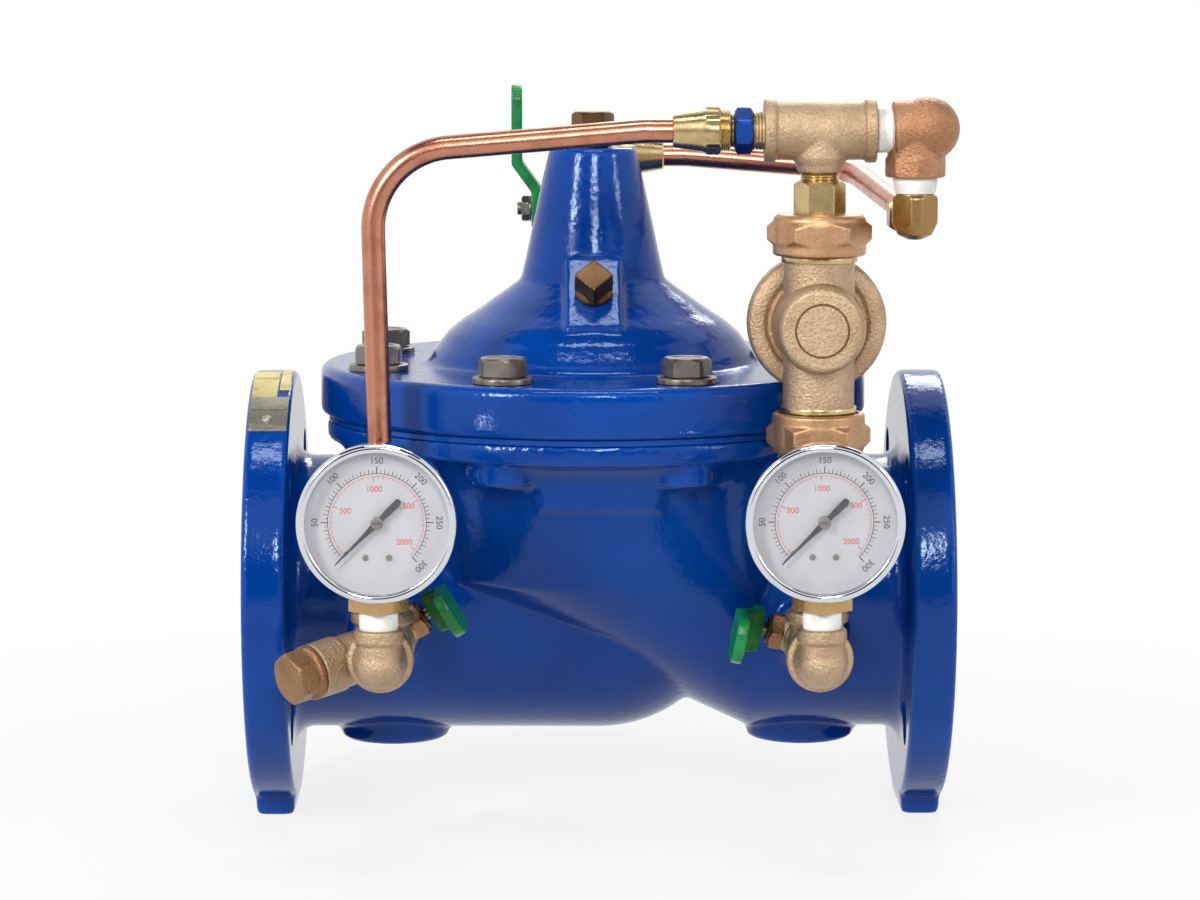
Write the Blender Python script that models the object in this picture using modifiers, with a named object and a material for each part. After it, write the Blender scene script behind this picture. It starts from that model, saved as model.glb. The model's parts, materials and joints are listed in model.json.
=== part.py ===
"""Pilot-operated diaphragm control valve, 3 in (DN80), flanged, with its pilot loop.

Blender 4.5, metres, +Z up. Every place below is given in the valve's own frame, whose origin is on
the pipe axis, half-way between the flange faces: +X runs with the flow from inlet to outlet, +Y to
the back and +Z to the cover. One empty carries that frame, and stands it on the two flange feet.
"""

import math

import bmesh
import bpy
from mathutils import Matrix, Vector

# Clearances
GAP = 0.0003
OVERSHOOT = 0.002

# Frame: the empty that carries the valve's own frame
FRAME_X = 0.0
FRAME_Y = 0.0198

# Threads and waterways that the whole trim shares
THREAD_RADIUS = 0.0070
THREAD_REACH = 0.009
WATERWAY_RADIUS = 0.0050

# Pipe bore, necks and flanges, from the bore outwards
BORE_RADIUS = 0.040
NECK_WALL = 0.0195
NECK_RADIUS = BORE_RADIUS + NECK_WALL
NECK_FILLET = 0.007
FLANGE_NUT_ROOM = 0.0167
FLANGE_BOLT_CIRCLE = NECK_RADIUS + FLANGE_NUT_ROOM
FLANGE_BOLT_EDGE = 0.01905
FLANGE_RADIUS = FLANGE_BOLT_CIRCLE + FLANGE_BOLT_EDGE
FLANGE_THICKNESS = 0.019
FLANGE_EDGE = 0.0018
FLANGE_BOLT_HOLE = 0.0095
FLANGE_BOLTS = 4
FOOT_RISE = 0.00475
AXIS_HEIGHT = FLANGE_RADIUS + FOOT_RISE
FOOT_WIDTH = 0.055
FOOT_DEPTH = 0.022
BODY_WALL = 0.009

# Seat, disc and plates, from the seat's bore outwards
SEAT_X = -0.002
SEAT_BORE_RADIUS = 0.0355
SEAT_HOLE_RADIUS = SEAT_BORE_RADIUS + 0.0065
SEAT_FLANGE_RADIUS = SEAT_HOLE_RADIUS + 0.004
SEAT_LIP_RISE = 0.004
SEAT_DEPTH = 0.012
DISC_INNER_RADIUS = SEAT_BORE_RADIUS - 0.0045
DISC_RADIUS = SEAT_HOLE_RADIUS + 0.002
DISC_THICKNESS = 0.0054
RETAINER_RADIUS = DISC_RADIUS + 0.002
PLATE_MARGIN = 0.010
PLATE_RADIUS = RETAINER_RADIUS + PLATE_MARGIN
PLATE_THICKNESS = 0.006

# Joint between body and cover, from the diaphragm's roll outwards
DIAPHRAGM_ROLL = 0.030
DIAPHRAGM_THICKNESS = 0.0024
BOWL_INNER_RADIUS = PLATE_RADIUS + DIAPHRAGM_ROLL
COVER_BOLTS = 8
COVER_BOLT_RADIUS = 0.006
COVER_BOLT_HEAD_AF = 2 * COVER_BOLT_RADIUS + 0.007
COVER_BOLT_HEAD_HEIGHT = 0.0082
WASHER_RADIUS = COVER_BOLT_HEAD_AF / 2 + 0.0035
WASHER_THICKNESS = 0.0024
BOLT_BOSS_RADIUS = COVER_BOLT_RADIUS + 0.0085
JOINT_LAND = 0.009
COVER_BOLT_CIRCLE = BOWL_INNER_RADIUS + JOINT_LAND + COVER_BOLT_RADIUS
BODY_TOP_RIM = 0.0106
BODY_TOP_RADIUS = COVER_BOLT_CIRCLE + COVER_BOLT_RADIUS + BODY_TOP_RIM
DIAPHRAGM_RADIUS = BODY_TOP_RADIUS - 0.0011
COVER_OVERHANG = 0.0028
COVER_RADIUS = BODY_TOP_RADIUS + COVER_OVERHANG
COVER_THICKNESS = 0.0215
COVER_EDGE = 0.004
COVER_WALL = 0.008
COVER_BOLT_BITE = 0.0152
COVER_BOLT_GRIP = COVER_THICKNESS + DIAPHRAGM_THICKNESS + WASHER_THICKNESS + COVER_BOLT_BITE

# Length of the body: the flanges stand clear of the cover
COVER_TO_FLANGE = 0.013
FLANGE_FACE_X = COVER_RADIUS + COVER_TO_FLANGE + FLANGE_THICKNESS
OUTLET_SHOULDER_X = FLANGE_FACE_X - 0.0764
INLET_SWELL_START = 0.036
INLET_SWELL_END = 0.085

# Heights of the body, from the pipe axis up
BODY_TOP_RISE = 0.0157
BODY_TOP_Z = NECK_RADIUS + BODY_TOP_RISE
BODY_TOP_THICKNESS = 0.0085
BOLT_BOSS_Z = BODY_TOP_Z - 0.0202
RETAINER_DROP = 0.0122
RETAINER_TOP_Z = BODY_TOP_Z - RETAINER_DROP

# Bowl, inlet nose and the bridge wall that carries the seat
NOSE_RADIUS = NECK_RADIUS + 0.0015
NOSE_OFFSET = 0.003
BOWL_RIM_RADIUS = BOWL_INNER_RADIUS + 2 * BODY_WALL
BOWL_RIM_Z = BODY_TOP_Z - 0.0092
BOWL_FOOT_RADIUS = BOWL_INNER_RADIUS - 0.001
BOWL_FOOT_Z = 0.005
BRIDGE_TOP_Z = 0.020
BRIDGE_WALL = 0.007
BRIDGE_REACH = SEAT_HOLE_RADIUS + 0.008

# Cover: ring, cone, neck and its two tapped pads
RING_RADIUS = COVER_BOLT_CIRCLE - 0.031
RING_HEIGHT = 0.0130
COVER_BOTTOM_Z = BODY_TOP_Z + DIAPHRAGM_THICKNESS + 2 * GAP
COVER_TOP_Z = COVER_BOTTOM_Z + COVER_THICKNESS
RING_TOP_Z = COVER_TOP_Z + RING_HEIGHT
CONE_RISE = 0.0238
NECK_FOOT_Z = RING_TOP_Z + CONE_RISE
COVER_NECK_LENGTH = 0.058
NECK_TOP_Z = NECK_FOOT_Z + COVER_NECK_LENGTH
NECK_TOP_RADIUS = 0.0193
SPRING_ROOM_RADIUS = 0.0262
SPRING_ROOM_Z = NECK_FOOT_Z - 0.005
NECK_FOOT_RADIUS = SPRING_ROOM_RADIUS + 0.0056
TAP_PAD_TILT = math.radians(42)
TAP_PAD_WIDTH = 0.025
TAP_PAD_Y = NECK_FOOT_RADIUS + 0.0132
TAP_PAD_Z = NECK_FOOT_Z - 0.0025
TAP_PAD_LENGTH = 0.040
TAP_PAD_DEPTH = 0.030
PLUG_HEX_AF = 0.0165
PLUG_SQUARE_AF = 0.0122

# Stem and main spring
STEM_RADIUS = 0.007
STEM_CLEARANCE = 0.00035
STEM_BOTTOM_Z = -0.010
STEM_TOP_Z = NECK_TOP_Z - 0.0285
STEM_NUT_AF = 0.020
STEM_NUT_HEIGHT = 0.010
MAIN_SPRING_WIRE = 0.0019
MAIN_SPRING_RADIUS = SPRING_ROOM_RADIUS - MAIN_SPRING_WIRE - 0.0028
MAIN_SPRING_TURNS = 5

# Tapping lines, one at each end of the body
TAP_X = FLANGE_FACE_X - 0.0609
TAP_Z = -0.0120
TAP_BOSS_RADIUS = THREAD_RADIUS + 0.008
SUPPORT_BOSS_RADIUS = 0.024
SUPPORT_BOSS_X = TAP_X - 0.001
SUPPORT_BOSS_Z = -(NECK_RADIUS + 0.0095)
COCK_LENGTH = 0.0255
BALL_RADIUS = 0.0070
COCK_RADIUS = BALL_RADIUS + 0.0042
COCK_HEX_AF = 2 * COCK_RADIUS - 0.0009
BALL_BORE = 0.0045
SOCKET_DEPTH = 0.0050
BALL_STEM_RADIUS = 0.0029
COCK_BOSS_REACH = 0.0200
COCK_BOSS_RADIUS = BALL_STEM_RADIUS + 0.0033
LEVER_THICKNESS = 0.0046
LEVER_SEAT = COCK_BOSS_REACH + LEVER_THICKNESS / 2 + 0.0027
LEVER_LENGTH = 0.056
LEVER_WIDTH = 0.0175
LEVER_OFFSET = 0.0090
LEVER_NUT_AF = 2 * BALL_STEM_RADIUS + 0.0042
INLET_LEVER_TILT = math.radians(32)
OUTLET_LEVER_TILT = math.radians(12)

# Trim plane: the loop stands clear of the body's top flange beside it
LOOP_SETBACK = 0.0091
LOOP_Y = LOOP_SETBACK - BODY_TOP_RADIUS
TEE_RADIUS = THREAD_RADIUS + 0.0050
TEE_COLLAR_RADIUS = TEE_RADIUS + 0.0012
TEE_COLLAR_WIDTH = 0.0048
TEE_HALF_LENGTH = 0.0170
TEE_RISE = 0.0170
TEE_FRONT_Y = LOOP_Y - TEE_HALF_LENGTH
TEE_TOP_Z = TAP_Z + TEE_RISE
TAP_BOSS_Y = LOOP_Y + TEE_HALF_LENGTH + COCK_LENGTH + 0.0005
COCK_Y = TAP_BOSS_Y - GAP - COCK_LENGTH / 2

# Gauge elbows and gauges
ELBOW_REACH = 0.0175
GAUGE_STEM_Y = TEE_FRONT_Y - ELBOW_REACH
ELBOW_COLLAR_RADIUS = THREAD_RADIUS + 0.0070
ELBOW_COLLAR_WIDTH = 0.0065
ELBOW_TUBE_RADIUS = THREAD_RADIUS + 0.0024
ELBOW_SPIGOT = 0.0065
ELBOW_PORT_RADIUS = THREAD_RADIUS + 0.0033
ELBOW_RISE = 0.0150
ELBOW_TOP_Z = TAP_Z + ELBOW_RISE
GAUGE_THREAD_TOP_Z = ELBOW_TOP_Z + 0.0075
GAUGE_CASE_RADIUS = 0.0314
GAUGE_RADIUS = GAUGE_CASE_RADIUS + 0.0015
GAUGE_Z = GAUGE_THREAD_TOP_Z + GAUGE_CASE_RADIUS + 0.0069
GAUGE_BACK_Y = GAUGE_STEM_Y + 0.0095
GAUGE_DEPTH = 0.0265
GAUGE_FRONT_Y = GAUGE_BACK_Y - GAUGE_DEPTH
GAUGE_WALL = 0.0013
GAUGE_BEZEL_DEPTH = 0.0075
DIAL_Y = GAUGE_FRONT_Y + 0.0070
GAUGE_SOCKET_RADIUS = THREAD_RADIUS + 0.0022
POINTER_TIP = GAUGE_CASE_RADIUS - 0.0069
POINTER_TAIL = 0.0135
POINTER_ZERO = math.radians(-135)

# Strainer on the inlet line
STRAINER_DIRECTION = Vector((-0.78, -0.58, -0.24)).normalized()
STRAINER_ROOT = 0.0075
BASKET_RADIUS = 0.0084
STRAINER_RADIUS = BASKET_RADIUS + 0.0034
STRAINER_LENGTH = 0.0380
STRAINER_CAP_AF = 2 * BASKET_RADIUS + 0.0032
STRAINER_CAP_LENGTH = 0.0125
SCREEN_RADIUS = BASKET_RADIUS - 0.0018

# Pilot valve on the outlet line, from the tee up
PILOT_TUBE_RADIUS = 0.0149
UNION_BORE = PILOT_TUBE_RADIUS + 0.0021
UNION_AF = 2 * UNION_BORE + 0.0045
UNION_HEIGHT = 0.0172
UNION_LIP = 0.0037
UNION_FLANGE = 0.0042
TAILPIECE_RADIUS = WATERWAY_RADIUS + 0.0042
TAILPIECE_AF = 2 * TAILPIECE_RADIUS + 0.0006
RISER_LENGTH = 0.0667
LOWER_UNION_Z = TEE_TOP_Z + RISER_LENGTH
PILOT_LOWER_ARM = 0.0535
PILOT_Z = LOWER_UNION_Z + PILOT_LOWER_ARM
PILOT_UPPER_ARM = 0.0296
UPPER_UNION_Z = PILOT_Z + PILOT_UPPER_ARM
TAIL_HEX_LENGTH = 0.0138
TAILPIECE_TOP_Z = UPPER_UNION_Z + UNION_HEIGHT + TAIL_HEX_LENGTH
BONNET_LENGTH = 0.0400
BONNET_ROOM_RADIUS = 0.0125
BONNET_TOP_RADIUS = BONNET_ROOM_RADIUS + 0.0025
BONNET_FOOT_RADIUS = BONNET_TOP_RADIUS + 0.0070
PILOT_FLANGE_RADIUS = BONNET_FOOT_RADIUS + 0.0073
PILOT_FLANGE_Y = LOOP_Y + PILOT_TUBE_RADIUS + 0.0006
PILOT_FLANGE_THICKNESS = 0.0055
PILOT_NOSE_RADIUS = PILOT_FLANGE_RADIUS - 0.0097
PILOT_NOSE_Y = LOOP_Y - PILOT_TUBE_RADIUS - 0.0106
PILOT_SEAT_Y = LOOP_Y - 0.0080
PILOT_ROOM_RADIUS = 0.0080
PILOT_RUBBER = 0.0014
SCREW_RADIUS = 0.0039
SCREW_LENGTH = 0.0290
PILOT_SPRING_WIRE = 0.0011
PILOT_SPRING_RADIUS = BONNET_ROOM_RADIUS - PILOT_SPRING_WIRE - 0.0019
PILOT_SPRING_TURNS = 5

# Front copper line, from the inlet tee to the pilot tee
PILOT_TEE_HALF = 0.0234
PILOT_TEE_DROP = 0.0172
LOOP_Z = TAILPIECE_TOP_Z + 0.0035 + PILOT_TEE_DROP
TUBE_RADIUS = 0.0050
TUBE_BEND = 0.034
BEND_STEP = math.radians(10)
TUBE_SAG = 0.0095
TUBE_LEAN = 0.0035
LOWER_FITTING_TOP_Z = TEE_TOP_Z + 0.0370
NUT_CONE_RADIUS = TUBE_RADIUS + 0.0047
NUT_HEX_AF = 2 * TUBE_RADIUS + 0.0075
RESTRICTION_X = TAP_X - PILOT_TEE_HALF - 0.0121
RESTRICTION_AF = 0.0170
RESTRICTION_WIDTH = 0.0076
NUT_X = RESTRICTION_X - 0.0258

# Return line, from the pilot tee round the back to the cover
STREET_X = TAP_X + PILOT_TEE_HALF + 0.0213
STREET_DROP_X = STREET_X - 0.0050
STREET_RADIUS = THREAD_RADIUS + 0.0064
STREET_SKIRT_AF = 2 * THREAD_RADIUS + 0.0095
STREET_SKIRT_TOP_Z = LOOP_Z - 0.0109
STREET_SKIRT_Z = STREET_SKIRT_TOP_Z - 0.0084
STREET_THREAD_Z = STREET_SKIRT_Z - 0.0067
TUBE_ELBOW_Z = STREET_THREAD_Z - 0.0105
TUBE_ELBOW_AF = 0.0165
TUBE_ELBOW_SOCKET = 0.0130
TUBE_ELBOW_END = 0.0290
REAR_Y = TAP_PAD_Y + 0.0080
REAR_COCK_Z = TAP_PAD_Z + 0.0299
REAR_COCK_HALF = 0.0126
REAR_Z = REAR_COCK_Z + REAR_COCK_HALF + 0.0115
REAR_NUT_START = 0.0190
REAR_NUT_END = 0.0325
REAR_SOCKET = REAR_NUT_END - 0.0105

# Colours, as the finish shows them
BLUE_EPOXY = (0.005, 0.055, 0.32)
BRONZE = (0.44, 0.30, 0.16)
BRASS = (0.58, 0.40, 0.13)
COPPER = (0.60, 0.27, 0.14)
STREET_BRONZE = (0.40, 0.20, 0.09)
STEEL = (0.42, 0.41, 0.40)
ZINC = (0.24, 0.22, 0.19)
DARK_BRONZE = (0.10, 0.065, 0.035)
GREEN_VINYL = (0.006, 0.22, 0.055)
RUBBER = (0.015, 0.015, 0.016)
CHROME = (0.75, 0.75, 0.76)
POINTER_BLACK = (0.01, 0.01, 0.01)

X_AXIS = Vector((1, 0, 0))
Y_AXIS = Vector((0, 1, 0))
Z_AXIS = Vector((0, 0, 1))
FINE = 24
MEDIUM = 14
COARSE = 8
SHANK_SIDES = 8

SEAT_LIP_Z = BRIDGE_TOP_Z + SEAT_LIP_RISE
TAP_NORMAL = Vector((0, -math.cos(TAP_PAD_TILT), math.sin(TAP_PAD_TILT)))
REAR_NORMAL = Vector((0, math.cos(TAP_PAD_TILT), math.sin(TAP_PAD_TILT)))


def clear_scene():
    """Remove every object of the scene, so that only the valve is left at the end."""
    for obj in list(bpy.data.objects):
        bpy.data.objects.remove(obj, do_unlink=True)


def new_collection(name):
    """Return a new collection that is linked to the scene."""
    collection = bpy.data.collections.new(name)
    bpy.context.scene.collection.children.link(collection)
    return collection


clear_scene()
PARTS = new_collection("control_valve")
CUTTERS = new_collection("cutters")
FRAME = bpy.data.objects.new("valve_frame", None)
FRAME.location = (FRAME_X, FRAME_Y, AXIS_HEIGHT)
PARTS.objects.link(FRAME)


def finish_material(name, colour, roughness, metallic):
    """Return a Principled material of one finish."""
    material = bpy.data.materials.new(name)
    material.use_nodes = True
    shader = material.node_tree.nodes["Principled BSDF"]
    shader.inputs["Base Color"].default_value = (*colour, 1.0)
    shader.inputs["Roughness"].default_value = roughness
    shader.inputs["Metallic"].default_value = metallic
    material.diffuse_color = (*colour, 1.0)
    return material


def axes_matrix(at, along, side=None):
    """Return the matrix that takes local +Z to a direction and local +X as near as can be to a side."""
    z = Vector(along).normalized()
    if side is None:
        side = X_AXIS if abs(z.x) < 0.9 else Y_AXIS
    x = (Vector(side) - z * Vector(side).dot(z)).normalized()
    y = z.cross(x)
    matrix = Matrix((x, y, z)).transposed().to_4x4()
    matrix.translation = Vector(at)
    return matrix


def add_object(name, mesh, matrix, helper):
    """Link an object of this mesh at a place in the valve's frame."""
    obj = bpy.data.objects.new(name, mesh)
    obj.parent = FRAME
    obj.matrix_local = matrix
    if helper:
        CUTTERS.objects.link(obj)
        obj.hide_render = True
        obj.display_type = "WIRE"
    else:
        PARTS.objects.link(obj)
    return obj


def mesh_from(name, bm):
    """Write a bmesh to a new mesh, with its faces pointing out and shaded smooth."""
    bmesh.ops.recalc_face_normals(bm, faces=bm.faces)
    mesh = bpy.data.meshes.new(name)
    bm.to_mesh(mesh)
    bm.free()
    mesh.shade_smooth()
    return mesh


def turned(name, profile, at=(0, 0, 0), along=Z_AXIS, steps=MEDIUM, helper=True, closed=False):
    """Turn a profile of (radius, height) points, listed from top to bottom down the outer side."""
    mesh = bpy.data.meshes.new(name)
    edges = [(i, i + 1) for i in range(len(profile) - 1)]
    if closed:
        edges.append((len(profile) - 1, 0))
    mesh.from_pydata([(radius, 0.0, height) for radius, height in profile], edges, [])
    obj = add_object(name, mesh, axes_matrix(at, along), helper)
    screw = obj.modifiers.new("turn", "SCREW")
    screw.axis = "Z"
    screw.angle = math.tau
    screw.steps = steps
    screw.render_steps = steps
    screw.use_merge_vertices = True
    screw.merge_threshold = 0.00001
    screw.use_smooth_shade = True
    return obj


def disc(name, radius, bottom, top, at=(0, 0, 0), along=Z_AXIS, steps=MEDIUM, helper=True, edge=0.0):
    """Turn a solid disc or rod between two heights, with a chamfer on its edges if one is given."""
    profile = [(0, top), (radius - edge, top)]
    if edge:
        profile += [(radius, top - edge), (radius, bottom + edge)]
        profile.append((radius - edge, bottom))
    else:
        profile.append((radius, bottom))
    profile.append((0, bottom))
    return turned(name, profile, at, along, steps, helper)


def ring(name, outer, inner, bottom, top, at=(0, 0, 0), along=Z_AXIS, steps=MEDIUM, helper=True):
    """Turn a plain ring of rectangular section."""
    profile = [(outer, top), (outer, bottom), (inner, bottom), (inner, top)]
    return turned(name, profile, at, along, steps, helper, closed=True)


def rod(name, radius, start, end, steps=COARSE, helper=True, edge=0.0):
    """Turn a round rod from one point to another."""
    start = Vector(start)
    span = Vector(end) - start
    return disc(name, radius, 0.0, span.length, start, span, steps, helper, edge)


def hexagon(name, across_flats, bottom, top, at=(0, 0, 0), along=Z_AXIS, side=None, helper=True,
            sides=6, edge=0.0):
    """Make a prism of regular section, its first corner towards the side direction, with chamfered ends."""
    bm = bmesh.new()
    radius = across_flats / 2 / math.cos(math.pi / sides)
    bmesh.ops.create_cone(
        bm, cap_ends=True, segments=sides, radius1=radius, radius2=radius, depth=top - bottom,
        matrix=Matrix.Translation((0, 0, (top + bottom) / 2)) @ Matrix.Rotation(math.pi / 2, 4, "Z"),
    )
    rims = [e for e in bm.edges if abs(e.verts[0].co.z - e.verts[1].co.z) < 1e-7]
    if edge:
        bmesh.ops.bevel(bm, geom=rims, offset=edge, segments=1, affect="EDGES", profile=0.5)
    mesh = mesh_from(name, bm)
    mesh.shade_flat()
    return add_object(name, mesh, axes_matrix(at, along, side), helper)


def block(name, size, at, along=Z_AXIS, side=None, helper=True, edge=0.0):
    """Make a box of a full size, centred on a point, with bevelled edges if one is given."""
    bm = bmesh.new()
    bmesh.ops.create_cube(bm, size=1.0, matrix=Matrix.Diagonal((*size, 1.0)))
    if edge:
        bmesh.ops.bevel(bm, geom=bm.edges[:], offset=edge, segments=2, affect="EDGES", profile=0.5)
    mesh = mesh_from(name, bm)
    mesh.shade_flat()
    return add_object(name, mesh, axes_matrix(at, along, side), helper)


def ball(name, radius, at, helper=True, segments=12, along=Z_AXIS):
    """Make a sphere with its poles along a direction."""
    bm = bmesh.new()
    bmesh.ops.create_uvsphere(bm, u_segments=segments, v_segments=segments // 2, radius=radius)
    turn = Matrix.Rotation(math.radians(5), 4, "Z")
    return add_object(name, mesh_from(name, bm), axes_matrix(at, along) @ turn, helper)


def stepped(name, start, way, *sizes, steps=COARSE, helper=True):
    """Turn a solid from a point outwards, each size being a radius and how far along the way it goes."""
    profile = [(0, sizes[-1][1])]
    for (radius, far), (_, near) in zip(sizes[::-1], sizes[-2::-1] + ((0, 0.0),)):
        profile += [(radius, far), (radius, near)]
    return turned(name, profile + [(0, 0)], start, way, steps, helper)


def hull_of_rings(name, rings, steps=FINE):
    """Make the convex solid that wraps circles, each given as (centre, normal, radius)."""
    bm = bmesh.new()
    for centre, normal, radius in rings:
        matrix = axes_matrix(centre, normal)
        for step in range(steps):
            angle = math.tau * (step + 0.5) / steps
            bm.verts.new(matrix @ Vector((radius * math.cos(angle), radius * math.sin(angle), 0)))
    bmesh.ops.convex_hull(bm, input=bm.verts[:], use_existing_faces=False)
    loose = [v for v in bm.verts if not v.link_faces]
    bmesh.ops.delete(bm, geom=loose, context="VERTS")
    bmesh.ops.dissolve_limit(bm, angle_limit=0.001, verts=bm.verts[:], edges=bm.edges[:])
    return add_object(name, mesh_from(name, bm), Matrix.Identity(4), True)


def pattern(name, radius, bottom, top, places, along=Z_AXIS, steps=COARSE):
    """Make one helper that holds a rod of the same size at each place."""
    bm = bmesh.new()
    turn = axes_matrix((0, 0, 0), along)
    for place in places:
        matrix = Matrix.Translation(Vector(place)) @ turn @ Matrix.Translation((0, 0, (top + bottom) / 2))
        bmesh.ops.create_cone(
            bm, cap_ends=True, segments=steps, radius1=radius, radius2=radius, depth=top - bottom,
            matrix=matrix,
        )
    return add_object(name, mesh_from(name, bm), Matrix.Identity(4), True)


def combine(target, operation, *others):
    """Add one exact Boolean to the target for each of the other objects."""
    for other in others:
        modifier = target.modifiers.new(other.name, "BOOLEAN")
        modifier.operation = operation
        modifier.solver = "EXACT"
        modifier.object = other
    return target


def join(target, *others):
    """Unite helpers with the target."""
    return combine(target, "UNION", *others)


def cut(target, *others):
    """Take helpers away from the target."""
    return combine(target, "DIFFERENCE", *others)


def tube(name, points, radius, resolution=2, helper=False):
    """Make a round bar along points, as a curve with filled caps."""
    curve = bpy.data.curves.new(name, "CURVE")
    curve.dimensions = "3D"
    curve.bevel_depth = radius
    curve.bevel_resolution = resolution
    curve.use_fill_caps = True
    spline = curve.splines.new("POLY")
    spline.points.add(len(points) - 1)
    for point, place in zip(spline.points, points):
        point.co = (*place, 1.0)
    return add_object(name, curve, Matrix.Identity(4), helper)


def coil_points(centre, along, radius, start, end, turns, steps=8):
    """Return the points of a helical spring between two distances along its axis."""
    matrix = axes_matrix(centre, along)
    count = turns * steps
    points = []
    for index in range(count + 1):
        angle = math.tau * index / steps
        height = start + (end - start) * index / count
        points.append(matrix @ Vector((radius * math.cos(angle), radius * math.sin(angle), height)))
    return points


def rounded_path(corners, radius):
    """Return a path through corners, each inner corner replaced by an arc of the given radius."""
    points = [Vector(corners[0])]
    for before, corner, after in zip(corners, corners[1:], corners[2:]):
        corner = Vector(corner)
        back = (Vector(before) - corner).normalized()
        ahead = (Vector(after) - corner).normalized()
        half = back.angle(ahead) / 2
        reach = radius / math.tan(half)
        centre = corner + (back + ahead).normalized() * (radius / math.sin(half))
        first = corner + back * reach - centre
        last = corner + ahead * reach - centre
        turn = first.angle(last)
        steps = max(1, round(turn / BEND_STEP))
        normal = first.cross(last).normalized()
        for step in range(steps + 1):
            points.append(centre + Matrix.Rotation(turn * step / steps, 3, normal) @ first)
    points.append(Vector(corners[-1]))
    return points


def dress(obj, material):
    """Give a finished sub-part its material."""
    obj.data.materials.append(material)
    return obj


def circle_places(count, radius, centre=(0, 0, 0), along=Z_AXIS):
    """Return places that are evenly spread on a circle, none of them on its main axes."""
    matrix = axes_matrix(centre, along)
    places = []
    for index in range(count):
        angle = math.tau * (index + 0.5) / count
        places.append(matrix @ Vector((radius * math.cos(angle), radius * math.sin(angle), 0)))
    return places


def arc(centre, radius, start, end, steps=4):
    """Return profile points along an arc, with its angles in degrees."""
    points = []
    for step in range(steps + 1):
        angle = math.radians(start + (end - start) * step / steps)
        points.append((centre[0] + radius * math.cos(angle), centre[1] + radius * math.sin(angle)))
    return points


# Main body

def flange_profile(inner_end):
    """Return the outline of a flange and its neck, from the flange face at height 0 down to an end."""
    back = -FLANGE_THICKNESS
    fillet = (NECK_RADIUS + NECK_FILLET, back - NECK_FILLET)
    outline = [
        (0, 0),
        (FLANGE_RADIUS - FLANGE_EDGE, 0),
        (FLANGE_RADIUS, -FLANGE_EDGE),
        (FLANGE_RADIUS, back + FLANGE_EDGE),
        (FLANGE_RADIUS - FLANGE_EDGE, back),
    ]
    outline += arc(fillet, NECK_FILLET, 90, 180, 3)
    return outline + inner_end


def make_inlet_shell():
    """Turn the inlet flange, its neck and the round nose of the inlet chamber under the seat."""
    nose = -(FLANGE_FACE_X + SEAT_X + NOSE_OFFSET)
    end = arc((0, nose), NOSE_RADIUS, 20, -90, 6)
    profile = flange_profile(end[:-1] + [(0, nose - NOSE_RADIUS)])
    return turned("inlet_shell", profile, (-FLANGE_FACE_X, 0, 0), -X_AXIS, FINE)


def make_outlet_shell():
    """Turn the outlet flange and its neck."""
    end = -(FLANGE_FACE_X - OUTLET_SHOULDER_X + 2 * BODY_WALL)
    profile = flange_profile([(NECK_RADIUS, end), (0, end)])
    return turned("outlet_shell", profile, (FLANGE_FACE_X, 0, 0), X_AXIS, FINE)


def bowl_rings(shrink):
    """Return the circles that the bowl wraps, drawn in by a wall thickness."""
    top = BOWL_RIM_Z + (BODY_TOP_Z - BOWL_RIM_Z + OVERSHOOT if shrink else 0)
    rim = BOWL_INNER_RADIUS if shrink else BOWL_RIM_RADIUS
    return [
        ((SEAT_X, 0, top), Z_AXIS, rim),
        ((SEAT_X, 0, BOWL_FOOT_Z + shrink), Z_AXIS, BOWL_FOOT_RADIUS - shrink),
        ((OUTLET_SHOULDER_X - shrink, 0, 0), X_AXIS, NECK_RADIUS + 0.0005 - shrink),
    ]


def make_body_top():
    """Turn the flange that carries the cover, with its taper into the bowl."""
    bottom = BODY_TOP_Z - BODY_TOP_THICKNESS
    edge = FLANGE_EDGE / 2
    profile = [
        (0, BODY_TOP_Z),
        (BODY_TOP_RADIUS - edge, BODY_TOP_Z),
        (BODY_TOP_RADIUS, BODY_TOP_Z - edge),
        (BODY_TOP_RADIUS, bottom + edge),
        (BODY_TOP_RADIUS - edge, bottom),
        (BODY_TOP_RADIUS - 4 * edge, bottom - edge),
        (BOWL_RIM_RADIUS + edge, bottom - 5 * edge),
        (BOWL_RIM_RADIUS - 3 * edge, BOLT_BOSS_Z),
        (0, BOLT_BOSS_Z),
    ]
    return turned("body_top", profile, (SEAT_X, 0, 0), Z_AXIS, FINE)


def make_inlet_room():
    """Make the inlet waterway: the bore, its swell and the chamber under the bridge wall."""
    room = NOSE_RADIUS - BODY_WALL
    nose = -(FLANGE_FACE_X + SEAT_X + NOSE_OFFSET)
    profile = [(0, OVERSHOOT), (BORE_RADIUS, OVERSHOOT), (BORE_RADIUS, -INLET_SWELL_START)]
    profile += [(NECK_RADIUS - BODY_WALL, -INLET_SWELL_END)]
    profile += arc((0, nose), room, 15, -90, 6)[:-1] + [(0, nose - room)]
    inlet = turned("inlet_room", profile, (-FLANGE_FACE_X, 0, 0), -X_AXIS, FINE)
    reach = BRIDGE_REACH + 2 * BODY_WALL + BORE_RADIUS
    low = BRIDGE_TOP_Z - BRIDGE_WALL
    centre = (SEAT_X + reach / 2 - BRIDGE_REACH - BODY_WALL, 0, low + BORE_RADIUS)
    roof = block("inlet_roof", (reach, 4 * BORE_RADIUS, 2 * BORE_RADIUS), centre)
    return cut(inlet, roof)


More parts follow.
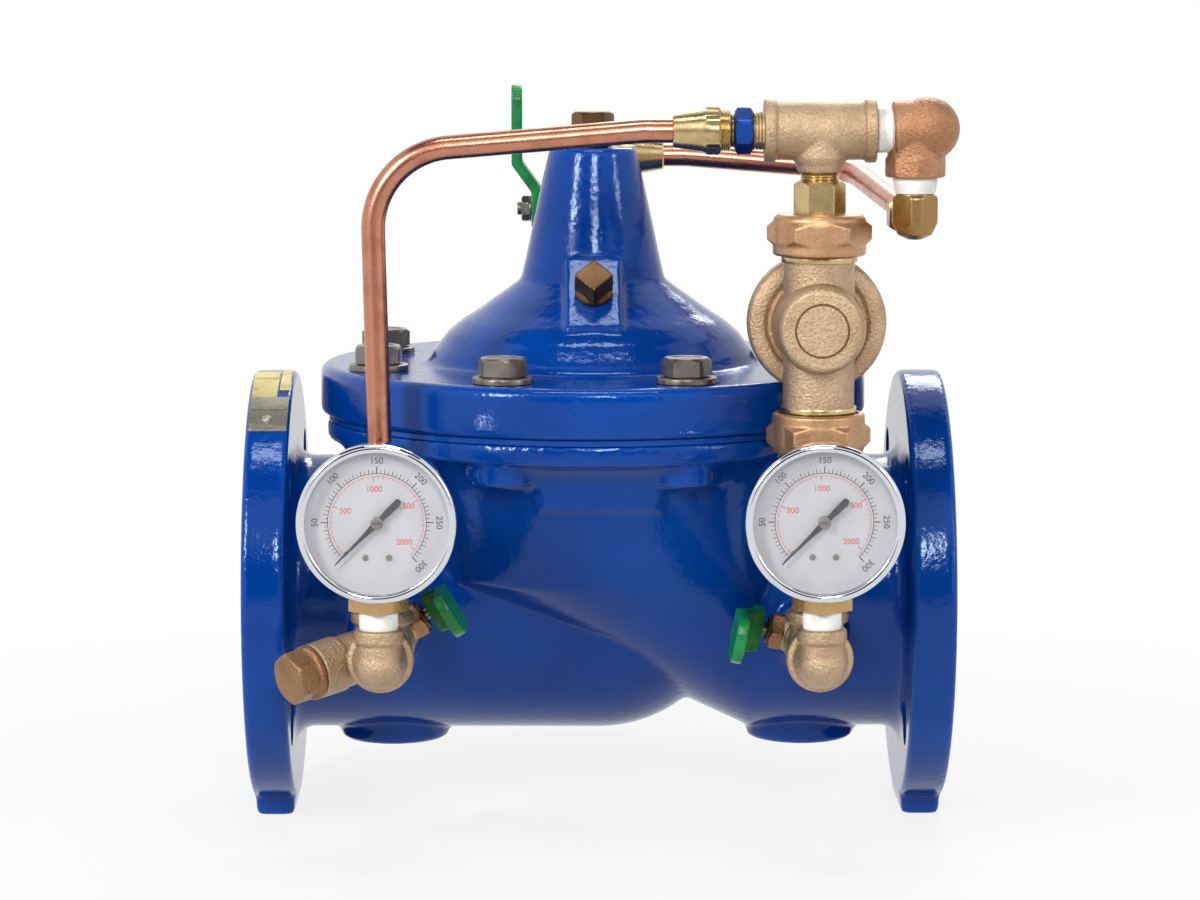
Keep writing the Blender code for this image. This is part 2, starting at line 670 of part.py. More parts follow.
def make_outlet_room():
    """Make the outlet waterway: the bowl round and above the bridge wall, and the outlet bore."""
    room = hull_of_rings("outlet_room", bowl_rings(BODY_WALL))
    shelf = make_inlet_shell()
    shelf.name = "bridge_wall"
    reach = BRIDGE_REACH + NOSE_RADIUS + OVERSHOOT
    centre = (SEAT_X + reach / 2 - BRIDGE_REACH, 0, BRIDGE_TOP_Z + BORE_RADIUS)
    top = block("bridge_top", (reach, 4 * BORE_RADIUS, 2 * BORE_RADIUS), centre)
    cut(shelf, top)
    cut(room, shelf)
    bore = rod("outlet_bore", BORE_RADIUS, (OUTLET_SHOULDER_X - BODY_WALL - OVERSHOOT, 0, 0),
               (FLANGE_FACE_X + OVERSHOOT, 0, 0), FINE)
    return room, bore


def make_main_body(material):
    """Build the globe body: two flanges, inlet nose, bowl, bridge wall, bosses and feet."""
    body = hull_of_rings("main_body", bowl_rings(0))
    CUTTERS.objects.unlink(body)
    PARTS.objects.link(body)
    body.hide_render = False
    body.display_type = "TEXTURED"
    join(body, make_inlet_shell(), make_outlet_shell(), make_body_top())
    bolts = circle_places(COVER_BOLTS, COVER_BOLT_CIRCLE, (SEAT_X, 0, 0))
    join(body, pattern("bolt_bosses", BOLT_BOSS_RADIUS, BOLT_BOSS_Z + OVERSHOOT,
                       BODY_TOP_Z - BODY_TOP_THICKNESS / 2, bolts))
    for side in (-1, 1):
        join(body, rod(f"support_boss_{side}", SUPPORT_BOSS_RADIUS,
                       (side * SUPPORT_BOSS_X, 0, SUPPORT_BOSS_Z),
                       (side * SUPPORT_BOSS_X, 0, -BORE_RADIUS - BODY_WALL), MEDIUM, edge=FLANGE_EDGE))
        join(body, rod(f"tap_boss_{side}", TAP_BOSS_RADIUS, (side * TAP_X, -BORE_RADIUS - BODY_WALL, TAP_Z),
                       (side * TAP_X, TAP_BOSS_Y, TAP_Z), MEDIUM))
        foot_x = side * (FLANGE_FACE_X - FLANGE_THICKNESS / 2)
        join(body, block(f"foot_{side}", (FLANGE_THICKNESS - FLANGE_EDGE, FOOT_WIDTH, FOOT_DEPTH),
                         (foot_x, 0, FOOT_DEPTH / 2 - AXIS_HEIGHT)))
    cut(body, make_inlet_room(), *make_outlet_room())
    cut(body, rod("seat_hole", SEAT_HOLE_RADIUS, (SEAT_X, 0, BRIDGE_TOP_Z - 2 * BRIDGE_WALL),
                  (SEAT_X, 0, BRIDGE_TOP_Z + OVERSHOOT), FINE))
    depth = BODY_TOP_Z - BOLT_BOSS_Z - BODY_TOP_THICKNESS / 2
    cut(body, pattern("body_bolt_holes", COVER_BOLT_RADIUS + GAP, BODY_TOP_Z - depth,
                      BODY_TOP_Z + OVERSHOOT, bolts, steps=SHANK_SIDES))
    for side in (-1, 1):
        holes = circle_places(FLANGE_BOLTS, FLANGE_BOLT_CIRCLE, (side * FLANGE_FACE_X, 0, 0), X_AXIS)
        low, high = sorted((-side * (FLANGE_THICKNESS + OVERSHOOT), side * OVERSHOOT))
        cut(body, pattern(f"flange_holes_{side}", FLANGE_BOLT_HOLE, low, high, holes, X_AXIS))
        cut(body, rod(f"body_tap_{side}", THREAD_RADIUS + GAP,
                      (side * TAP_X, -BORE_RADIUS + OVERSHOOT, TAP_Z),
                      (side * TAP_X, TAP_BOSS_Y - OVERSHOOT, TAP_Z)))
    return dress(body, material)


def make_seat_ring(material):
    """Turn the seat ring and join the spider that guides the foot of the stem."""
    bottom = BRIDGE_TOP_Z - SEAT_DEPTH
    shoulder = BRIDGE_TOP_Z + GAP
    flange_top = SEAT_LIP_Z - 0.0013
    profile = [
        (SEAT_BORE_RADIUS + 0.003, SEAT_LIP_Z),
        (SEAT_BORE_RADIUS + 0.0042, flange_top),
        (SEAT_FLANGE_RADIUS, flange_top),
        (SEAT_FLANGE_RADIUS, shoulder),
        (SEAT_HOLE_RADIUS - GAP, shoulder),
        (SEAT_HOLE_RADIUS - GAP, bottom),
        (SEAT_BORE_RADIUS, bottom),
        (SEAT_BORE_RADIUS, SEAT_LIP_Z - 0.001),
        (SEAT_BORE_RADIUS + 0.001, SEAT_LIP_Z),
    ]
    seat = turned("seat_ring", profile, (SEAT_X, 0, 0), steps=FINE, helper=False, closed=True)
    hub_top = BRIDGE_TOP_Z - 0.003
    spoke = 2 * (SEAT_BORE_RADIUS + 0.002)
    for index in range(2):
        direction = Matrix.Rotation(math.pi / 2 * index, 3, "Z") @ X_AXIS
        join(seat, block(f"seat_spoke_{index}", (spoke, 0.004, 0.007), (SEAT_X, 0, bottom + 0.0042),
                         Z_AXIS, direction))
    join(seat, rod("seat_hub", 0.0115, (SEAT_X, 0, bottom - 0.003), (SEAT_X, 0, hub_top)))
    cut(seat, rod("seat_hub_bore", STEM_RADIUS + STEM_CLEARANCE, (SEAT_X, 0, bottom - SEAT_DEPTH),
                  (SEAT_X, 0, hub_top + SEAT_DEPTH)))
    return dress(seat, material)


# Diaphragm assembly: everything that lifts with the stem

def make_disc_retainer(material):
    """Turn the spool that holds the rubber disc below and carries the diaphragm above."""
    groove_top = SEAT_LIP_Z + 2 * GAP + DISC_THICKNESS
    outer = DISC_RADIUS + GAP
    inner = DISC_INNER_RADIUS - GAP
    bore = STEM_RADIUS + GAP
    bottom = SEAT_LIP_Z + 3 * GAP
    top = RETAINER_TOP_Z
    profile = [
        (PLATE_RADIUS - 0.001, top),
        (PLATE_RADIUS, top - 0.001),
        (PLATE_RADIUS, top - 0.0035),
        (0.024, top - 0.009),
        (0.020, groove_top + 0.013),
        (0.022, groove_top + 0.010),
        (RETAINER_RADIUS, groove_top + 0.006),
        (RETAINER_RADIUS, groove_top - DISC_THICKNESS / 2),
        (outer, groove_top - DISC_THICKNESS / 2),
        (outer, groove_top),
        (inner, groove_top),
        (inner, bottom),
        (bore, bottom),
        (bore, top),
    ]
    retainer = turned("disc_retainer", profile, (SEAT_X, 0, 0), steps=MEDIUM, helper=False, closed=True)
    return dress(retainer, material)


def make_stem_parts(materials):
    """Make the stem, the rubber disc, the upper diaphragm plate and the stem nut."""
    disc_bottom = SEAT_LIP_Z + GAP
    rubber = ring("valve_disc", DISC_RADIUS, DISC_INNER_RADIUS, disc_bottom, disc_bottom + DISC_THICKNESS,
                  (SEAT_X, 0, 0), helper=False)
    dress(rubber, materials["rubber"])
    stem = disc("main_stem", STEM_RADIUS, STEM_BOTTOM_Z, STEM_TOP_Z, (SEAT_X, 0, 0), steps=COARSE,
                helper=False,
                edge=0.0008)
    dress(stem, materials["steel"])
    plate_bottom = RETAINER_TOP_Z + DIAPHRAGM_THICKNESS + 2 * GAP
    plate_top = plate_bottom + PLATE_THICKNESS
    bore = STEM_RADIUS + GAP
    plate = turned("diaphragm_washer", [
        (0.027, plate_top),
        (PLATE_RADIUS - 0.002, plate_bottom + 0.0035),
        (PLATE_RADIUS, plate_bottom + 0.0015),
        (PLATE_RADIUS, plate_bottom),
        (bore, plate_bottom),
        (bore, plate_top),
    ], (SEAT_X, 0, 0), helper=False, closed=True)
    dress(plate, materials["steel"])
    nut_bottom = plate_top + GAP
    nut = hexagon("stem_nut", STEM_NUT_AF, nut_bottom, nut_bottom + STEM_NUT_HEIGHT, (SEAT_X, 0, 0),
                  helper=False)
    cut(nut, rod("stem_nut_bore", bore, (SEAT_X, 0, nut_bottom - 0.01),
                 (SEAT_X, 0, nut_bottom + STEM_NUT_HEIGHT + 0.01)))
    dress(nut, materials["steel"])
    return plate_top


def make_main_diaphragm(material):
    """Turn the diaphragm, clamped at its rim, with one roll down to the plates on the stem."""
    low = BODY_TOP_Z + GAP
    rise = low - (RETAINER_TOP_Z + GAP)
    roll = []
    for step in range(6):
        share = step / 5
        radius = BOWL_INNER_RADIUS - 0.001 + (PLATE_RADIUS + 0.002 - BOWL_INNER_RADIUS) * share
        roll.append((radius, low - rise * (0.5 - 0.5 * math.cos(math.pi * share))))
    inner = STEM_RADIUS + GAP
    upper = [(radius, height + DIAPHRAGM_THICKNESS) for radius, height in roll]
    centre_z = RETAINER_TOP_Z + GAP
    profile = [(inner, centre_z + DIAPHRAGM_THICKNESS)] + upper[::-1]
    profile += [(DIAPHRAGM_RADIUS, low + DIAPHRAGM_THICKNESS), (DIAPHRAGM_RADIUS, low)]
    profile += roll + [(inner, centre_z)]
    rubber = turned("main_diaphragm", profile, (SEAT_X, 0, 0), steps=MEDIUM, helper=False, closed=True)
    bolts = circle_places(COVER_BOLTS, COVER_BOLT_CIRCLE, (SEAT_X, 0, 0))
    cut(rubber, pattern("diaphragm_holes", COVER_BOLT_RADIUS + GAP, low - 0.01, low + 0.01, bolts,
                        steps=SHANK_SIDES))
    return dress(rubber, material)


def make_main_spring(material, plate_top):
    """Coil the spring that closes the valve, between the diaphragm washer and the cover."""
    start = plate_top + MAIN_SPRING_WIRE + GAP
    end = SPRING_ROOM_Z - MAIN_SPRING_WIRE - GAP
    points = coil_points((SEAT_X, 0, 0), Z_AXIS, MAIN_SPRING_RADIUS, start, end, MAIN_SPRING_TURNS)
    return dress(tube("main_spring", points, MAIN_SPRING_WIRE, 0), material)


# Cover

def make_tap_pad(name, normal):
    """Make the square-shouldered pad on the cover's neck that takes a tapping."""
    face = Vector((SEAT_X, TAP_PAD_Y * (1 if normal.y > 0 else -1), TAP_PAD_Z))
    size = (TAP_PAD_WIDTH, TAP_PAD_LENGTH, TAP_PAD_DEPTH)
    return block(name, size, face - normal * TAP_PAD_DEPTH / 2, normal, X_AXIS, edge=0.0015)


def make_cover(material):
    """Build the cover: bolting flange, raised ring, cone and the tall neck that guides the stem."""
    edge = COVER_EDGE
    outer = [(0, NECK_TOP_Z), (NECK_TOP_RADIUS - 0.0012, NECK_TOP_Z)]
    outer += [(NECK_TOP_RADIUS, NECK_TOP_Z - 0.0012)]
    outer += [(NECK_FOOT_RADIUS, NECK_FOOT_Z), (NECK_FOOT_RADIUS + 0.0035, NECK_FOOT_Z - 0.0035)]
    outer += [(RING_RADIUS - 0.0075, RING_TOP_Z + 0.0028), (RING_RADIUS - 0.0048, RING_TOP_Z)]
    outer += arc((RING_RADIUS + 0.0045, COVER_TOP_Z + 0.005), 0.005, 190, 260, 3)
    outer += arc((COVER_RADIUS - edge, COVER_TOP_Z - edge), edge, 90, 0, 4)
    outer += [(COVER_RADIUS, COVER_BOTTOM_Z + 0.0015), (COVER_RADIUS - 0.0015, COVER_BOTTOM_Z)]
    outer += [(0, COVER_BOTTOM_Z)]
    cover = turned("cover", outer, (SEAT_X, 0, 0), steps=FINE, helper=False)
    join(cover, make_tap_pad("front_pad", TAP_NORMAL), make_tap_pad("rear_pad", REAR_NORMAL))
    guide = STEM_RADIUS + STEM_CLEARANCE
    guide_bottom = NECK_FOOT_Z + 0.010
    ceiling = COVER_TOP_Z - COVER_WALL
    room = [
        (0, NECK_TOP_Z - 0.014),
        (0.0095, NECK_TOP_Z - 0.014),
        (0.0095, STEM_TOP_Z - 0.002),
        (guide, STEM_TOP_Z - 0.004),
        (guide, guide_bottom),
        (0.0130, guide_bottom),
        (0.0130, SPRING_ROOM_Z),
        (SPRING_ROOM_RADIUS, SPRING_ROOM_Z),
        (SPRING_ROOM_RADIUS, RING_TOP_Z + 0.006),
        (PLATE_RADIUS + 0.003, ceiling + 0.008),
        (PLATE_RADIUS + 0.012, ceiling),
        (BOWL_INNER_RADIUS, COVER_BOTTOM_Z + 0.003),
        (BOWL_INNER_RADIUS, COVER_BOTTOM_Z - OVERSHOOT),
        (0, COVER_BOTTOM_Z - OVERSHOOT),
    ]
    cut(cover, turned("cover_room", room, (SEAT_X, 0, 0), steps=FINE))
    cut(cover, rod("top_plug_hole", THREAD_RADIUS + GAP, (SEAT_X, 0, NECK_TOP_Z - 0.015),
                   (SEAT_X, 0, NECK_TOP_Z + 0.01)))
    for name, normal in (("front_tap", TAP_NORMAL), ("rear_tap", REAR_NORMAL)):
        face = Vector((SEAT_X, TAP_PAD_Y * (1 if normal.y > 0 else -1), TAP_PAD_Z))
        cut(cover, rod(name, THREAD_RADIUS + GAP, face - normal * 0.028, face + normal * 0.01))
    bolts = circle_places(COVER_BOLTS, COVER_BOLT_CIRCLE, (SEAT_X, 0, 0))
    cut(cover, pattern("cover_holes", COVER_BOLT_RADIUS + GAP, COVER_BOTTOM_Z - 0.01, COVER_TOP_Z + 0.01,
                       bolts, steps=SHANK_SIDES))
    return dress(cover, material)


def make_cover_bolts(material):
    """Make the hexagon bolts of the cover, each with its plain washer under the head."""
    seat = COVER_TOP_Z + GAP
    head = seat + WASHER_THICKNESS
    for number, place in enumerate(circle_places(COVER_BOLTS, COVER_BOLT_CIRCLE, (SEAT_X, 0, 0)), 1):
        end = Vector((place.x, place.y, head - COVER_BOLT_GRIP))
        bolt = disc(f"cover_bolt_{number}", WASHER_RADIUS, seat, head, place, steps=12, helper=False)
        join(bolt, rod(f"bolt_shank_{number}", COVER_BOLT_RADIUS, end, (place.x, place.y, head - GAP),
                       SHANK_SIDES))
        turn = Matrix.Rotation(math.radians(17) * number, 3, "Z") @ X_AXIS
        join(bolt, hexagon(f"bolt_head_{number}", COVER_BOLT_HEAD_AF, head - GAP,
                           head + COVER_BOLT_HEAD_HEIGHT, place, side=turn))
        dress(bolt, material)


def make_plugs(material):
    """Make the hexagon plug on top of the neck and the square-headed plug in the front pad."""
    base = (SEAT_X, 0, NECK_TOP_Z)
    top = hexagon("top_plug", PLUG_HEX_AF, 0.0040, 0.0155, base, helper=False, edge=0.0012)
    shank = disc("top_plug_shank", THREAD_RADIUS, -0.006, 0.005, base, steps=COARSE)
    shoulder = disc("top_plug_shoulder", THREAD_RADIUS + 0.0020, GAP, 0.0045, base, steps=COARSE)
    dress(join(top, shank, shoulder), material)
    face = Vector((SEAT_X, -TAP_PAD_Y, TAP_PAD_Z))
    head = hexagon("cover_plug", PLUG_SQUARE_AF, 0.0008, 0.0128, face, TAP_NORMAL, X_AXIS, helper=False,
                   sides=4)
    root = disc("cover_plug_root", THREAD_RADIUS, -THREAD_REACH, 0.0006, face, TAP_NORMAL, COARSE)
    taper = [(0, 0.0030), (THREAD_RADIUS + 0.0002, 0.0030), (THREAD_RADIUS + 0.0012, GAP), (0, GAP)]
    collar = turned("cover_plug_collar", taper, face, TAP_NORMAL, COARSE)
    dress(join(head, root, collar), material)


# Isolating cocks

def make_cock(name, centre, flow, stem, length, male_reach, materials):
    """Make a ball cock: body, ball with its stem and nut, and the vinyl-dipped lever.

    The flow points from the end that screws into the neighbour to the other end, and the lever lies
    along the flow when the cock is open.
    """
    centre = Vector(centre)
    flow = Vector(flow).normalized()
    half = length / 2
    body = disc(f"{name}_body", COCK_RADIUS, -half + 0.009, half, centre, flow, MEDIUM, False, edge=0.001)
    join(body, hexagon(f"{name}_hex", COCK_HEX_AF, -half, -half + 0.0105, centre, flow, stem))
    join(body, rod(f"{name}_neck", COCK_BOSS_RADIUS, centre, centre + stem * COCK_BOSS_REACH))
    join(body, hexagon(f"{name}_gland", 2 * COCK_BOSS_RADIUS + 0.0012, COCK_RADIUS - 0.001,
                       COCK_BOSS_REACH - 0.003, centre, stem, flow))
    spigot_end = centre - flow * (half + male_reach)
    join(body, rod(f"{name}_male", THREAD_RADIUS, centre - flow * BALL_RADIUS, spigot_end))
    socket_end = centre + flow * half
    cut(body, rod(f"{name}_way", BALL_BORE, spigot_end - flow * OVERSHOOT, socket_end))
    cut(body, rod(f"{name}_socket", THREAD_RADIUS + GAP, socket_end - flow * SOCKET_DEPTH,
                  socket_end + flow * OVERSHOOT))
    cut(body, ball(f"{name}_seat", BALL_RADIUS + GAP, centre, along=stem))
    cut(body, rod(f"{name}_stem_hole", BALL_STEM_RADIUS + GAP, centre + stem * OVERSHOOT,
                  centre + stem * (COCK_BOSS_REACH + OVERSHOOT)))
    dress(body, materials["bronze"])

    closure = ball(f"{name}_ball", BALL_RADIUS, centre, False, along=stem)
    nut_bottom = LEVER_SEAT + LEVER_THICKNESS / 2 + GAP
    join(closure, rod(f"{name}_ball_stem", BALL_STEM_RADIUS, centre + stem * (BALL_RADIUS - 0.003),
                      centre + stem * (nut_bottom + 0.0062)))
    join(closure, hexagon(f"{name}_nut", LEVER_NUT_AF, nut_bottom, nut_bottom + 0.0042, centre, stem, flow,
                          edge=0.0005))
    cut(closure, rod(f"{name}_ball_bore", BALL_BORE, centre - flow * 0.02, centre + flow * 0.02))
    dress(closure, materials["steel"])

    lever = lever_blade(f"{name}_lever", centre, flow, stem)
    cut(lever, rod(f"{name}_lever_hole", BALL_STEM_RADIUS + GAP, centre + stem * (LEVER_SEAT - 0.01),
                   centre + stem * (LEVER_SEAT + 0.01)))
    dress(lever, materials["vinyl"])


def lever_blade(name, centre, flow, stem):
    """Make the cranked blade of a lever as a strip with Solidify and Bevel."""
    matrix = axes_matrix(centre + stem * LEVER_SEAT, stem, flow)
    slope = 0.4 * math.pi / 2
    start = 0.0090
    run = LEVER_OFFSET / math.tan(slope)
    stations = [
        (-0.0085, 0.0, 0.30),
        (-0.0065, 0.0, 0.45),
        (start, 0.0, 0.50),
        (start + run, LEVER_OFFSET, 0.50),
        (LEVER_LENGTH - 0.006, LEVER_OFFSET, 0.50),
        (LEVER_LENGTH - 0.0015, LEVER_OFFSET, 0.40),
        (LEVER_LENGTH, LEVER_OFFSET, 0.20),
    ]
    bm = bmesh.new()
    rows = []
    for along, rise, share in stations:
        rows.append([bm.verts.new((along, side * share * LEVER_WIDTH, rise)) for side in (-1, 1)])
    for row, after in zip(rows, rows[1:]):
        bm.faces.new((row[0], after[0], after[1], row[1]))
    obj = add_object(name, mesh_from(name, bm), matrix, False)
    shell = obj.modifiers.new("thickness", "SOLIDIFY")
    shell.thickness = LEVER_THICKNESS
    shell.offset = 0.0
    shell.use_even_offset = True
    rounding = obj.modifiers.new("rounding", "BEVEL")
    rounding.width = 0.0014
    rounding.segments = 1
    rounding.limit_method = "ANGLE"
    rounding.angle_limit = math.radians(40)
    return obj


# Tees, elbows, strainer and gauges

def make_tee(name, centre, run, branch, half, rise, material, nipple=False, extra=(), banded=True):
    """Make a threaded tee: a run with a collar at each end, and one branch.

    The branch ends in a collar, or else it is a plain taper. The front end of the run and the branch
    are sockets. The back end is one too, or else it holds the close nipple that ties the tee to the
    piece behind it.
    """
    centre = Vector(centre)
    edge = 0.0007
    profile = []
    for side in (1, -1):
        end = [
            (TEE_COLLAR_RADIUS - edge, side * half),
            (TEE_COLLAR_RADIUS, side * (half - edge)),
            (TEE_COLLAR_RADIUS, side * (half - TEE_COLLAR_WIDTH)),
            (TEE_RADIUS, side * (half - TEE_COLLAR_WIDTH - edge)),
        ]
        profile += end if side > 0 else end[::-1]
    profile = [(0, half)] + profile + [(0, -half)]
    tee = turned(name, profile, centre, run, MEDIUM, False)
    if banded:
        join(tee, rod(f"{name}_branch", TEE_RADIUS - 0.0006, centre, centre + branch * (rise - 0.001),
                      MEDIUM))
        join(tee, rod(f"{name}_collar", TEE_COLLAR_RADIUS, centre + branch * (rise - TEE_COLLAR_WIDTH),
                      centre + branch * rise, MEDIUM, edge=edge))
    else:
        taper = [(0, rise), (THREAD_RADIUS + 0.0026, rise), (TEE_RADIUS - 0.0008, rise / 2)]
        taper += [(TEE_RADIUS - 0.0008, 0), (0, 0)]
        join(tee, turned(f"{name}_branch", taper, centre, branch))
    join(tee, *extra)
    back = half + OVERSHOOT
    if nipple:
        nipple_end = centre - run * (half + SOCKET_DEPTH - GAP)
        join(tee, rod(f"{name}_nipple", THREAD_RADIUS, centre - run * TEE_RADIUS, nipple_end))
        cut(tee, rod(f"{name}_way", BALL_BORE, centre, nipple_end - run * OVERSHOOT))
        back = OVERSHOOT
    cut(tee, rod(f"{name}_run_hole", THREAD_RADIUS + GAP, centre - run * back,
                 centre + run * (half + OVERSHOOT)))
    cut(tee, rod(f"{name}_branch_hole", THREAD_RADIUS + GAP, centre, centre + branch * (rise + OVERSHOOT)))
    return dress(tee, material)


def make_outlet_tee(material):
    """Make the tee on the outlet tapping line, its branch up to the pilot valve."""
    centre = (TAP_X, LOOP_Y, TAP_Z)
    make_tee("outlet_tee", centre, -Y_AXIS, Z_AXIS, TEE_HALF_LENGTH, TEE_RISE, material, nipple=True)


def make_inlet_strainer(materials):
    """Make the Y-strainer on the inlet line, its screen and its hexagon cap."""
    centre = Vector((-TAP_X, LOOP_Y, TAP_Z))
    name = "inlet_strainer"
    root = centre + Y_AXIS * STRAINER_ROOT
    way = STRAINER_DIRECTION
    end = root + way * STRAINER_LENGTH
    barrel = rod(f"{name}_barrel", STRAINER_RADIUS, root + way * TEE_RADIUS / 2, end, MEDIUM, edge=0.0006)
    body = make_tee(name, centre, -Y_AXIS, Z_AXIS, TEE_HALF_LENGTH, TEE_RISE, materials["bronze"], True,
                    [barrel])
    cut(body, rod(f"{name}_basket_room", BASKET_RADIUS, root, end + way * OVERSHOOT, MEDIUM))

    face = end + way * GAP
    cap = hexagon("strainer_cap", STRAINER_CAP_AF, 0.0020, STRAINER_CAP_LENGTH, face, way, Z_AXIS, False,
                  edge=0.0014)
    join(cap, disc("strainer_cap_rim", STRAINER_RADIUS, 0, 0.0030, face, way, MEDIUM))
    join(cap, disc("strainer_cap_thread", BASKET_RADIUS - GAP, -0.0060, 0.0010, face, way, MEDIUM))
    dress(cap, materials["bronze"])

    screen = ring("strainer_screen", SCREEN_RADIUS, SCREEN_RADIUS - 0.0008, STRAINER_LENGTH / 2 - 0.0030,
                  STRAINER_LENGTH - 0.0063, root, way, COARSE, False)
    dress(screen, materials["steel"])


def make_gauge_elbow(name, x, material):
    """Make the reducing elbow that turns a tapping line up to its gauge."""
    back = TEE_FRONT_Y - GAP
    centre = Vector((x, GAUGE_STEM_Y, TAP_Z))
    elbow = rod(name, ELBOW_TUBE_RADIUS, centre, (x, GAUGE_STEM_Y, ELBOW_TOP_Z - 0.001), MEDIUM,
                helper=False)
    join(elbow, ball(f"{name}_heel", ELBOW_TUBE_RADIUS + 0.0009, centre, segments=12))
    join(elbow, rod(f"{name}_port", ELBOW_PORT_RADIUS, (x, GAUGE_STEM_Y, ELBOW_TOP_Z - 0.0052),
                    (x, GAUGE_STEM_Y, ELBOW_TOP_Z), MEDIUM, edge=0.0006))
    run = back - GAUGE_STEM_Y
    edge = 0.0012
    join(elbow, stepped(
        f"{name}_run", centre, Y_AXIS, (ELBOW_TUBE_RADIUS + 0.0016, run - ELBOW_COLLAR_WIDTH),
        (ELBOW_COLLAR_RADIUS - edge, run - ELBOW_COLLAR_WIDTH + edge), (ELBOW_COLLAR_RADIUS, run - edge),
        (ELBOW_COLLAR_RADIUS - edge, run), steps=MEDIUM,
    ))
    join(elbow, rod(f"{name}_male", THREAD_RADIUS, (x, back - 0.001, TAP_Z),
                    (x, back + ELBOW_SPIGOT, TAP_Z)))
    cut(elbow, rod(f"{name}_way", BALL_BORE, centre, (x, back + ELBOW_SPIGOT + OVERSHOOT, TAP_Z)))
    cut(elbow, rod(f"{name}_top_way", THREAD_RADIUS + GAP, (x, GAUGE_STEM_Y, TAP_Z + 0.001),
                   (x, GAUGE_STEM_Y, ELBOW_TOP_Z + OVERSHOOT)))
    return dress(elbow, material)


def make_gauge(name, x, materials):
    """Make a pressure gauge: cup-shaped case with its bezel, socket and thread, and the pointer."""
    centre = Vector((x, 0, GAUGE_Z))
    front = -GAUGE_FRONT_Y
    back = -GAUGE_BACK_Y
    dial = -DIAL_Y
    lip = GAUGE_RADIUS - 0.0032
    inner = GAUGE_CASE_RADIUS - GAUGE_WALL
    profile = [
        (GAUGE_RADIUS - 0.0022, front),
        (GAUGE_RADIUS - 0.0006, front - 0.0010),
        (GAUGE_RADIUS, front - 0.0030),
        (GAUGE_RADIUS, front - GAUGE_BEZEL_DEPTH),
        (GAUGE_CASE_RADIUS, front - GAUGE_BEZEL_DEPTH),
        (GAUGE_CASE_RADIUS, back + 0.003),
        (GAUGE_CASE_RADIUS - 0.003, back),
        (0, back),
    ]
    inside = [(0, dial), (inner, dial), (inner, front - 0.0012), (lip, front - 0.0008)]
    case = turned(f"{name}_case", inside + profile, centre, -Y_AXIS, FINE, False)
    socket_top = GAUGE_Z - GAUGE_CASE_RADIUS + 0.004
    join(case, rod(f"{name}_socket", GAUGE_SOCKET_RADIUS, (x, GAUGE_STEM_Y, GAUGE_THREAD_TOP_Z),
                   (x, GAUGE_STEM_Y, socket_top)))
    join(case, rod(f"{name}_thread", THREAD_RADIUS, (x, GAUGE_STEM_Y, ELBOW_TOP_Z - 0.006),
                   (x, GAUGE_STEM_Y, GAUGE_THREAD_TOP_Z)))
    dress(case, materials["chrome"])

    pointer_y = dial + 0.0022
    tip = Matrix.Rotation(POINTER_ZERO, 3, "Y") @ Z_AXIS
    hub = disc(f"{name}_pointer", 0.0026, dial + 0.0004, pointer_y + 0.0014, centre, -Y_AXIS, COARSE, False)
    middle = centre - Y_AXIS * pointer_y
    reach = (POINTER_TIP - POINTER_TAIL) / 2
    length = POINTER_TIP + POINTER_TAIL
    blade = block(f"{name}_blade", (length, 0.0016, 0.0008), middle + tip * reach, -Y_AXIS, tip)
    tail = block(f"{name}_tail", (POINTER_TAIL, 0.0030, 0.0008), middle - tip * POINTER_TAIL / 2, -Y_AXIS,
                 tip)
    dress(join(hub, blade, tail), materials["pointer"])


# Front copper line

def front_path():
    """Return the corners of the copper line from the inlet strainer to the pilot tee."""
    start = (-TAP_X, LOOP_Y, LOWER_FITTING_TOP_Z - 0.012)
    knee = (-TAP_X, LOOP_Y, LOWER_FITTING_TOP_Z + 0.006)
    corner = (-TAP_X - TUBE_LEAN, LOOP_Y, LOOP_Z - TUBE_SAG)
    crest = (NUT_X - 0.012, LOOP_Y, LOOP_Z)
    return start, knee, corner, crest, (NUT_X + 0.017, LOOP_Y, LOOP_Z)


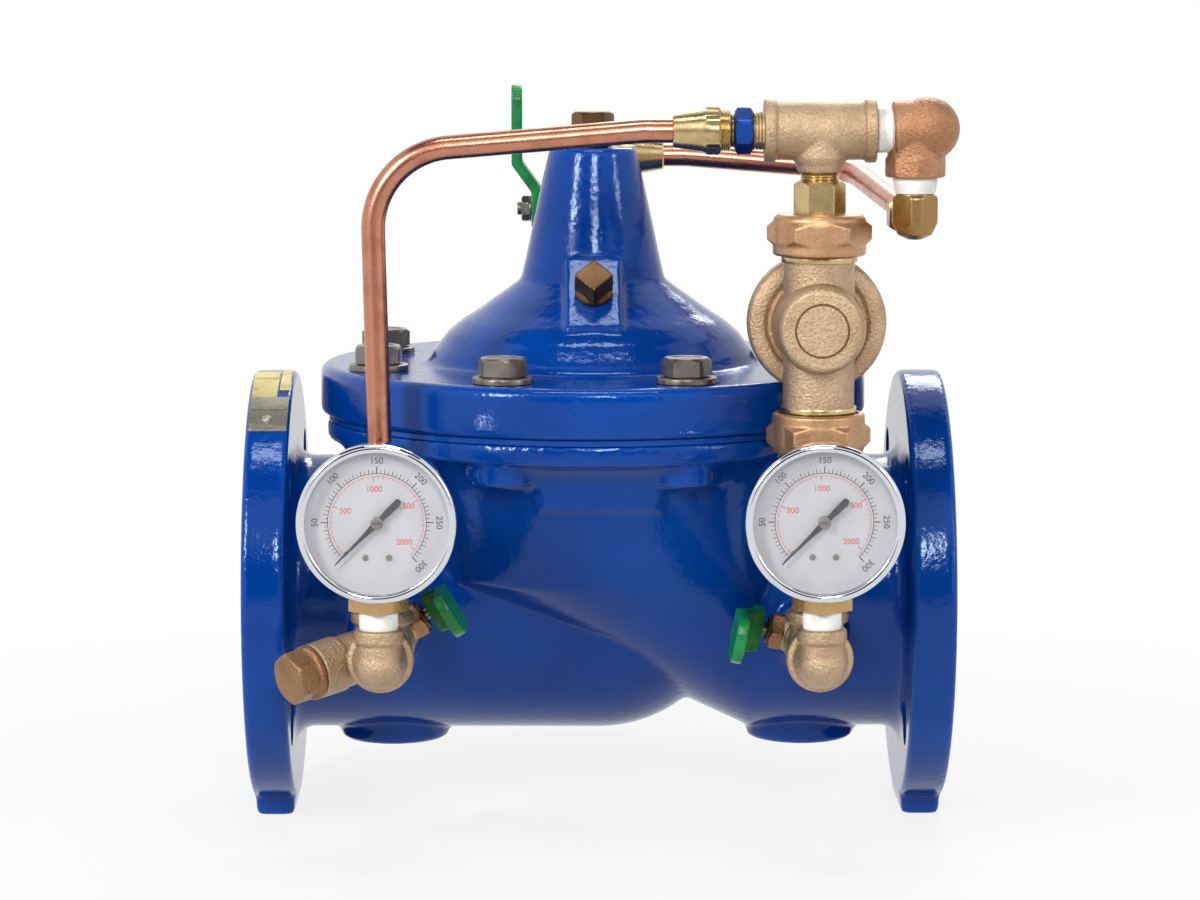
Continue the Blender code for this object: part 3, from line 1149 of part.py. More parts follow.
def make_front_line(materials):
    """Make the lower fitting, the bent copper tube and its upper nut, and the restriction fitting."""
    low = TEE_TOP_Z + GAP
    at = (-TAP_X, LOOP_Y, 0)
    fitting = hexagon("lower_tube_fitting", 0.0165, low, low + 0.0075, at, helper=False)
    join(fitting, disc("lower_fitting_body", TUBE_RADIUS + 0.0022, low + 0.006, low + 0.015, at,
                       steps=COARSE))
    join(fitting, hexagon("lower_fitting_nut", NUT_HEX_AF, low + 0.0140, low + 0.0225, at))
    top = LOWER_FITTING_TOP_Z
    cone = [(0, top), (TUBE_RADIUS + 0.0016, top), (NUT_CONE_RADIUS - 0.001, low + 0.022), (0, low + 0.022)]
    join(fitting, turned("lower_fitting_cone", cone, at, steps=COARSE))
    join(fitting, disc("lower_fitting_male", THREAD_RADIUS, low - THREAD_REACH + GAP, low + 0.001, at,
                       steps=COARSE))
    cut(fitting, disc("lower_fitting_socket", TUBE_RADIUS + GAP, top - 0.0125, top + OVERSHOOT, at,
                      steps=COARSE))
    cut(fitting, disc("lower_fitting_way", WATERWAY_RADIUS - 0.0015, low - 0.02, top, at, steps=12))
    dress(fitting, materials["brass"])

    points = rounded_path(front_path(), TUBE_BEND)
    dress(tube("front_tube", thin_run(points), TUBE_RADIUS), materials["copper"])

    nut = turned("upper_tube_nut", [
        (TUBE_RADIUS + 0.0012, 0),
        (TUBE_RADIUS + GAP, 0),
        (TUBE_RADIUS + GAP, -0.0190),
        (TUBE_RADIUS + 0.0023, -0.0190),
        (TUBE_RADIUS + 0.0023, -0.0240),
        (TUBE_RADIUS + 0.0038, -0.0240),
        (TUBE_RADIUS + 0.0038, -0.0195),
        (NUT_CONE_RADIUS - 0.0006, -0.0195),
        (NUT_CONE_RADIUS - 0.0006, -0.0125),
        (TUBE_RADIUS + 0.0022, -0.0015),
    ][::-1], (NUT_X, LOOP_Y, LOOP_Z), -X_AXIS, MEDIUM, False, True)
    hexed = hexagon("upper_nut_hex", NUT_HEX_AF, -0.0203, -0.0130, (NUT_X, LOOP_Y, LOOP_Z), -X_AXIS, Z_AXIS)
    cut(hexed, rod("upper_nut_hex_hole", TUBE_RADIUS + 0.0026, (NUT_X, LOOP_Y, LOOP_Z),
                   (RESTRICTION_X, LOOP_Y, LOOP_Z), MEDIUM))
    dress(join(nut, hexed), materials["brass"])

    x = RESTRICTION_X
    at = (0, LOOP_Y, LOOP_Z)
    fitting = hexagon("restriction_fitting", RESTRICTION_AF, x, x + RESTRICTION_WIDTH, at, X_AXIS, Z_AXIS,
                      helper=False, edge=0.0006)
    tee_face = TAP_X - PILOT_TEE_HALF
    neck = disc("restriction_neck", 0.0081, x + 0.002, tee_face - GAP, at, X_AXIS, COARSE)
    male = disc("restriction_male", THREAD_RADIUS, tee_face - 0.002, tee_face + THREAD_REACH - GAP, at,
                X_AXIS, COARSE)
    spigot = disc("restriction_spigot", TUBE_RADIUS + 0.0020, NUT_X + 0.0200, x + 0.001, at, X_AXIS, COARSE)
    join(fitting, neck, male, spigot)
    cut(fitting, disc("restriction_way", WATERWAY_RADIUS - 0.0015, NUT_X + 0.01, tee_face + 0.02, at,
                      X_AXIS))
    dress(fitting, materials["blue"])


def thin_run(points):
    """Return the points with those closer than half a millimetre to the last one left out."""
    kept = [points[0]]
    for point in points[1:]:
        if (point - kept[-1]).length > 0.0005:
            kept.append(point)
    return kept


def make_pilot_tee(material):
    """Make the tee over the pilot valve, where both copper lines meet its inlet."""
    centre = (TAP_X, LOOP_Y, LOOP_Z)
    make_tee("pilot_tee", centre, X_AXIS, -Z_AXIS, PILOT_TEE_HALF, PILOT_TEE_DROP, material, banded=False)


# Return line

def make_street_elbow(material):
    """Make the street elbow that turns down from the pilot tee, with its eight-sided skirt."""
    face = TAP_X + PILOT_TEE_HALF
    centre = Vector((STREET_X, LOOP_Y, LOOP_Z + 0.0008))
    elbow = ball("street_elbow", STREET_RADIUS, centre, False, MEDIUM)
    join(elbow, rod("street_run", STREET_RADIUS - 0.0012, (face + 0.0072, LOOP_Y, LOOP_Z), centre, MEDIUM,
                    edge=0.0008))
    join(elbow, rod("street_neck", 0.0089, (face + GAP, LOOP_Y, LOOP_Z), (face + 0.008, LOOP_Y, LOOP_Z)))
    join(elbow, rod("street_male", THREAD_RADIUS, (face - THREAD_REACH, LOOP_Y, LOOP_Z),
                    (face + 0.001, LOOP_Y, LOOP_Z)))
    down = (STREET_DROP_X, LOOP_Y, 0)
    join(elbow, disc("street_drop", 0.0115, STREET_SKIRT_Z + 0.001, LOOP_Z, down, steps=MEDIUM))
    join(elbow, hexagon("street_skirt", STREET_SKIRT_AF, STREET_SKIRT_Z, STREET_SKIRT_TOP_Z, down, sides=8))
    cut(elbow, rod("street_way", WATERWAY_RADIUS, (face - 0.02, LOOP_Y, LOOP_Z),
                   (STREET_X - 0.003, LOOP_Y, LOOP_Z)))
    cut(elbow, disc("street_down_way", THREAD_RADIUS + GAP, STREET_SKIRT_Z - 0.01, LOOP_Z, down,
                    steps=COARSE))
    return dress(elbow, material)


def tube_elbow_place():
    """Return the centre of the brass elbow under the street elbow, and the way its tube leaves it."""
    centre = Vector((STREET_DROP_X, LOOP_Y, TUBE_ELBOW_Z))
    corner = Vector((TAP_X + PILOT_TEE_HALF, REAR_Y, REAR_Z - 0.006))
    return centre, (corner - centre).normalized(), corner


def make_tube_elbow(material):
    """Make the forged compression elbow that takes the rear copper tube."""
    centre, way, _ = tube_elbow_place()
    elbow = hexagon("tube_elbow", TUBE_ELBOW_AF, -0.0085, 0.0080, centre, way, helper=False, edge=0.0015)
    neck = STREET_THREAD_Z - TUBE_ELBOW_Z
    thread = STREET_SKIRT_Z + 0.008 - TUBE_ELBOW_Z
    join(elbow, stepped("tube_elbow_neck", centre, Z_AXIS, (0.0082, neck), (THREAD_RADIUS, thread)))
    join(elbow, hexagon("tube_elbow_nut", NUT_HEX_AF - 0.001, 0.0100, 0.0180, centre, way, Z_AXIS))
    join(elbow, rod("tube_elbow_collar", TUBE_RADIUS + 0.0026, centre, centre + way * 0.0110))
    end = TUBE_ELBOW_END
    cone = [(0, end), (TUBE_RADIUS + 0.0013, end), (TUBE_RADIUS + 0.0030, 0.0175), (0, 0.0175)]
    join(elbow, turned("tube_elbow_cone", cone, centre, way))
    mouth = centre + way * (end + OVERSHOOT)
    cut(elbow, rod("tube_elbow_socket", TUBE_RADIUS + GAP, centre + way * TUBE_ELBOW_SOCKET, mouth))
    cut(elbow, rod("tube_elbow_way", WATERWAY_RADIUS - 0.0015, centre, mouth))
    cut(elbow, rod("tube_elbow_up_way", WATERWAY_RADIUS - 0.0018, centre - Z_AXIS * 0.001,
                   centre + Z_AXIS * (thread + OVERSHOOT)))
    return dress(elbow, material)


def make_rear_tube(material):
    """Bend the copper tube from the brass elbow round the back to the cover's cock."""
    centre, way, corner = tube_elbow_place()
    start = centre + way * (TUBE_ELBOW_SOCKET + GAP)
    crest = Vector((SEAT_X + REAR_NUT_END + 0.010, REAR_Y, REAR_Z))
    end = Vector((SEAT_X + REAR_SOCKET + 0.0005, REAR_Y, REAR_Z))
    points = rounded_path((start, corner, crest, end), TUBE_BEND * 0.8)
    return dress(tube("rear_tube", thin_run(points), TUBE_RADIUS), material)


def make_rear_fitting(material):
    """Make the compression elbow on top of the cover's cock, with its coned nut towards +X."""
    centre = Vector((SEAT_X, REAR_Y, REAR_Z))
    elbow = ball("rear_tube_fitting", 0.0088, centre, False)
    join(elbow, rod("rear_fitting_run", TUBE_RADIUS + 0.0028, centre, centre + X_AXIS * 0.0125, COARSE))
    join(elbow, hexagon("rear_fitting_nut", NUT_HEX_AF, 0.0115, REAR_NUT_START + 0.0012, centre, X_AXIS,
                        Z_AXIS))
    cone = [(0, REAR_NUT_END), (TUBE_RADIUS + 0.0014, REAR_NUT_END)]
    cone += [(TUBE_RADIUS + 0.0036, REAR_NUT_START), (0, REAR_NUT_START)]
    join(elbow, turned("rear_fitting_cone", cone, centre, X_AXIS))
    foot = REAR_COCK_Z + REAR_COCK_HALF + GAP
    drop = REAR_Z - foot
    join(elbow, stepped("rear_fitting_drop", centre, -Z_AXIS, (TUBE_RADIUS + 0.0028, drop),
                        (THREAD_RADIUS, drop + SOCKET_DEPTH)))
    mouth = centre + X_AXIS * (REAR_NUT_END + OVERSHOOT)
    cut(elbow, rod("rear_fitting_socket", TUBE_RADIUS + GAP, centre + X_AXIS * REAR_SOCKET, mouth))
    cut(elbow, rod("rear_fitting_way", WATERWAY_RADIUS - 0.0015, centre, mouth))
    cut(elbow, rod("rear_fitting_down_way", WATERWAY_RADIUS - 0.0018, centre + Z_AXIS * 0.001,
                   (SEAT_X, REAR_Y, foot - 2 * SOCKET_DEPTH)))
    return dress(elbow, material)


def make_cover_elbow(material):
    """Make the angled nipple that rises from the cover's rear pad to the upright cock."""
    face = Vector((SEAT_X, TAP_PAD_Y, TAP_PAD_Z))
    foot = REAR_COCK_Z - REAR_COCK_HALF - GAP
    reach = (REAR_Y - face.y) / REAR_NORMAL.y
    knee = face + REAR_NORMAL * reach
    elbow = ball("cover_elbow", THREAD_RADIUS + 0.0022, knee, False)
    join(elbow, rod("cover_elbow_leg", THREAD_RADIUS + 0.0020, knee, face + REAR_NORMAL * GAP))
    join(elbow, rod("cover_elbow_male", THREAD_RADIUS, knee, face - REAR_NORMAL * THREAD_REACH))
    join(elbow, rod("cover_elbow_top", THREAD_RADIUS + 0.0020, knee, (SEAT_X, REAR_Y, foot)))
    cut(elbow, rod("cover_elbow_way", WATERWAY_RADIUS - 0.0015, knee,
                   face - REAR_NORMAL * (THREAD_REACH + OVERSHOOT)))
    cut(elbow, rod("cover_elbow_up_way", THREAD_RADIUS + GAP, knee + Z_AXIS * 0.001,
                   (SEAT_X, REAR_Y, foot + OVERSHOOT)))
    return dress(elbow, material)


# Pilot valve

def make_union(name, bottom, lip_up, material):
    """Make a union nut: a hexagon with a collar, bored out, with a lip that draws the tailpiece in."""
    up = Z_AXIS if lip_up else -Z_AXIS
    at = Vector((TAP_X, LOOP_Y, bottom + (0 if lip_up else UNION_HEIGHT)))
    flat = X_AXIS
    nut = hexagon(name, UNION_AF, 0.0042, UNION_HEIGHT - 0.0024, at, up, flat, helper=False, edge=0.0018)
    join(nut, disc(f"{name}_skirt", UNION_AF / 2 - 0.0012, 0, 0.0052, at, up, MEDIUM, edge=0.0006))
    join(nut, disc(f"{name}_crown", UNION_AF / 2 - 0.0006, UNION_HEIGHT - 0.0042, UNION_HEIGHT, at, up,
                   MEDIUM, edge=0.0008))
    cut(nut, disc(f"{name}_room", UNION_BORE, -OVERSHOOT, UNION_HEIGHT - UNION_LIP, at, up, MEDIUM))
    cut(nut, disc(f"{name}_mouth", TAILPIECE_RADIUS + GAP, 0, UNION_HEIGHT + OVERSHOOT, at, up, MEDIUM))
    return dress(nut, material)


def make_union_tail(material):
    """Make the upper union tailpiece, from its flange in the nut up into the pilot tee."""
    at = (TAP_X, LOOP_Y, 0)
    lip = UPPER_UNION_Z + UNION_HEIGHT - UNION_LIP - GAP
    nut_top = UPPER_UNION_Z + UNION_HEIGHT
    tail = disc("upper_union_tail", UNION_BORE - GAP, lip - UNION_FLANGE, lip, at, steps=MEDIUM,
                helper=False)
    join(tail, disc("tail_stem", TAILPIECE_RADIUS, lip - 0.001, nut_top + GAP, at, steps=MEDIUM))
    join(tail, hexagon("tail_hex", TAILPIECE_AF, nut_top + 0.0001, TAILPIECE_TOP_Z, at))
    tee_face = LOOP_Z - PILOT_TEE_DROP
    join(tail, disc("tail_neck", 0.0081, TAILPIECE_TOP_Z - 0.001, tee_face - GAP, at, steps=COARSE))
    join(tail, disc("tail_male", THREAD_RADIUS, tee_face - 0.002, tee_face + THREAD_REACH, at,
                    steps=COARSE))
    cut(tail, disc("tail_way", WATERWAY_RADIUS, lip - 0.02, tee_face + 0.03, at, steps=COARSE))
    return dress(tail, material)


def make_outlet_riser(material):
    """Make the nipple that rises from the outlet tee to the flange in the lower union nut."""
    at = (TAP_X, LOOP_Y, 0)
    low = TEE_TOP_Z + GAP
    lip = LOWER_UNION_Z + UNION_LIP + GAP
    riser = disc("outlet_riser", TAILPIECE_RADIUS, low + 0.008, lip + 0.001, at, steps=MEDIUM, helper=False)
    join(riser, hexagon("riser_hex", TAILPIECE_AF, low, low + 0.012, at))
    join(riser, disc("riser_flange", UNION_BORE - GAP, lip, lip + UNION_FLANGE, at, steps=MEDIUM))
    join(riser, disc("riser_male", THREAD_RADIUS, low - THREAD_REACH, low + 0.001, at, steps=COARSE))
    cut(riser, disc("riser_way", WATERWAY_RADIUS, low - 0.02, lip + 0.02, at, steps=COARSE))
    return dress(riser, material)


def make_pilot_body(material):
    """Make the pilot body: upright tube, round nose to the front and the flange for its bonnet."""
    at = Vector((TAP_X, 0, PILOT_Z))
    nose = -PILOT_NOSE_Y
    back = -PILOT_FLANGE_Y
    front = back + PILOT_FLANGE_THICKNESS
    profile = [
        (0, nose),
        (0.0112, nose),
        (0.0118, nose - 0.0009),
        (PILOT_NOSE_RADIUS - 0.0035, nose - 0.0013),
        (PILOT_NOSE_RADIUS - 0.0010, nose - 0.0026),
        (PILOT_NOSE_RADIUS, nose - 0.0055),
        (PILOT_NOSE_RADIUS + 0.0005, front + 0.0050),
        (PILOT_NOSE_RADIUS + 0.0020, front + 0.0012),
        (PILOT_FLANGE_RADIUS - 0.0040, front),
        (PILOT_FLANGE_RADIUS - 0.0008, front - 0.0012),
        (PILOT_FLANGE_RADIUS, front - 0.0030),
        (PILOT_FLANGE_RADIUS, back),
        (0, back),
    ]
    body = turned("pilot_body", profile, at, -Y_AXIS, MEDIUM, False)
    column = Vector((TAP_X, LOOP_Y, 0))
    low = LOWER_UNION_Z + UNION_HEIGHT
    tail_face = UPPER_UNION_Z + UNION_HEIGHT - UNION_LIP - GAP - UNION_FLANGE - GAP
    riser_face = LOWER_UNION_Z + UNION_LIP + GAP + UNION_FLANGE + GAP
    end_radius = UNION_BORE - GAP
    join(body, turned("pilot_column", [
        (0, tail_face),
        (end_radius, tail_face),
        (end_radius, UPPER_UNION_Z + GAP),
        (PILOT_TUBE_RADIUS, UPPER_UNION_Z + GAP),
        (PILOT_TUBE_RADIUS, low - GAP),
        (end_radius, low - GAP),
        (end_radius, riser_face),
        (0, riser_face),
    ], column, steps=MEDIUM))
    centre = Vector((TAP_X, LOOP_Y, PILOT_Z))
    seat = Vector((TAP_X, PILOT_SEAT_Y, PILOT_Z))
    cut(body, rod("pilot_front_room", PILOT_ROOM_RADIUS, seat, (TAP_X, PILOT_NOSE_Y + 0.006, PILOT_Z)))
    cut(body, rod("pilot_back_room", PILOT_ROOM_RADIUS + 0.002,
                  (TAP_X, PILOT_FLANGE_Y + OVERSHOOT, PILOT_Z),
                  seat + Y_AXIS * 0.0030))
    cut(body, rod("pilot_seat", 0.0035, seat - Y_AXIS * OVERSHOOT, seat + Y_AXIS * 0.006))
    cut(body, rod("pilot_top_way", WATERWAY_RADIUS, (TAP_X, LOOP_Y, tail_face + OVERSHOOT),
                  centre + Z_AXIS * 0.022))
    cut(body, rod("pilot_slant_way", WATERWAY_RADIUS - 0.0008, centre + Z_AXIS * 0.026,
                  seat - Y_AXIS * 0.008 + Z_AXIS * 0.003))
    cut(body, rod("pilot_low_way", WATERWAY_RADIUS, (TAP_X, LOOP_Y, riser_face - OVERSHOOT),
                  centre - Z_AXIS * 0.004))
    return dress(body, material)


def make_pilot_bonnet(material):
    """Turn the spring bonnet behind the pilot's diaphragm."""
    base = PILOT_FLANGE_Y + 2 * GAP + PILOT_RUBBER
    top = BONNET_LENGTH
    profile = [
        (SCREW_RADIUS + 0.0046, top + 0.0050),
        (SCREW_RADIUS + 0.0056, top + 0.0040),
        (SCREW_RADIUS + 0.0061, top),
        (BONNET_TOP_RADIUS - 0.0015, top - 0.0008),
        (BONNET_TOP_RADIUS, top - 0.0030),
        (BONNET_FOOT_RADIUS - 0.0030, 0.0120),
        (BONNET_FOOT_RADIUS, 0.0065),
        (PILOT_FLANGE_RADIUS - 0.0015, 0.0055),
        (PILOT_FLANGE_RADIUS, 0.0040),
        (PILOT_FLANGE_RADIUS, 0),
        (0.0180, 0),
        (BONNET_ROOM_RADIUS, 0.0080),
        (BONNET_ROOM_RADIUS, top - 0.0045),
        (SCREW_RADIUS + GAP, top - 0.0045),
        (SCREW_RADIUS + GAP, top + 0.0050),
    ]
    bonnet = turned("pilot_bonnet", profile, (TAP_X, base, PILOT_Z), Y_AXIS, MEDIUM, False, True)
    return dress(bonnet, material)


def make_pilot_inside(materials):
    """Make the pilot's diaphragm, poppet, spring, spring button and adjusting screw."""
    plate = PILOT_FLANGE_Y + GAP
    rubber = disc("pilot_diaphragm", PILOT_FLANGE_RADIUS - 0.001, plate, plate + PILOT_RUBBER,
                  (TAP_X, 0, PILOT_Z), Y_AXIS, MEDIUM, False)
    dress(rubber, materials["rubber"])

    seat = PILOT_SEAT_Y
    poppet = turned("pilot_poppet", [
        (0, plate - GAP),
        (0.0085, plate - GAP),
        (0.0085, plate - 0.0020),
        (0.0016, plate - 0.0030),
        (0.0016, seat - GAP + 0.0012),
        (0.0030, seat - GAP),
        (0.0058, seat - GAP),
        (0.0058, seat - 0.0034),
        (0.0020, seat - 0.0050),
        (0, seat - 0.0050),
    ], (TAP_X, 0, PILOT_Z), Y_AXIS, COARSE, False)
    dress(poppet, materials["steel"])

    bonnet_end = plate + PILOT_RUBBER + GAP + BONNET_LENGTH
    button_y = bonnet_end - 0.0045 - 0.0030
    button = turned("spring_button", [
        (0, 0.0026),
        (0.0060, 0.0026),
        (BONNET_ROOM_RADIUS - 0.0006, 0.0016),
        (BONNET_ROOM_RADIUS - 0.0006, 0),
        (0, 0),
    ], (TAP_X, button_y, PILOT_Z), Y_AXIS, COARSE, False)
    dress(button, materials["steel"])

    start = plate + PILOT_RUBBER + GAP + PILOT_SPRING_WIRE
    points = coil_points((TAP_X, 0, PILOT_Z), Y_AXIS, PILOT_SPRING_RADIUS, start,
                         button_y - PILOT_SPRING_WIRE - GAP, PILOT_SPRING_TURNS)
    dress(tube("pilot_spring", points, PILOT_SPRING_WIRE, 0), materials["steel"])

    foot = button_y + 0.0026 + GAP
    start = Vector((TAP_X, foot, PILOT_Z))
    screw = rod("adjusting_screw", SCREW_RADIUS, start, start + Y_AXIS * SCREW_LENGTH, COARSE, False,
                0.0006)
    head = hexagon("adjusting_head", 2 * SCREW_RADIUS - 0.0016, SCREW_LENGTH - 0.001, SCREW_LENGTH + 0.0050,
                   start, Y_AXIS, sides=4, edge=0.0005)
    join(screw, head)
    dress(screw, materials["steel"])


def make_materials():
    """Return the finishes of the valve by name."""
    return {
        "blue": finish_material("blue_epoxy", BLUE_EPOXY, 0.22, 0.0),
        "bronze": finish_material("cast_bronze", BRONZE, 0.48, 1.0),
        "street": finish_material("street_bronze", STREET_BRONZE, 0.45, 1.0),
        "brass": finish_material("turned_brass", BRASS, 0.24, 1.0),
        "copper": finish_material("drawn_copper", COPPER, 0.28, 1.0),
        "steel": finish_material("plain_steel", STEEL, 0.32, 1.0),
        "zinc": finish_material("weathered_zinc", ZINC, 0.45, 1.0),
        "plug": finish_material("dark_bronze", DARK_BRONZE, 0.5, 1.0),
        "vinyl": finish_material("green_vinyl", GREEN_VINYL, 0.3, 0.0),
        "rubber": finish_material("black_rubber", RUBBER, 0.8, 0.0),
        "chrome": finish_material("bright_chrome", CHROME, 0.08, 1.0),
        "pointer": finish_material("pointer_black", POINTER_BLACK, 0.6, 0.0),
    }


def main():
    """Build every sub-part of the valve."""
    finish = make_materials()
    make_main_body(finish["blue"])
    make_seat_ring(finish["bronze"])
    make_disc_retainer(finish["steel"])
    plate_top = make_stem_parts(finish)
    make_main_diaphragm(finish["rubber"])
    make_main_spring(finish["steel"], plate_top)
    make_cover(finish["blue"])
    make_cover_bolts(finish["zinc"])
    make_plugs(finish["plug"])

    inlet_stem = Vector((math.cos(INLET_LEVER_TILT), 0, math.sin(INLET_LEVER_TILT)))
    outlet_stem = Vector((-math.cos(OUTLET_LEVER_TILT), 0, math.sin(OUTLET_LEVER_TILT)))
    make_cock("inlet_cock", (-TAP_X, COCK_Y, TAP_Z), -Y_AXIS, inlet_stem, COCK_LENGTH, THREAD_REACH, finish)
    make_cock("outlet_cock", (TAP_X, COCK_Y, TAP_Z), -Y_AXIS, outlet_stem, COCK_LENGTH, THREAD_REACH,
              finish)
    make_cock("cover_cock", (SEAT_X, REAR_Y, REAR_COCK_Z), Z_AXIS, -X_AXIS, 2 * REAR_COCK_HALF,
              SOCKET_DEPTH, finish)

    make_inlet_strainer(finish)
    make_outlet_tee(finish["bronze"])
    for side, x in (("inlet", -TAP_X), ("outlet", TAP_X)):
        make_gauge_elbow(f"{side}_gauge_elbow", x, finish["bronze"])
        make_gauge(f"{side}_gauge", x, finish)

    make_front_line(finish)
    make_pilot_tee(finish["bronze"])
    make_street_elbow(finish["street"])
    make_tube_elbow(finish["brass"])
    make_rear_tube(finish["copper"])
    make_rear_fitting(finish["brass"])
    make_cover_elbow(finish["bronze"])

    make_outlet_riser(finish["bronze"])
    make_union("lower_union_nut", LOWER_UNION_Z, False, finish["bronze"])
    make_union("upper_union_nut", UPPER_UNION_Z, True, finish["bronze"])
    make_union_tail(finish["brass"])
    make_pilot_body(finish["bronze"])
    make_pilot_bonnet(finish["bronze"])
    make_pilot_inside(finish)


main()
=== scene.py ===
"""A pilot-operated diaphragm control valve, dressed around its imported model.

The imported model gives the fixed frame. Each class below makes one sub-assembly's fine pieces in the
valve's own frame: its origin is on the pipe axis half-way between the flange faces, +X runs with the
flow, +Y to the back and +Z to the cover. Sizes are in metres.
"""

from __future__ import annotations

import json
import logging
import math
from collections.abc import Sequence
from dataclasses import dataclass, field
from enum import Enum

import bmesh
import bpy
from mathutils import Matrix, Vector

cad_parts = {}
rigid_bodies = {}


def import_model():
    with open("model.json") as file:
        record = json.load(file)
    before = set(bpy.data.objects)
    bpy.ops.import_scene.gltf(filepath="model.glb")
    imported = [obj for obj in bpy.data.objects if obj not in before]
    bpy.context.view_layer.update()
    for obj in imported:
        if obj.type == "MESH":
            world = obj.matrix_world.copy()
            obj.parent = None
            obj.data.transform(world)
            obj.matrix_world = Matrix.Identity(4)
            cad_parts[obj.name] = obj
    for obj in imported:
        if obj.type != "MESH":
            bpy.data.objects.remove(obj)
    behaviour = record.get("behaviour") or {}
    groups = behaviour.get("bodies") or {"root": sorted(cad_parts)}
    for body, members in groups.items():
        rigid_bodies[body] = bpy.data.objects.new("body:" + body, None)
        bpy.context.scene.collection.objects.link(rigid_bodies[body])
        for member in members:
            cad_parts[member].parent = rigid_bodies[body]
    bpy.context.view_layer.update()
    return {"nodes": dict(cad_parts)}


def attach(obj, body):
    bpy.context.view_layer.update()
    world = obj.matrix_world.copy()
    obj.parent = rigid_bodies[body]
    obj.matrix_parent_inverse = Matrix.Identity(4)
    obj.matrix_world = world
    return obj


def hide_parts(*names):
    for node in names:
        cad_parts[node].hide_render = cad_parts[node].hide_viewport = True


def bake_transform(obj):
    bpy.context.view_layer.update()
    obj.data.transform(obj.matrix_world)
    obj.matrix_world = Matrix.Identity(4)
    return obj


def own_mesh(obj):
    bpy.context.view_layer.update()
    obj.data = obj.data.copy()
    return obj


LOG = logging.getLogger("control_valve")

ORIGIN = Vector((0.0, 0.0198, 0.100))
X = Vector((1, 0, 0))
Y = Vector((0, 1, 0))
Z = Vector((0, 0, 1))
GAP = 0.0003
OVER = 0.002
RAYS = ("Camera", "Glossy", "Transmission")

# Sizes that the sub-assemblies share

SEAT_X = -0.002
BOLTS = 8
BOLT_CIRCLE = 0.101
BOLT_HOLE = 0.0064
THREAD = 0.0070
TAPPED = THREAD + GAP
WAY = 0.0050
NARROW_WAY = 0.0045
TAP_X = 0.0915
TAP_Z = -0.0120
TAP_BOSS_Y = -0.0655
LOOP_Y = -0.1085
LOOP_Z = 0.2065
COLUMN = Vector((TAP_X, LOOP_Y, 0))
TEE_HALF = 0.0170
TEE_RISE = 0.0170
TEE_TOP_Z = TAP_Z + TEE_RISE
PILOT_TEE_HALF = 0.0234
PILOT_TEE_RISE = 0.0172
GAUGE_STEM_Y = -0.1430
REAR_Y = 0.0530
REAR_Z = 0.1880
REAR_COCK_Z = 0.1639
REAR_COCK_HALF = 0.0126
COCK_LENGTH = 0.0255
FINE_VOXEL = 0.0005

Profile = list[tuple[float, float]]


def shown(name: str, data: bpy.types.ID) -> bpy.types.Object:
    """Return a new object of this data, linked to the scene."""
    made = bpy.data.objects.new(name, data)
    bpy.context.scene.collection.objects.link(made)
    return made


# Shader expressions

class Signal:
    """A shader socket whose arithmetic adds Math nodes."""

    def __init__(self, graph: "Graph", socket: bpy.types.NodeSocket) -> None:
        """Wrap an output socket of a graph."""
        self.graph = graph
        self.socket = socket

    def _math(self, operation: str, first: object, second: object = 0.0) -> "Signal":
        """Return the result of one Math node."""
        return self.graph.node("ShaderNodeMath", {"operation": operation}, {0: first, 1: second})

    def __add__(self, other: object) -> "Signal":
        """Add a number or a signal."""
        return self._math("ADD", self, other)

    def __radd__(self, other: object) -> "Signal":
        """Add to a number."""
        return self._math("ADD", other, self)

    def __sub__(self, other: object) -> "Signal":
        """Take away a number or a signal."""
        return self._math("SUBTRACT", self, other)

    def __rsub__(self, other: object) -> "Signal":
        """Take this signal away from a number."""
        return self._math("SUBTRACT", other, self)

    def __mul__(self, other: object) -> "Signal":
        """Scale by a number or a signal."""
        return self._math("MULTIPLY", self, other)

    def __rmul__(self, other: object) -> "Signal":
        """Scale a number by this signal."""
        return self._math("MULTIPLY", other, self)

    def above(self, low: float, high: float) -> "Signal":
        """Return 0 below one level and 1 above another, smooth between.

        Args:
            low: The level at which the result leaves 0.
            high: The level at which it reaches 1.

        Returns:
            The smooth step of this signal.
        """
        settings = {"interpolation_type": "SMOOTHSTEP"}
        return self.graph.node("ShaderNodeMapRange", settings,
                               {"Value": self, "From Min": low, "From Max": high})


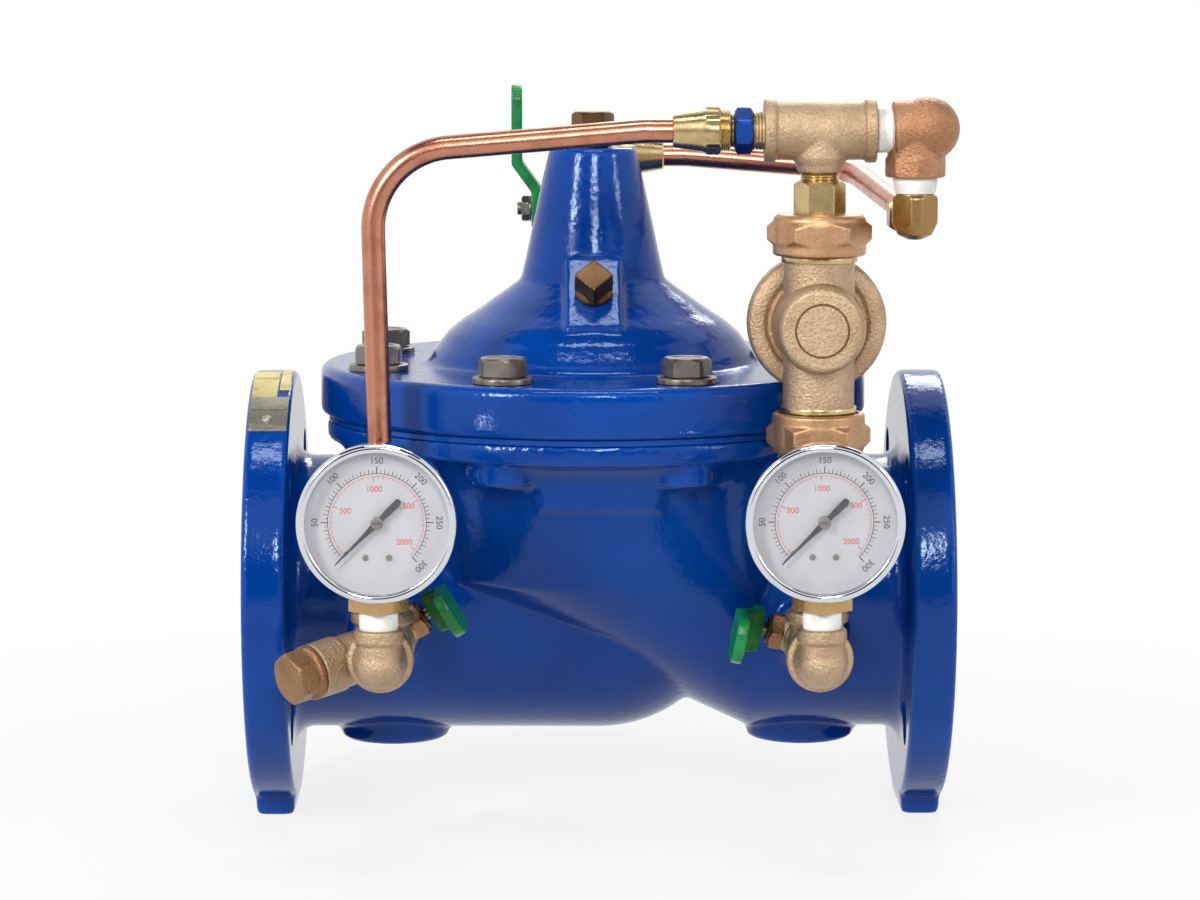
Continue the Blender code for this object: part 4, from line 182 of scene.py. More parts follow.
class Graph:
    """The node tree of one material."""

    def __init__(self, name: str) -> None:
        """Start a material with its Principled shader."""
        self.material = bpy.data.materials.new(name)
        self.material.use_nodes = True
        self.tree = self.material.node_tree
        self.shader = self.tree.nodes["Principled BSDF"]
        self.place = self.node("ShaderNodeTexCoord", {}, {}, "Object")

    def node(self, kind: str, settings: dict, values: dict, output: str | int = 0) -> Signal:
        """Add one node.

        Args:
            kind: The node's type.
            settings: Its attributes, set before its sockets.
            values: Numbers, colours or signals for its input sockets, by name or index.
            output: The output socket that is returned.

        Returns:
            The signal of that output.
        """
        made = self.tree.nodes.new(kind)
        for key, value in settings.items():
            setattr(made, key, value)
        for key, value in values.items():
            self.feed(made.inputs[key], value)
        return Signal(self, made.outputs[output])

    def feed(self, socket: bpy.types.NodeSocket, value: object) -> None:
        """Link a signal to a socket, or set its plain value."""
        if isinstance(value, Signal):
            self.tree.links.new(value.socket, socket)
        else:
            socket.default_value = value

    def set(self, **values: object) -> None:
        """Set inputs of the Principled shader, with underscores for the spaces in their names."""
        for key, value in values.items():
            self.feed(self.shader.inputs[key.replace("_", " ")], value)

    def noise(self, scale: float, detail: float = 3.0, stretch: Sequence[float] = (1, 1, 1)) -> Signal:
        """Return fractal noise over the object, at most one.

        Args:
            scale: Grains to the metre.
            detail: Octaves.
            stretch: Factor on each axis before the noise.

        Returns:
            The noise factor.
        """
        place = self.node("ShaderNodeMapping", {}, {"Vector": self.place, "Scale": tuple(stretch)})
        values = {"Vector": place, "Scale": scale, "Detail": detail, "Roughness": 0.55}
        return self.node("ShaderNodeTexNoise", {"noise_dimensions": "3D"}, values, "Fac")

    def mix(self, factor: object, first: object, second: object) -> Signal:
        """Mix two colours by a factor."""
        values = {0: factor, 6: rgba(first), 7: rgba(second)}
        return self.node("ShaderNodeMix", {"data_type": "RGBA"}, values, 2)

    def bump(self, height: Signal, distance: float, strength: float = 1.0,
             below: Signal | None = None) -> Signal:
        """Return a normal bumped by a height.

        Args:
            height: The height signal, 0 to 1.
            distance: How far 1 stands above 0, in metres.
            strength: Share of the bump that is used.
            below: A normal that this bump lies on.

        Returns:
            The bumped normal.
        """
        values = {"Height": height, "Distance": distance, "Strength": strength}
        if below is not None:
            values["Normal"] = below
        return self.node("ShaderNodeBump", {}, values)

    def seen(self) -> Signal:
        """Return 1 for rays from the camera, from a mirror or through glass, and 0 for those that light."""
        paths = [self.node("ShaderNodeLightPath", {}, {}, f"Is {kind} Ray") for kind in RAYS]
        return (paths[0] + paths[1] + paths[2]).above(0.4, 0.6)

    def cavity(self, spread: float) -> Signal:
        """Return about 0.5 on flat ground, more on edges and less in hollows, from Geometry's pointiness."""
        point = self.node("ShaderNodeNewGeometry", {}, {}, "Pointiness")
        return point.above(0.5 - spread, 0.5 + spread)


def rgba(value: object) -> object:
    """Return a colour with its alpha, and leave a signal as it is."""
    return value if isinstance(value, Signal) else (*value, 1.0)


def srgb(red: int, green: int, blue: int) -> tuple[float, float, float]:
    """Return the linear colour of display values from 0 to 255."""
    def one(value: int) -> float:
        part = value / 255
        return part / 12.92 if part <= 0.04045 else ((part + 0.055) / 1.055) ** 2.4
    return one(red), one(green), one(blue)


# Finishes

@dataclass(frozen=True)
class Finish:
    """A finish of the valve: a name and the record's slot that it stands for."""

    name: str
    slot: str

    def build(self) -> bpy.types.Material:
        """Return the material."""
        graph = Graph(self.name)
        self.dress(graph)
        return graph.material

    def dress(self, graph: Graph) -> None:
        """Set the shader's sockets."""
        raise NotImplementedError


@dataclass(frozen=True)
class EpoxyCoat(Finish):
    """Thick glossy epoxy over a sand casting."""

    colour: tuple[float, float, float] = srgb(0, 63, 148)
    thin: tuple[float, float, float] = srgb(8, 76, 168)
    deep: tuple[float, float, float] = srgb(0, 50, 130)
    shine: tuple[float, float, float] = (0.66, 0.83, 1.0)

    def dress(self, graph: Graph) -> None:
        """Paint with orange peel, the casting's grain showing through, and thinner edges."""
        cloud = graph.noise(16, 2)
        edge = graph.cavity(0.06)
        colour = graph.mix(cloud.above(0.3, 0.75), self.deep, self.colour)
        colour = graph.mix(edge.above(0.5, 1.0) * 0.4, colour, self.thin)
        grain = graph.noise(240, 4)
        peel = graph.noise(700, 2)
        normal = graph.bump(grain, 0.00045, 0.5)
        normal = graph.bump(peel, 0.00010, 0.4, normal)
        graph.set(Base_Color=colour, Roughness=0.07 + grain * 0.08, Normal=normal)
        graph.set(Specular_IOR_Level=0.33, Specular_Tint=rgba(self.shine))


@dataclass(frozen=True)
class CastMetal(Finish):
    """A sand-cast copper alloy, shot-blasted and left bare."""

    colour: tuple[float, float, float] = srgb(190, 164, 134)
    stain: tuple[float, float, float] = srgb(140, 110, 80)
    rough: float = 0.40
    grit: float = 0.0008
    speck: float = 0.35

    def dress(self, graph: Graph) -> None:
        """Grain, blotches, darker hollows and polished edges."""
        blotch = graph.noise(60, 3)
        grit = graph.noise(950, 4)
        edge = graph.cavity(0.07)
        colour = graph.mix(blotch.above(0.38, 0.72) * 0.4, self.colour, self.stain)
        colour = graph.mix((1 - grit).above(0.46, 0.66) * self.speck, colour, self.stain)
        colour = graph.mix((1 - edge).above(0.55, 1.0) * 0.8, colour, self.stain)
        normal = graph.bump(graph.noise(320, 3), 0.0003, 0.5)
        normal = graph.bump(grit, self.grit, 0.8, normal)
        rough = self.rough + blotch * 0.12 - edge.above(0.6, 1.0) * 0.12
        graph.set(Base_Color=colour, Roughness=rough, Normal=normal, Metallic=0.88)


@dataclass(frozen=True)
class TurnedMetal(Finish):
    """A bar-turned or drawn metal with fine tool marks."""

    colour: tuple[float, float, float] = srgb(206, 182, 134)
    tarnish: tuple[float, float, float] = srgb(156, 126, 82)
    rough: float = 0.17
    stained: float = 0.45

    def dress(self, graph: Graph) -> None:
        """Bright metal with light tarnish and fine scratches."""
        cloud = graph.noise(110, 3)
        fine = graph.noise(2600, 2, (1, 1, 0.15))
        edge = graph.cavity(0.08)
        colour = graph.mix(cloud.above(0.42, 0.72) * self.stained, self.colour, self.tarnish)
        colour = graph.mix((1 - edge).above(0.6, 1.0) * 0.6, colour, self.tarnish)
        normal = graph.bump(fine, 0.00004, 0.5)
        normal = graph.bump(graph.noise(330, 2), 0.00012, 0.35, normal)
        rough = self.rough + cloud * 0.14 + fine * 0.05
        graph.set(Base_Color=colour, Roughness=rough, Normal=normal, Metallic=1.0)


@dataclass(frozen=True)
class Plastic(Finish):
    """A dipped, moulded or printed plastic."""

    colour: tuple[float, float, float] = srgb(14, 128, 62)
    shade: tuple[float, float, float] = srgb(8, 96, 44)
    rough: float = 0.24
    wave: float = 0.0005
    gloss: float = 0.4

    def dress(self, graph: Graph) -> None:
        """A soft uneven skin."""
        cloud = graph.noise(90, 2)
        colour = graph.mix(cloud.above(0.4, 0.7), self.colour, self.shade)
        normal = graph.bump(graph.noise(150, 2), self.wave, 0.4)
        graph.set(Base_Color=colour, Roughness=self.rough + cloud * 0.1, Normal=normal,
                  Specular_IOR_Level=self.gloss)


@dataclass(frozen=True)
class Mirror(Finish):
    """Bright plating."""

    colour: tuple[float, float, float] = srgb(214, 216, 222)

    def dress(self, graph: Graph) -> None:
        """Plating with a few dull patches."""
        cloud = graph.noise(60, 2)
        graph.set(Base_Color=(*self.colour, 1.0), Roughness=0.05 + cloud * 0.06, Metallic=1.0)


@dataclass(frozen=True)
class ClearPane(Finish):
    """The gauge's window."""

    def dress(self, graph: Graph) -> None:
        """A nearly clear skin that keeps only its shine."""
        graph.set(Base_Color=(0.9, 0.93, 0.95, 1.0), Roughness=0.03, Alpha=0.05, Specular_IOR_Level=0.4)


EPOXY = EpoxyCoat("blue_epoxy_coat", "blue")
BRONZE = CastMetal("sand_cast_bronze", "bronze")
UNION_BRONZE = CastMetal("union_bronze", "bronze", srgb(198, 158, 120), srgb(150, 110, 76), 0.36, 0.0002, 0.4)
RED_BRONZE = CastMetal("red_bronze_elbow", "street", srgb(180, 134, 100), srgb(122, 80, 54), 0.34)
CAP_BRONZE = CastMetal("aged_bronze_cap", "bronze", srgb(160, 122, 88), srgb(104, 72, 48), 0.38)
FORGED = CastMetal("forged_brass", "brass", srgb(190, 156, 106), srgb(128, 96, 54), 0.28, 0.00008, 0.1)
ELBOW_BRASS = CastMetal("dark_brass_elbow", "brass", srgb(166, 130, 82), srgb(96, 68, 36), 0.26, 0.00008, 0.1)
BRASS = TurnedMetal("turned_brass", "brass")
COPPER = TurnedMetal("drawn_copper", "copper", srgb(196, 134, 110), srgb(150, 92, 72), 0.18, 0.5)
STEEL = TurnedMetal("plain_steel", "steel", srgb(186, 184, 178), srgb(132, 128, 118), 0.28)
BAND = CastMetal("grey_band", "zinc", srgb(176, 172, 156), srgb(120, 116, 102), 0.34, 0.00006, 0.2)
ZINC = CastMetal("weathered_zinc", "zinc", srgb(132, 126, 120), srgb(82, 74, 64), 0.34, 0.00006, 0.2)
DARK_BRONZE = CastMetal("dark_bronze_plug", "plug", srgb(112, 84, 52), srgb(58, 42, 26), 0.34, 0.0001, 0.3)
VINYL = Plastic("green_vinyl_dip", "vinyl")
TAPE = Plastic("thread_tape", "bronze", srgb(238, 238, 234), srgb(216, 216, 210), 0.55, 0.0006)
CHROME = Mirror("bright_chrome", "chrome")
DIAL = Plastic("dial_white", "chrome", srgb(190, 189, 193), srgb(184, 183, 187), 0.4, 0.00002, 0.15)
BLACK = Plastic("dial_black", "pointer", srgb(14, 14, 16), srgb(20, 20, 22), 0.5, 0.00002, 0.08)
RED = Plastic("dial_red", "pointer", srgb(206, 74, 70), srgb(196, 66, 62), 0.5, 0.00002, 0.08)
CHROMATE = TurnedMetal("yellow_chromate", "zinc", srgb(214, 200, 140), srgb(176, 152, 84), 0.26, 0.7)
BLUE_HEX = TurnedMetal("blue_anodised_hex", "blue", srgb(36, 78, 158), srgb(22, 50, 118), 0.3)
RUBBER = Plastic("black_rubber", "rubber", srgb(28, 28, 30), srgb(20, 20, 22), 0.75, 0.0002)
# Dark plating that is painted shade, for the ring in the shadowed gap inside each gauge bezel.
PAINTED_SHADE_CHROME = Mirror("painted_shade_chrome", "chrome", srgb(52, 54, 58))
PANE = ClearPane("gauge_pane", "chrome")


class Paintbox:
    """Materials by finish, each made once."""

    def __init__(self) -> None:
        """Start with no materials."""
        self.made: dict[str, bpy.types.Material] = {}

    def get(self, finish: Finish) -> bpy.types.Material:
        """Return the material of a finish."""
        if finish.name not in self.made:
            self.made[finish.name] = finish.build()
        return self.made[finish.name]


# Solids

def place(at: Sequence[float], along: Sequence[float], side: Sequence[float] | None = None) -> Matrix:
    """Return the matrix that takes local +Z to a direction and local +X towards a side.

    Args:
        at: The local origin's place.
        along: Where local +Z goes.
        side: Where local +X goes, as near as can be.

    Returns:
        The placing matrix.
    """
    z = Vector(along).normalized()
    if side is None:
        side = X if abs(z.x) < 0.9 else Y
    x = (Vector(side) - z * Vector(side).dot(z)).normalized()
    matrix = Matrix((x, z.cross(x), z)).transposed().to_4x4()
    matrix.translation = Vector(at)
    return matrix


def arc(centre: tuple[float, float], radius: float, start: float, end: float, steps: int = 8) -> Profile:
    """Return profile points along an arc, its angles in degrees."""
    angles = [math.radians(start + (end - start) * step / steps) for step in range(steps + 1)]
    return [(centre[0] + radius * math.cos(a), centre[1] + radius * math.sin(a)) for a in angles]


def circle(radius: float, steps: int) -> list[Vector]:
    """Return points round the local axis."""
    angles = [math.tau * step / steps for step in range(steps)]
    return [Vector((radius * math.cos(a), radius * math.sin(a), 0)) for a in angles]


class Operation(Enum):
    """What a Boolean does."""

    JOIN = "UNION"
    CUT = "DIFFERENCE"
    TRIM = "INTERSECT"


class Solid:
    """A closed mesh in the valve's frame, being worked."""

    def __init__(self, bm: bmesh.types.BMesh, matrix: Matrix | None = None) -> None:
        """Take over a bmesh, at a place."""
        if matrix is not None:
            bmesh.ops.transform(bm, matrix=matrix, verts=bm.verts)
        bmesh.ops.recalc_face_normals(bm, faces=bm.faces)
        mesh = bpy.data.meshes.new("work")
        bm.to_mesh(mesh)
        bm.free()
        self.mesh = mesh

    @staticmethod
    def turned(profile: Profile, at: Sequence[float] = (0, 0, 0), along: Sequence[float] = Z, steps: int = 64,
               closed: bool = False) -> "Solid":
        """Turn a profile of (radius, height) points round a local axis.

        Args:
            profile: The outline; it closes on the axis, or on itself if closed.
            at: The local origin's place.
            along: The axis.
            steps: Sides of the turned form.
            closed: Whether the outline is a loop, as of a ring.

        Returns:
            The solid.
        """
        bm = bmesh.new()
        rings = []
        for radius, height in profile:
            if radius < 1e-7:
                rings.append([bm.verts.new((0, 0, height))])
                continue
            rings.append([bm.verts.new((*point.xy, height)) for point in circle(radius, steps)])
        pairs = list(zip(rings, rings[1:])) + ([(rings[-1], rings[0])] if closed else [])
        for first, second in pairs:
            for step in range(steps):
                after = (step + 1) % steps
                corners = [first[step % len(first)], second[step % len(second)], second[after % len(second)],
                           first[after % len(first)]]
                corners = list(dict.fromkeys(corners))
                if len(corners) > 2:
                    bm.faces.new(corners)
        return Solid(bm, place(at, along))

    @staticmethod
    def rod(radius: float, start: Sequence[float], end: Sequence[float], edge: float = 0.0,
            steps: int = 64) -> "Solid":
        """Turn a round rod between two points, with rounded edges if given."""
        start = Vector(start)
        span = Vector(end) - start
        length = span.length
        if edge:
            rim = arc((radius - edge, length - edge), edge, 90, 0, 4)
            rim += arc((radius - edge, edge), edge, 0, -90, 4)
            profile = [(0, length), *rim, (0, 0)]
        else:
            profile = [(0, length), (radius, length), (radius, 0), (0, 0)]
        return Solid.turned(profile, start, span, steps)

    @staticmethod
    def prism(flats: float, low: float, high: float, at: Sequence[float] = (0, 0, 0),
              along: Sequence[float] = Z,
              side: Sequence[float] | None = None, sides: int = 6, chamfer: float = 0.0,
              both: bool = True) -> "Solid":
        """Make a regular prism, with the turned chamfer of a nut or bolt head if given.

        Args:
            flats: Distance across the flats.
            low: Bottom along the axis.
            high: Top along the axis.
            at: The local origin's place.
            along: The axis.
            side: Where the first corner points.
            sides: How many sides.
            chamfer: How far the turned chamfer reaches down each corner.
            both: Whether the bottom is chamfered too.

        Returns:
            The solid.
        """
        bm = bmesh.new()
        corner = flats / 2 / math.cos(math.pi / sides)
        bmesh.ops.create_cone(
            bm, cap_ends=True, segments=sides, radius1=corner, radius2=corner, depth=high - low,
            matrix=Matrix.Translation((0, 0, (high + low) / 2)) @ Matrix.Rotation(math.pi / 2, 4, "Z"),
        )
        uprights = [e for e in bm.edges if abs(e.verts[0].co.z - e.verts[1].co.z) > 1e-6]
        bmesh.ops.bevel(bm, geom=uprights, offset=flats * 0.022, segments=2, affect="EDGES", profile=0.5)
        made = Solid(bm, place(at, along, side))
        if chamfer:
            reach = corner - flats / 2 * 0.96
            top = [(0, high), (corner - reach, high), (corner, high - chamfer)]
            bottom = [(corner, low + chamfer), (corner - reach, low)] if both else [(corner, low)]
            made.work(Operation.TRIM, Solid.turned([*top, *bottom, (0, low)], at, along, 72))
        return made

    @staticmethod
    def block(size: Sequence[float], at: Sequence[float], along: Sequence[float] = Z,
              side: Sequence[float] | None = None, edge: float = 0.0) -> "Solid":
        """Make a box of a full size centred on a point, with rounded edges if given."""
        bm = bmesh.new()
        bmesh.ops.create_cube(bm, size=1.0, matrix=Matrix.Diagonal((*size, 1.0)))
        if edge:
            bmesh.ops.bevel(bm, geom=bm.edges[:], offset=edge, segments=4, affect="EDGES", profile=0.5)
        return Solid(bm, place(at, along, side))

    @staticmethod
    def ball(radius: float, at: Sequence[float], squash: float = 1.0) -> "Solid":
        """Make a ball, flattened along Z if asked."""
        bm = bmesh.new()
        bmesh.ops.create_uvsphere(bm, u_segments=48, v_segments=24, radius=radius)
        return Solid(bm, Matrix.Translation(Vector(at)) @ Matrix.Diagonal((1, 1, squash, 1)))

    @staticmethod
    def hull(rings: list[tuple[Sequence[float], Vector, float]], steps: int = 120) -> "Solid":
        """Wrap circles, each given as centre, normal and radius, in a convex skin."""
        bm = bmesh.new()
        for centre, normal, radius in rings:
            matrix = place(centre, normal)
            for point in circle(radius, steps):
                bm.verts.new(matrix @ point)
        bmesh.ops.convex_hull(bm, input=bm.verts[:], use_existing_faces=False)
        bmesh.ops.delete(bm, geom=[v for v in bm.verts if not v.link_faces], context="VERTS")
        return Solid(bm)

    @staticmethod
    def tube(points: Sequence[Sequence[float]], radius: float, steps: int = 32) -> "Solid":
        """Sweep a circle along points, without twist."""
        bm = bmesh.new()
        path = [Vector(p) for p in points]
        side = None
        rings = []
        for index, point in enumerate(path):
            ahead = path[min(index + 1, len(path) - 1)]
            behind = path[max(index - 1, 0)]
            matrix = place(point, ahead - behind, side)
            side = matrix.to_3x3() @ X
            rings.append([bm.verts.new(matrix @ spot) for spot in circle(radius, steps)])
        for first, second in zip(rings, rings[1:]):
            for step in range(steps):
                after = (step + 1) % steps
                bm.faces.new((first[step], first[after], second[after], second[step]))
        bm.faces.new(rings[0][::-1])
        bm.faces.new(rings[-1])
        return Solid(bm)

    def apply(self, stack: list[tuple[str, dict]]) -> None:
        """Run modifiers on the mesh and keep the result."""
        holder = shown("work", self.mesh)
        for kind, settings in stack:
            modifier = holder.modifiers.new(kind, kind)
            for key, value in settings.items():
                setattr(modifier, key, value)
        bpy.context.view_layer.update()
        graph = bpy.context.evaluated_depsgraph_get()
        self.mesh = bpy.data.meshes.new_from_object(holder.evaluated_get(graph), depsgraph=graph)
        bpy.data.objects.remove(holder)

    def work(self, operation: Operation, *others: "Solid") -> "Solid":
        """Boolean this solid with others, one by one.

        Args:
            operation: Join, cut or trim.
            others: The other solids, which are used up.

        Returns:
            This solid.
        """
        for other in others:
            tool = shown("tool", other.mesh)
            self.apply([("BOOLEAN", {"operation": operation.value, "object": tool, "solver": "MANIFOLD"})])
            bpy.data.objects.remove(tool)
        return self

    def join(self, *others: "Solid") -> "Solid":
        """Unite with others."""
        return self.work(Operation.JOIN, *others)

    def cut(self, *others: "Solid") -> "Solid":
        """Take others away."""
        return self.work(Operation.CUT, *others)

    def cast(self, voxel: float, smooth: int) -> "Solid":
        """Soften the solid as a sand mould does: an even mesh, then smoothed.

        Args:
            voxel: Size of the even mesh.
            smooth: Rounds of smoothing.

        Returns:
            This solid.
        """
        self.apply([
            ("REMESH", {"mode": "VOXEL", "voxel_size": voxel, "adaptivity": 0.0}),
            ("SMOOTH", {"factor": 0.5, "iterations": smooth}),
        ])
        return self

    def moved(self, matrix: Matrix) -> "Solid":
        """Move the solid."""
        self.mesh.transform(matrix)
        return self


def several(solids: Sequence[Solid]) -> Solid:
    """Gather solids that may overlap into one mesh, for casting."""
    bm = bmesh.new()
    for solid in solids:
        bm.from_mesh(solid.mesh)
    return Solid(bm)


class Bench:
    """Turns solids into finished pieces of the scene."""

    def __init__(self, paints: Paintbox) -> None:
        """Take the materials to paint with."""
        self.paints = paints

    def piece(self, name: str, solid: Solid, finish: Finish, body: str | None = "valve",
              nodes: Sequence[str] = (),
              sharp: float = 32.0) -> bpy.types.Object:
        """Place a finished piece.

        Args:
            name: The piece's name.
            solid: Its shape in the valve's frame.
            finish: Its finish.
            body: The body that it rides on, or None where it lies between two; then it is left unattached.
            nodes: The nodes that it stands for.
            sharp: Angle in degrees above which an edge stays sharp.

        Returns:
            The piece.
        """
        mesh = solid.mesh
        mesh.name = name
        mesh.materials.clear()
        mesh.materials.append(self.paints.get(finish))
        mesh.shade_smooth()
        mesh.set_sharp_from_angle(angle=math.radians(sharp))
        made = shown(name, mesh)
        made.location = ORIGIN
        if body:
            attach(made, body)
        if nodes:
            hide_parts(*nodes)
        LOG.info("%s: %d faces, rides on %s", name, len(mesh.polygons), body)
        return made


# Valve body and cover

@dataclass
class GlobeBody:
    """The blue globe body with its flanges, bowl, bosses and feet."""

    face: float = 0.15239
    flange: float = 0.09525
    thick: float = 0.019
    edge: float = 0.0018
    bore: float = 0.040
    neck: float = 0.0605
    drop: float = 0.0030
    fillet: float = 0.007
    wall: float = 0.009
    nose: float = 0.061
    nose_offset: float = 0.003
    rim: float = 0.104
    rim_z: float = 0.066
    foot: float = 0.085
    foot_z: float = 0.010
    room: float = 0.086
    shoulder: float = 0.068
    top_z: float = 0.0752
    top: float = 0.1176
    top_thick: float = 0.0085
    boss_z: float = 0.055
    bridge_z: float = 0.020
    drain_x: float = 0.0905
    foot_middle: float = -0.08899
    hole_circle: float = 0.0762
    hole: float = 0.0095
    voxel: float = 0.0015

    def flange_disc(self, side: int) -> Solid:
        """Turn a flange's disc."""
        back = -self.thick
        rim = arc((self.flange - self.edge, -self.edge), self.edge, 90, 0, 4)
        rim += arc((self.flange - self.edge, back + self.edge), self.edge, 0, -90, 4)
        return Solid.turned([(0, 0), *rim, (0, back)], (side * self.face, 0, 0), side * X, 128)

    def neck_shell(self, side: int, inner: Profile) -> Solid:
        """Turn a neck with its fillet, from inside the flange to an inner end; it hangs a little low."""
        back = -self.thick
        root = arc((self.neck + self.fillet, back - self.fillet), self.fillet, 90, 180, 8)
        profile = [(0, back + OVER), (self.neck + self.fillet, back + OVER), *root, *inner]
        return Solid.turned(profile, (side * self.face, 0, -self.drop), side * X, 128)

    def inlet_shell(self) -> Solid:
        """Turn the inlet neck and the nose of the chamber under the seat."""
        nose = -(self.face + SEAT_X + self.nose_offset)
        return self.neck_shell(-1, [*arc((0, nose), self.nose, 0, -90, 24)[:-1], (0, nose - self.nose)])

    def bowl(self, shrink: float = 0.0) -> Solid:
        """Wrap the bowl from the cover's joint down to the outlet neck."""
        top = self.top_z + OVER if shrink > 0 else self.rim_z
        return Solid.hull([
            ((SEAT_X, 0, top), Z, self.room if shrink > 0 else self.rim - shrink),
            ((SEAT_X, 0, self.foot_z + shrink), Z, self.foot - shrink),
            ((self.shoulder - shrink, 0, -self.drop), X, self.neck + 0.0005 - shrink),
        ])

    def outside(self) -> Solid:
        """Gather the outside forms of the casting."""
        end = OVER + self.shoulder - self.face
        outlet = self.neck_shell(1, [(self.neck, end - 2 * OVER), (0, end - 2 * OVER)])
        low = self.top_z - self.top_thick
        rim = arc((self.top - 0.002, low + 0.002), 0.002, 0, -90, 4)
        taper = [(self.rim + 0.006, low - 0.0015), (self.rim + 0.001, low - 0.006),
                 (self.rim - 0.003, self.boss_z)]
        lid = Solid.turned([(0, self.top_z), (self.top, self.top_z), *rim, *taper, (0, self.boss_z)],
                           (SEAT_X, 0, 0), Z, 160)
        panel = self.bowl(-0.0017).work(Operation.TRIM,
                                        Solid.block((0.0525, 0.06, 0.0230), (0.0005, -0.100, 0.0570)))
        solids = [self.bowl(), self.inlet_shell(), outlet, lid, panel, self.flange_disc(-1),
                  self.flange_disc(1)]
        return several(solids + self.bosses(low))

    def bosses(self, low: float) -> list[Solid]:
        """Return the bosses under the joint's flange, the drain and tapping bosses, and the feet."""
        solids = [Solid.rod(0.0145, (*spot, self.boss_z + OVER),
                            (*spot, low + 0.004)) for spot in bolt_places()]
        drain = [(0, 0), *arc((0.0215, 0.0025), 0.0025, -90, 0, 5), (0.024, 0.008), (0.030, 0.018),
                 (0, 0.018)]
        for side in (-1, 1):
            x = side * TAP_X
            foot = (self.thick - self.edge, 0.055, 0.022)
            solids += [
                Solid.turned(drain, (side * self.drain_x, 0, -0.069), Z, 64),
                Solid.rod(0.015, (x, -0.049, TAP_Z), (x, -0.0655, TAP_Z), 0.001),
                Solid.rod(0.018, (x, -0.045, TAP_Z), (x, -0.0590, TAP_Z), 0.002),
                Solid.block(foot, (side * (self.face - self.thick / 2), 0, self.foot_middle), edge=0.0025),
            ]
        return solids

    def rooms(self) -> list[Solid]:
        """Return the waterways, bolt holes and tappings that are machined or cored out."""
        room = self.nose - self.wall
        nose = -(self.face + SEAT_X + self.nose_offset)
        profile = [(0, OVER), (self.bore, OVER), (self.bore, -0.036), (self.neck - self.wall, -0.085)]
        profile += [*arc((0, nose), room, 15, -90, 16)[:-1], (0, nose - room)]
        inlet = Solid.turned(profile, (-self.face, 0, 0), -X, 96)
        inlet.cut(Solid.block((0.108, 0.16, 0.08), (SEAT_X + 0.015, 0, self.bridge_z + 0.033)))
        bridge = self.inlet_shell()
        bridge.cut(Solid.block((0.113, 0.16, 0.08), (SEAT_X + 0.0065, 0, self.bridge_z + 0.04)))
        outlet = self.bowl(self.wall).cut(bridge)
        tools = [inlet, outlet]
        tools.append(Solid.rod(self.bore, (self.shoulder - 0.011, 0, 0), (self.face + OVER, 0, 0), steps=96))
        tools.append(Solid.rod(0.042, (SEAT_X, 0, 0.006), (SEAT_X, 0, 0.022), steps=96))
        tools += [Solid.rod(BOLT_HOLE, (*p, 0.0592), (*p, self.top_z + OVER), steps=32)
                  for p in bolt_places()]
        for side in (-1, 1):
            for quarter in range(4):
                angle = math.pi / 4 + math.pi / 2 * quarter
                y, z = self.hole_circle * math.cos(angle), self.hole_circle * math.sin(angle)
                ends = side * (self.face - self.thick - OVER), side * (self.face + OVER)
                tools.append(Solid.rod(self.hole, (ends[0], y, z), (ends[1], y, z), steps=48))
            tools.append(Solid.rod(TAPPED, (side * TAP_X, -0.038, TAP_Z), (side * TAP_X, -0.068, TAP_Z)))
        return tools

    def build(self, bench: Bench) -> None:
        """Cast the body and machine it."""
        body = self.outside().cast(self.voxel, 6)
        body.cut(Solid.rod(self.top + OVER, (SEAT_X, 0, self.top_z), (SEAT_X, 0, self.top_z + 0.01)))
        body.cut(*self.rooms())
        bench.piece("body_casting", body, EPOXY, nodes=["main_body"], sharp=40)


def bolt_places() -> list[tuple[float, float]]:
    """Return the places of the cover bolts round the stem."""
    angles = [math.tau * (index + 0.5) / BOLTS for index in range(BOLTS)]
    return [(SEAT_X + BOLT_CIRCLE * math.cos(a), BOLT_CIRCLE * math.sin(a)) for a in angles]


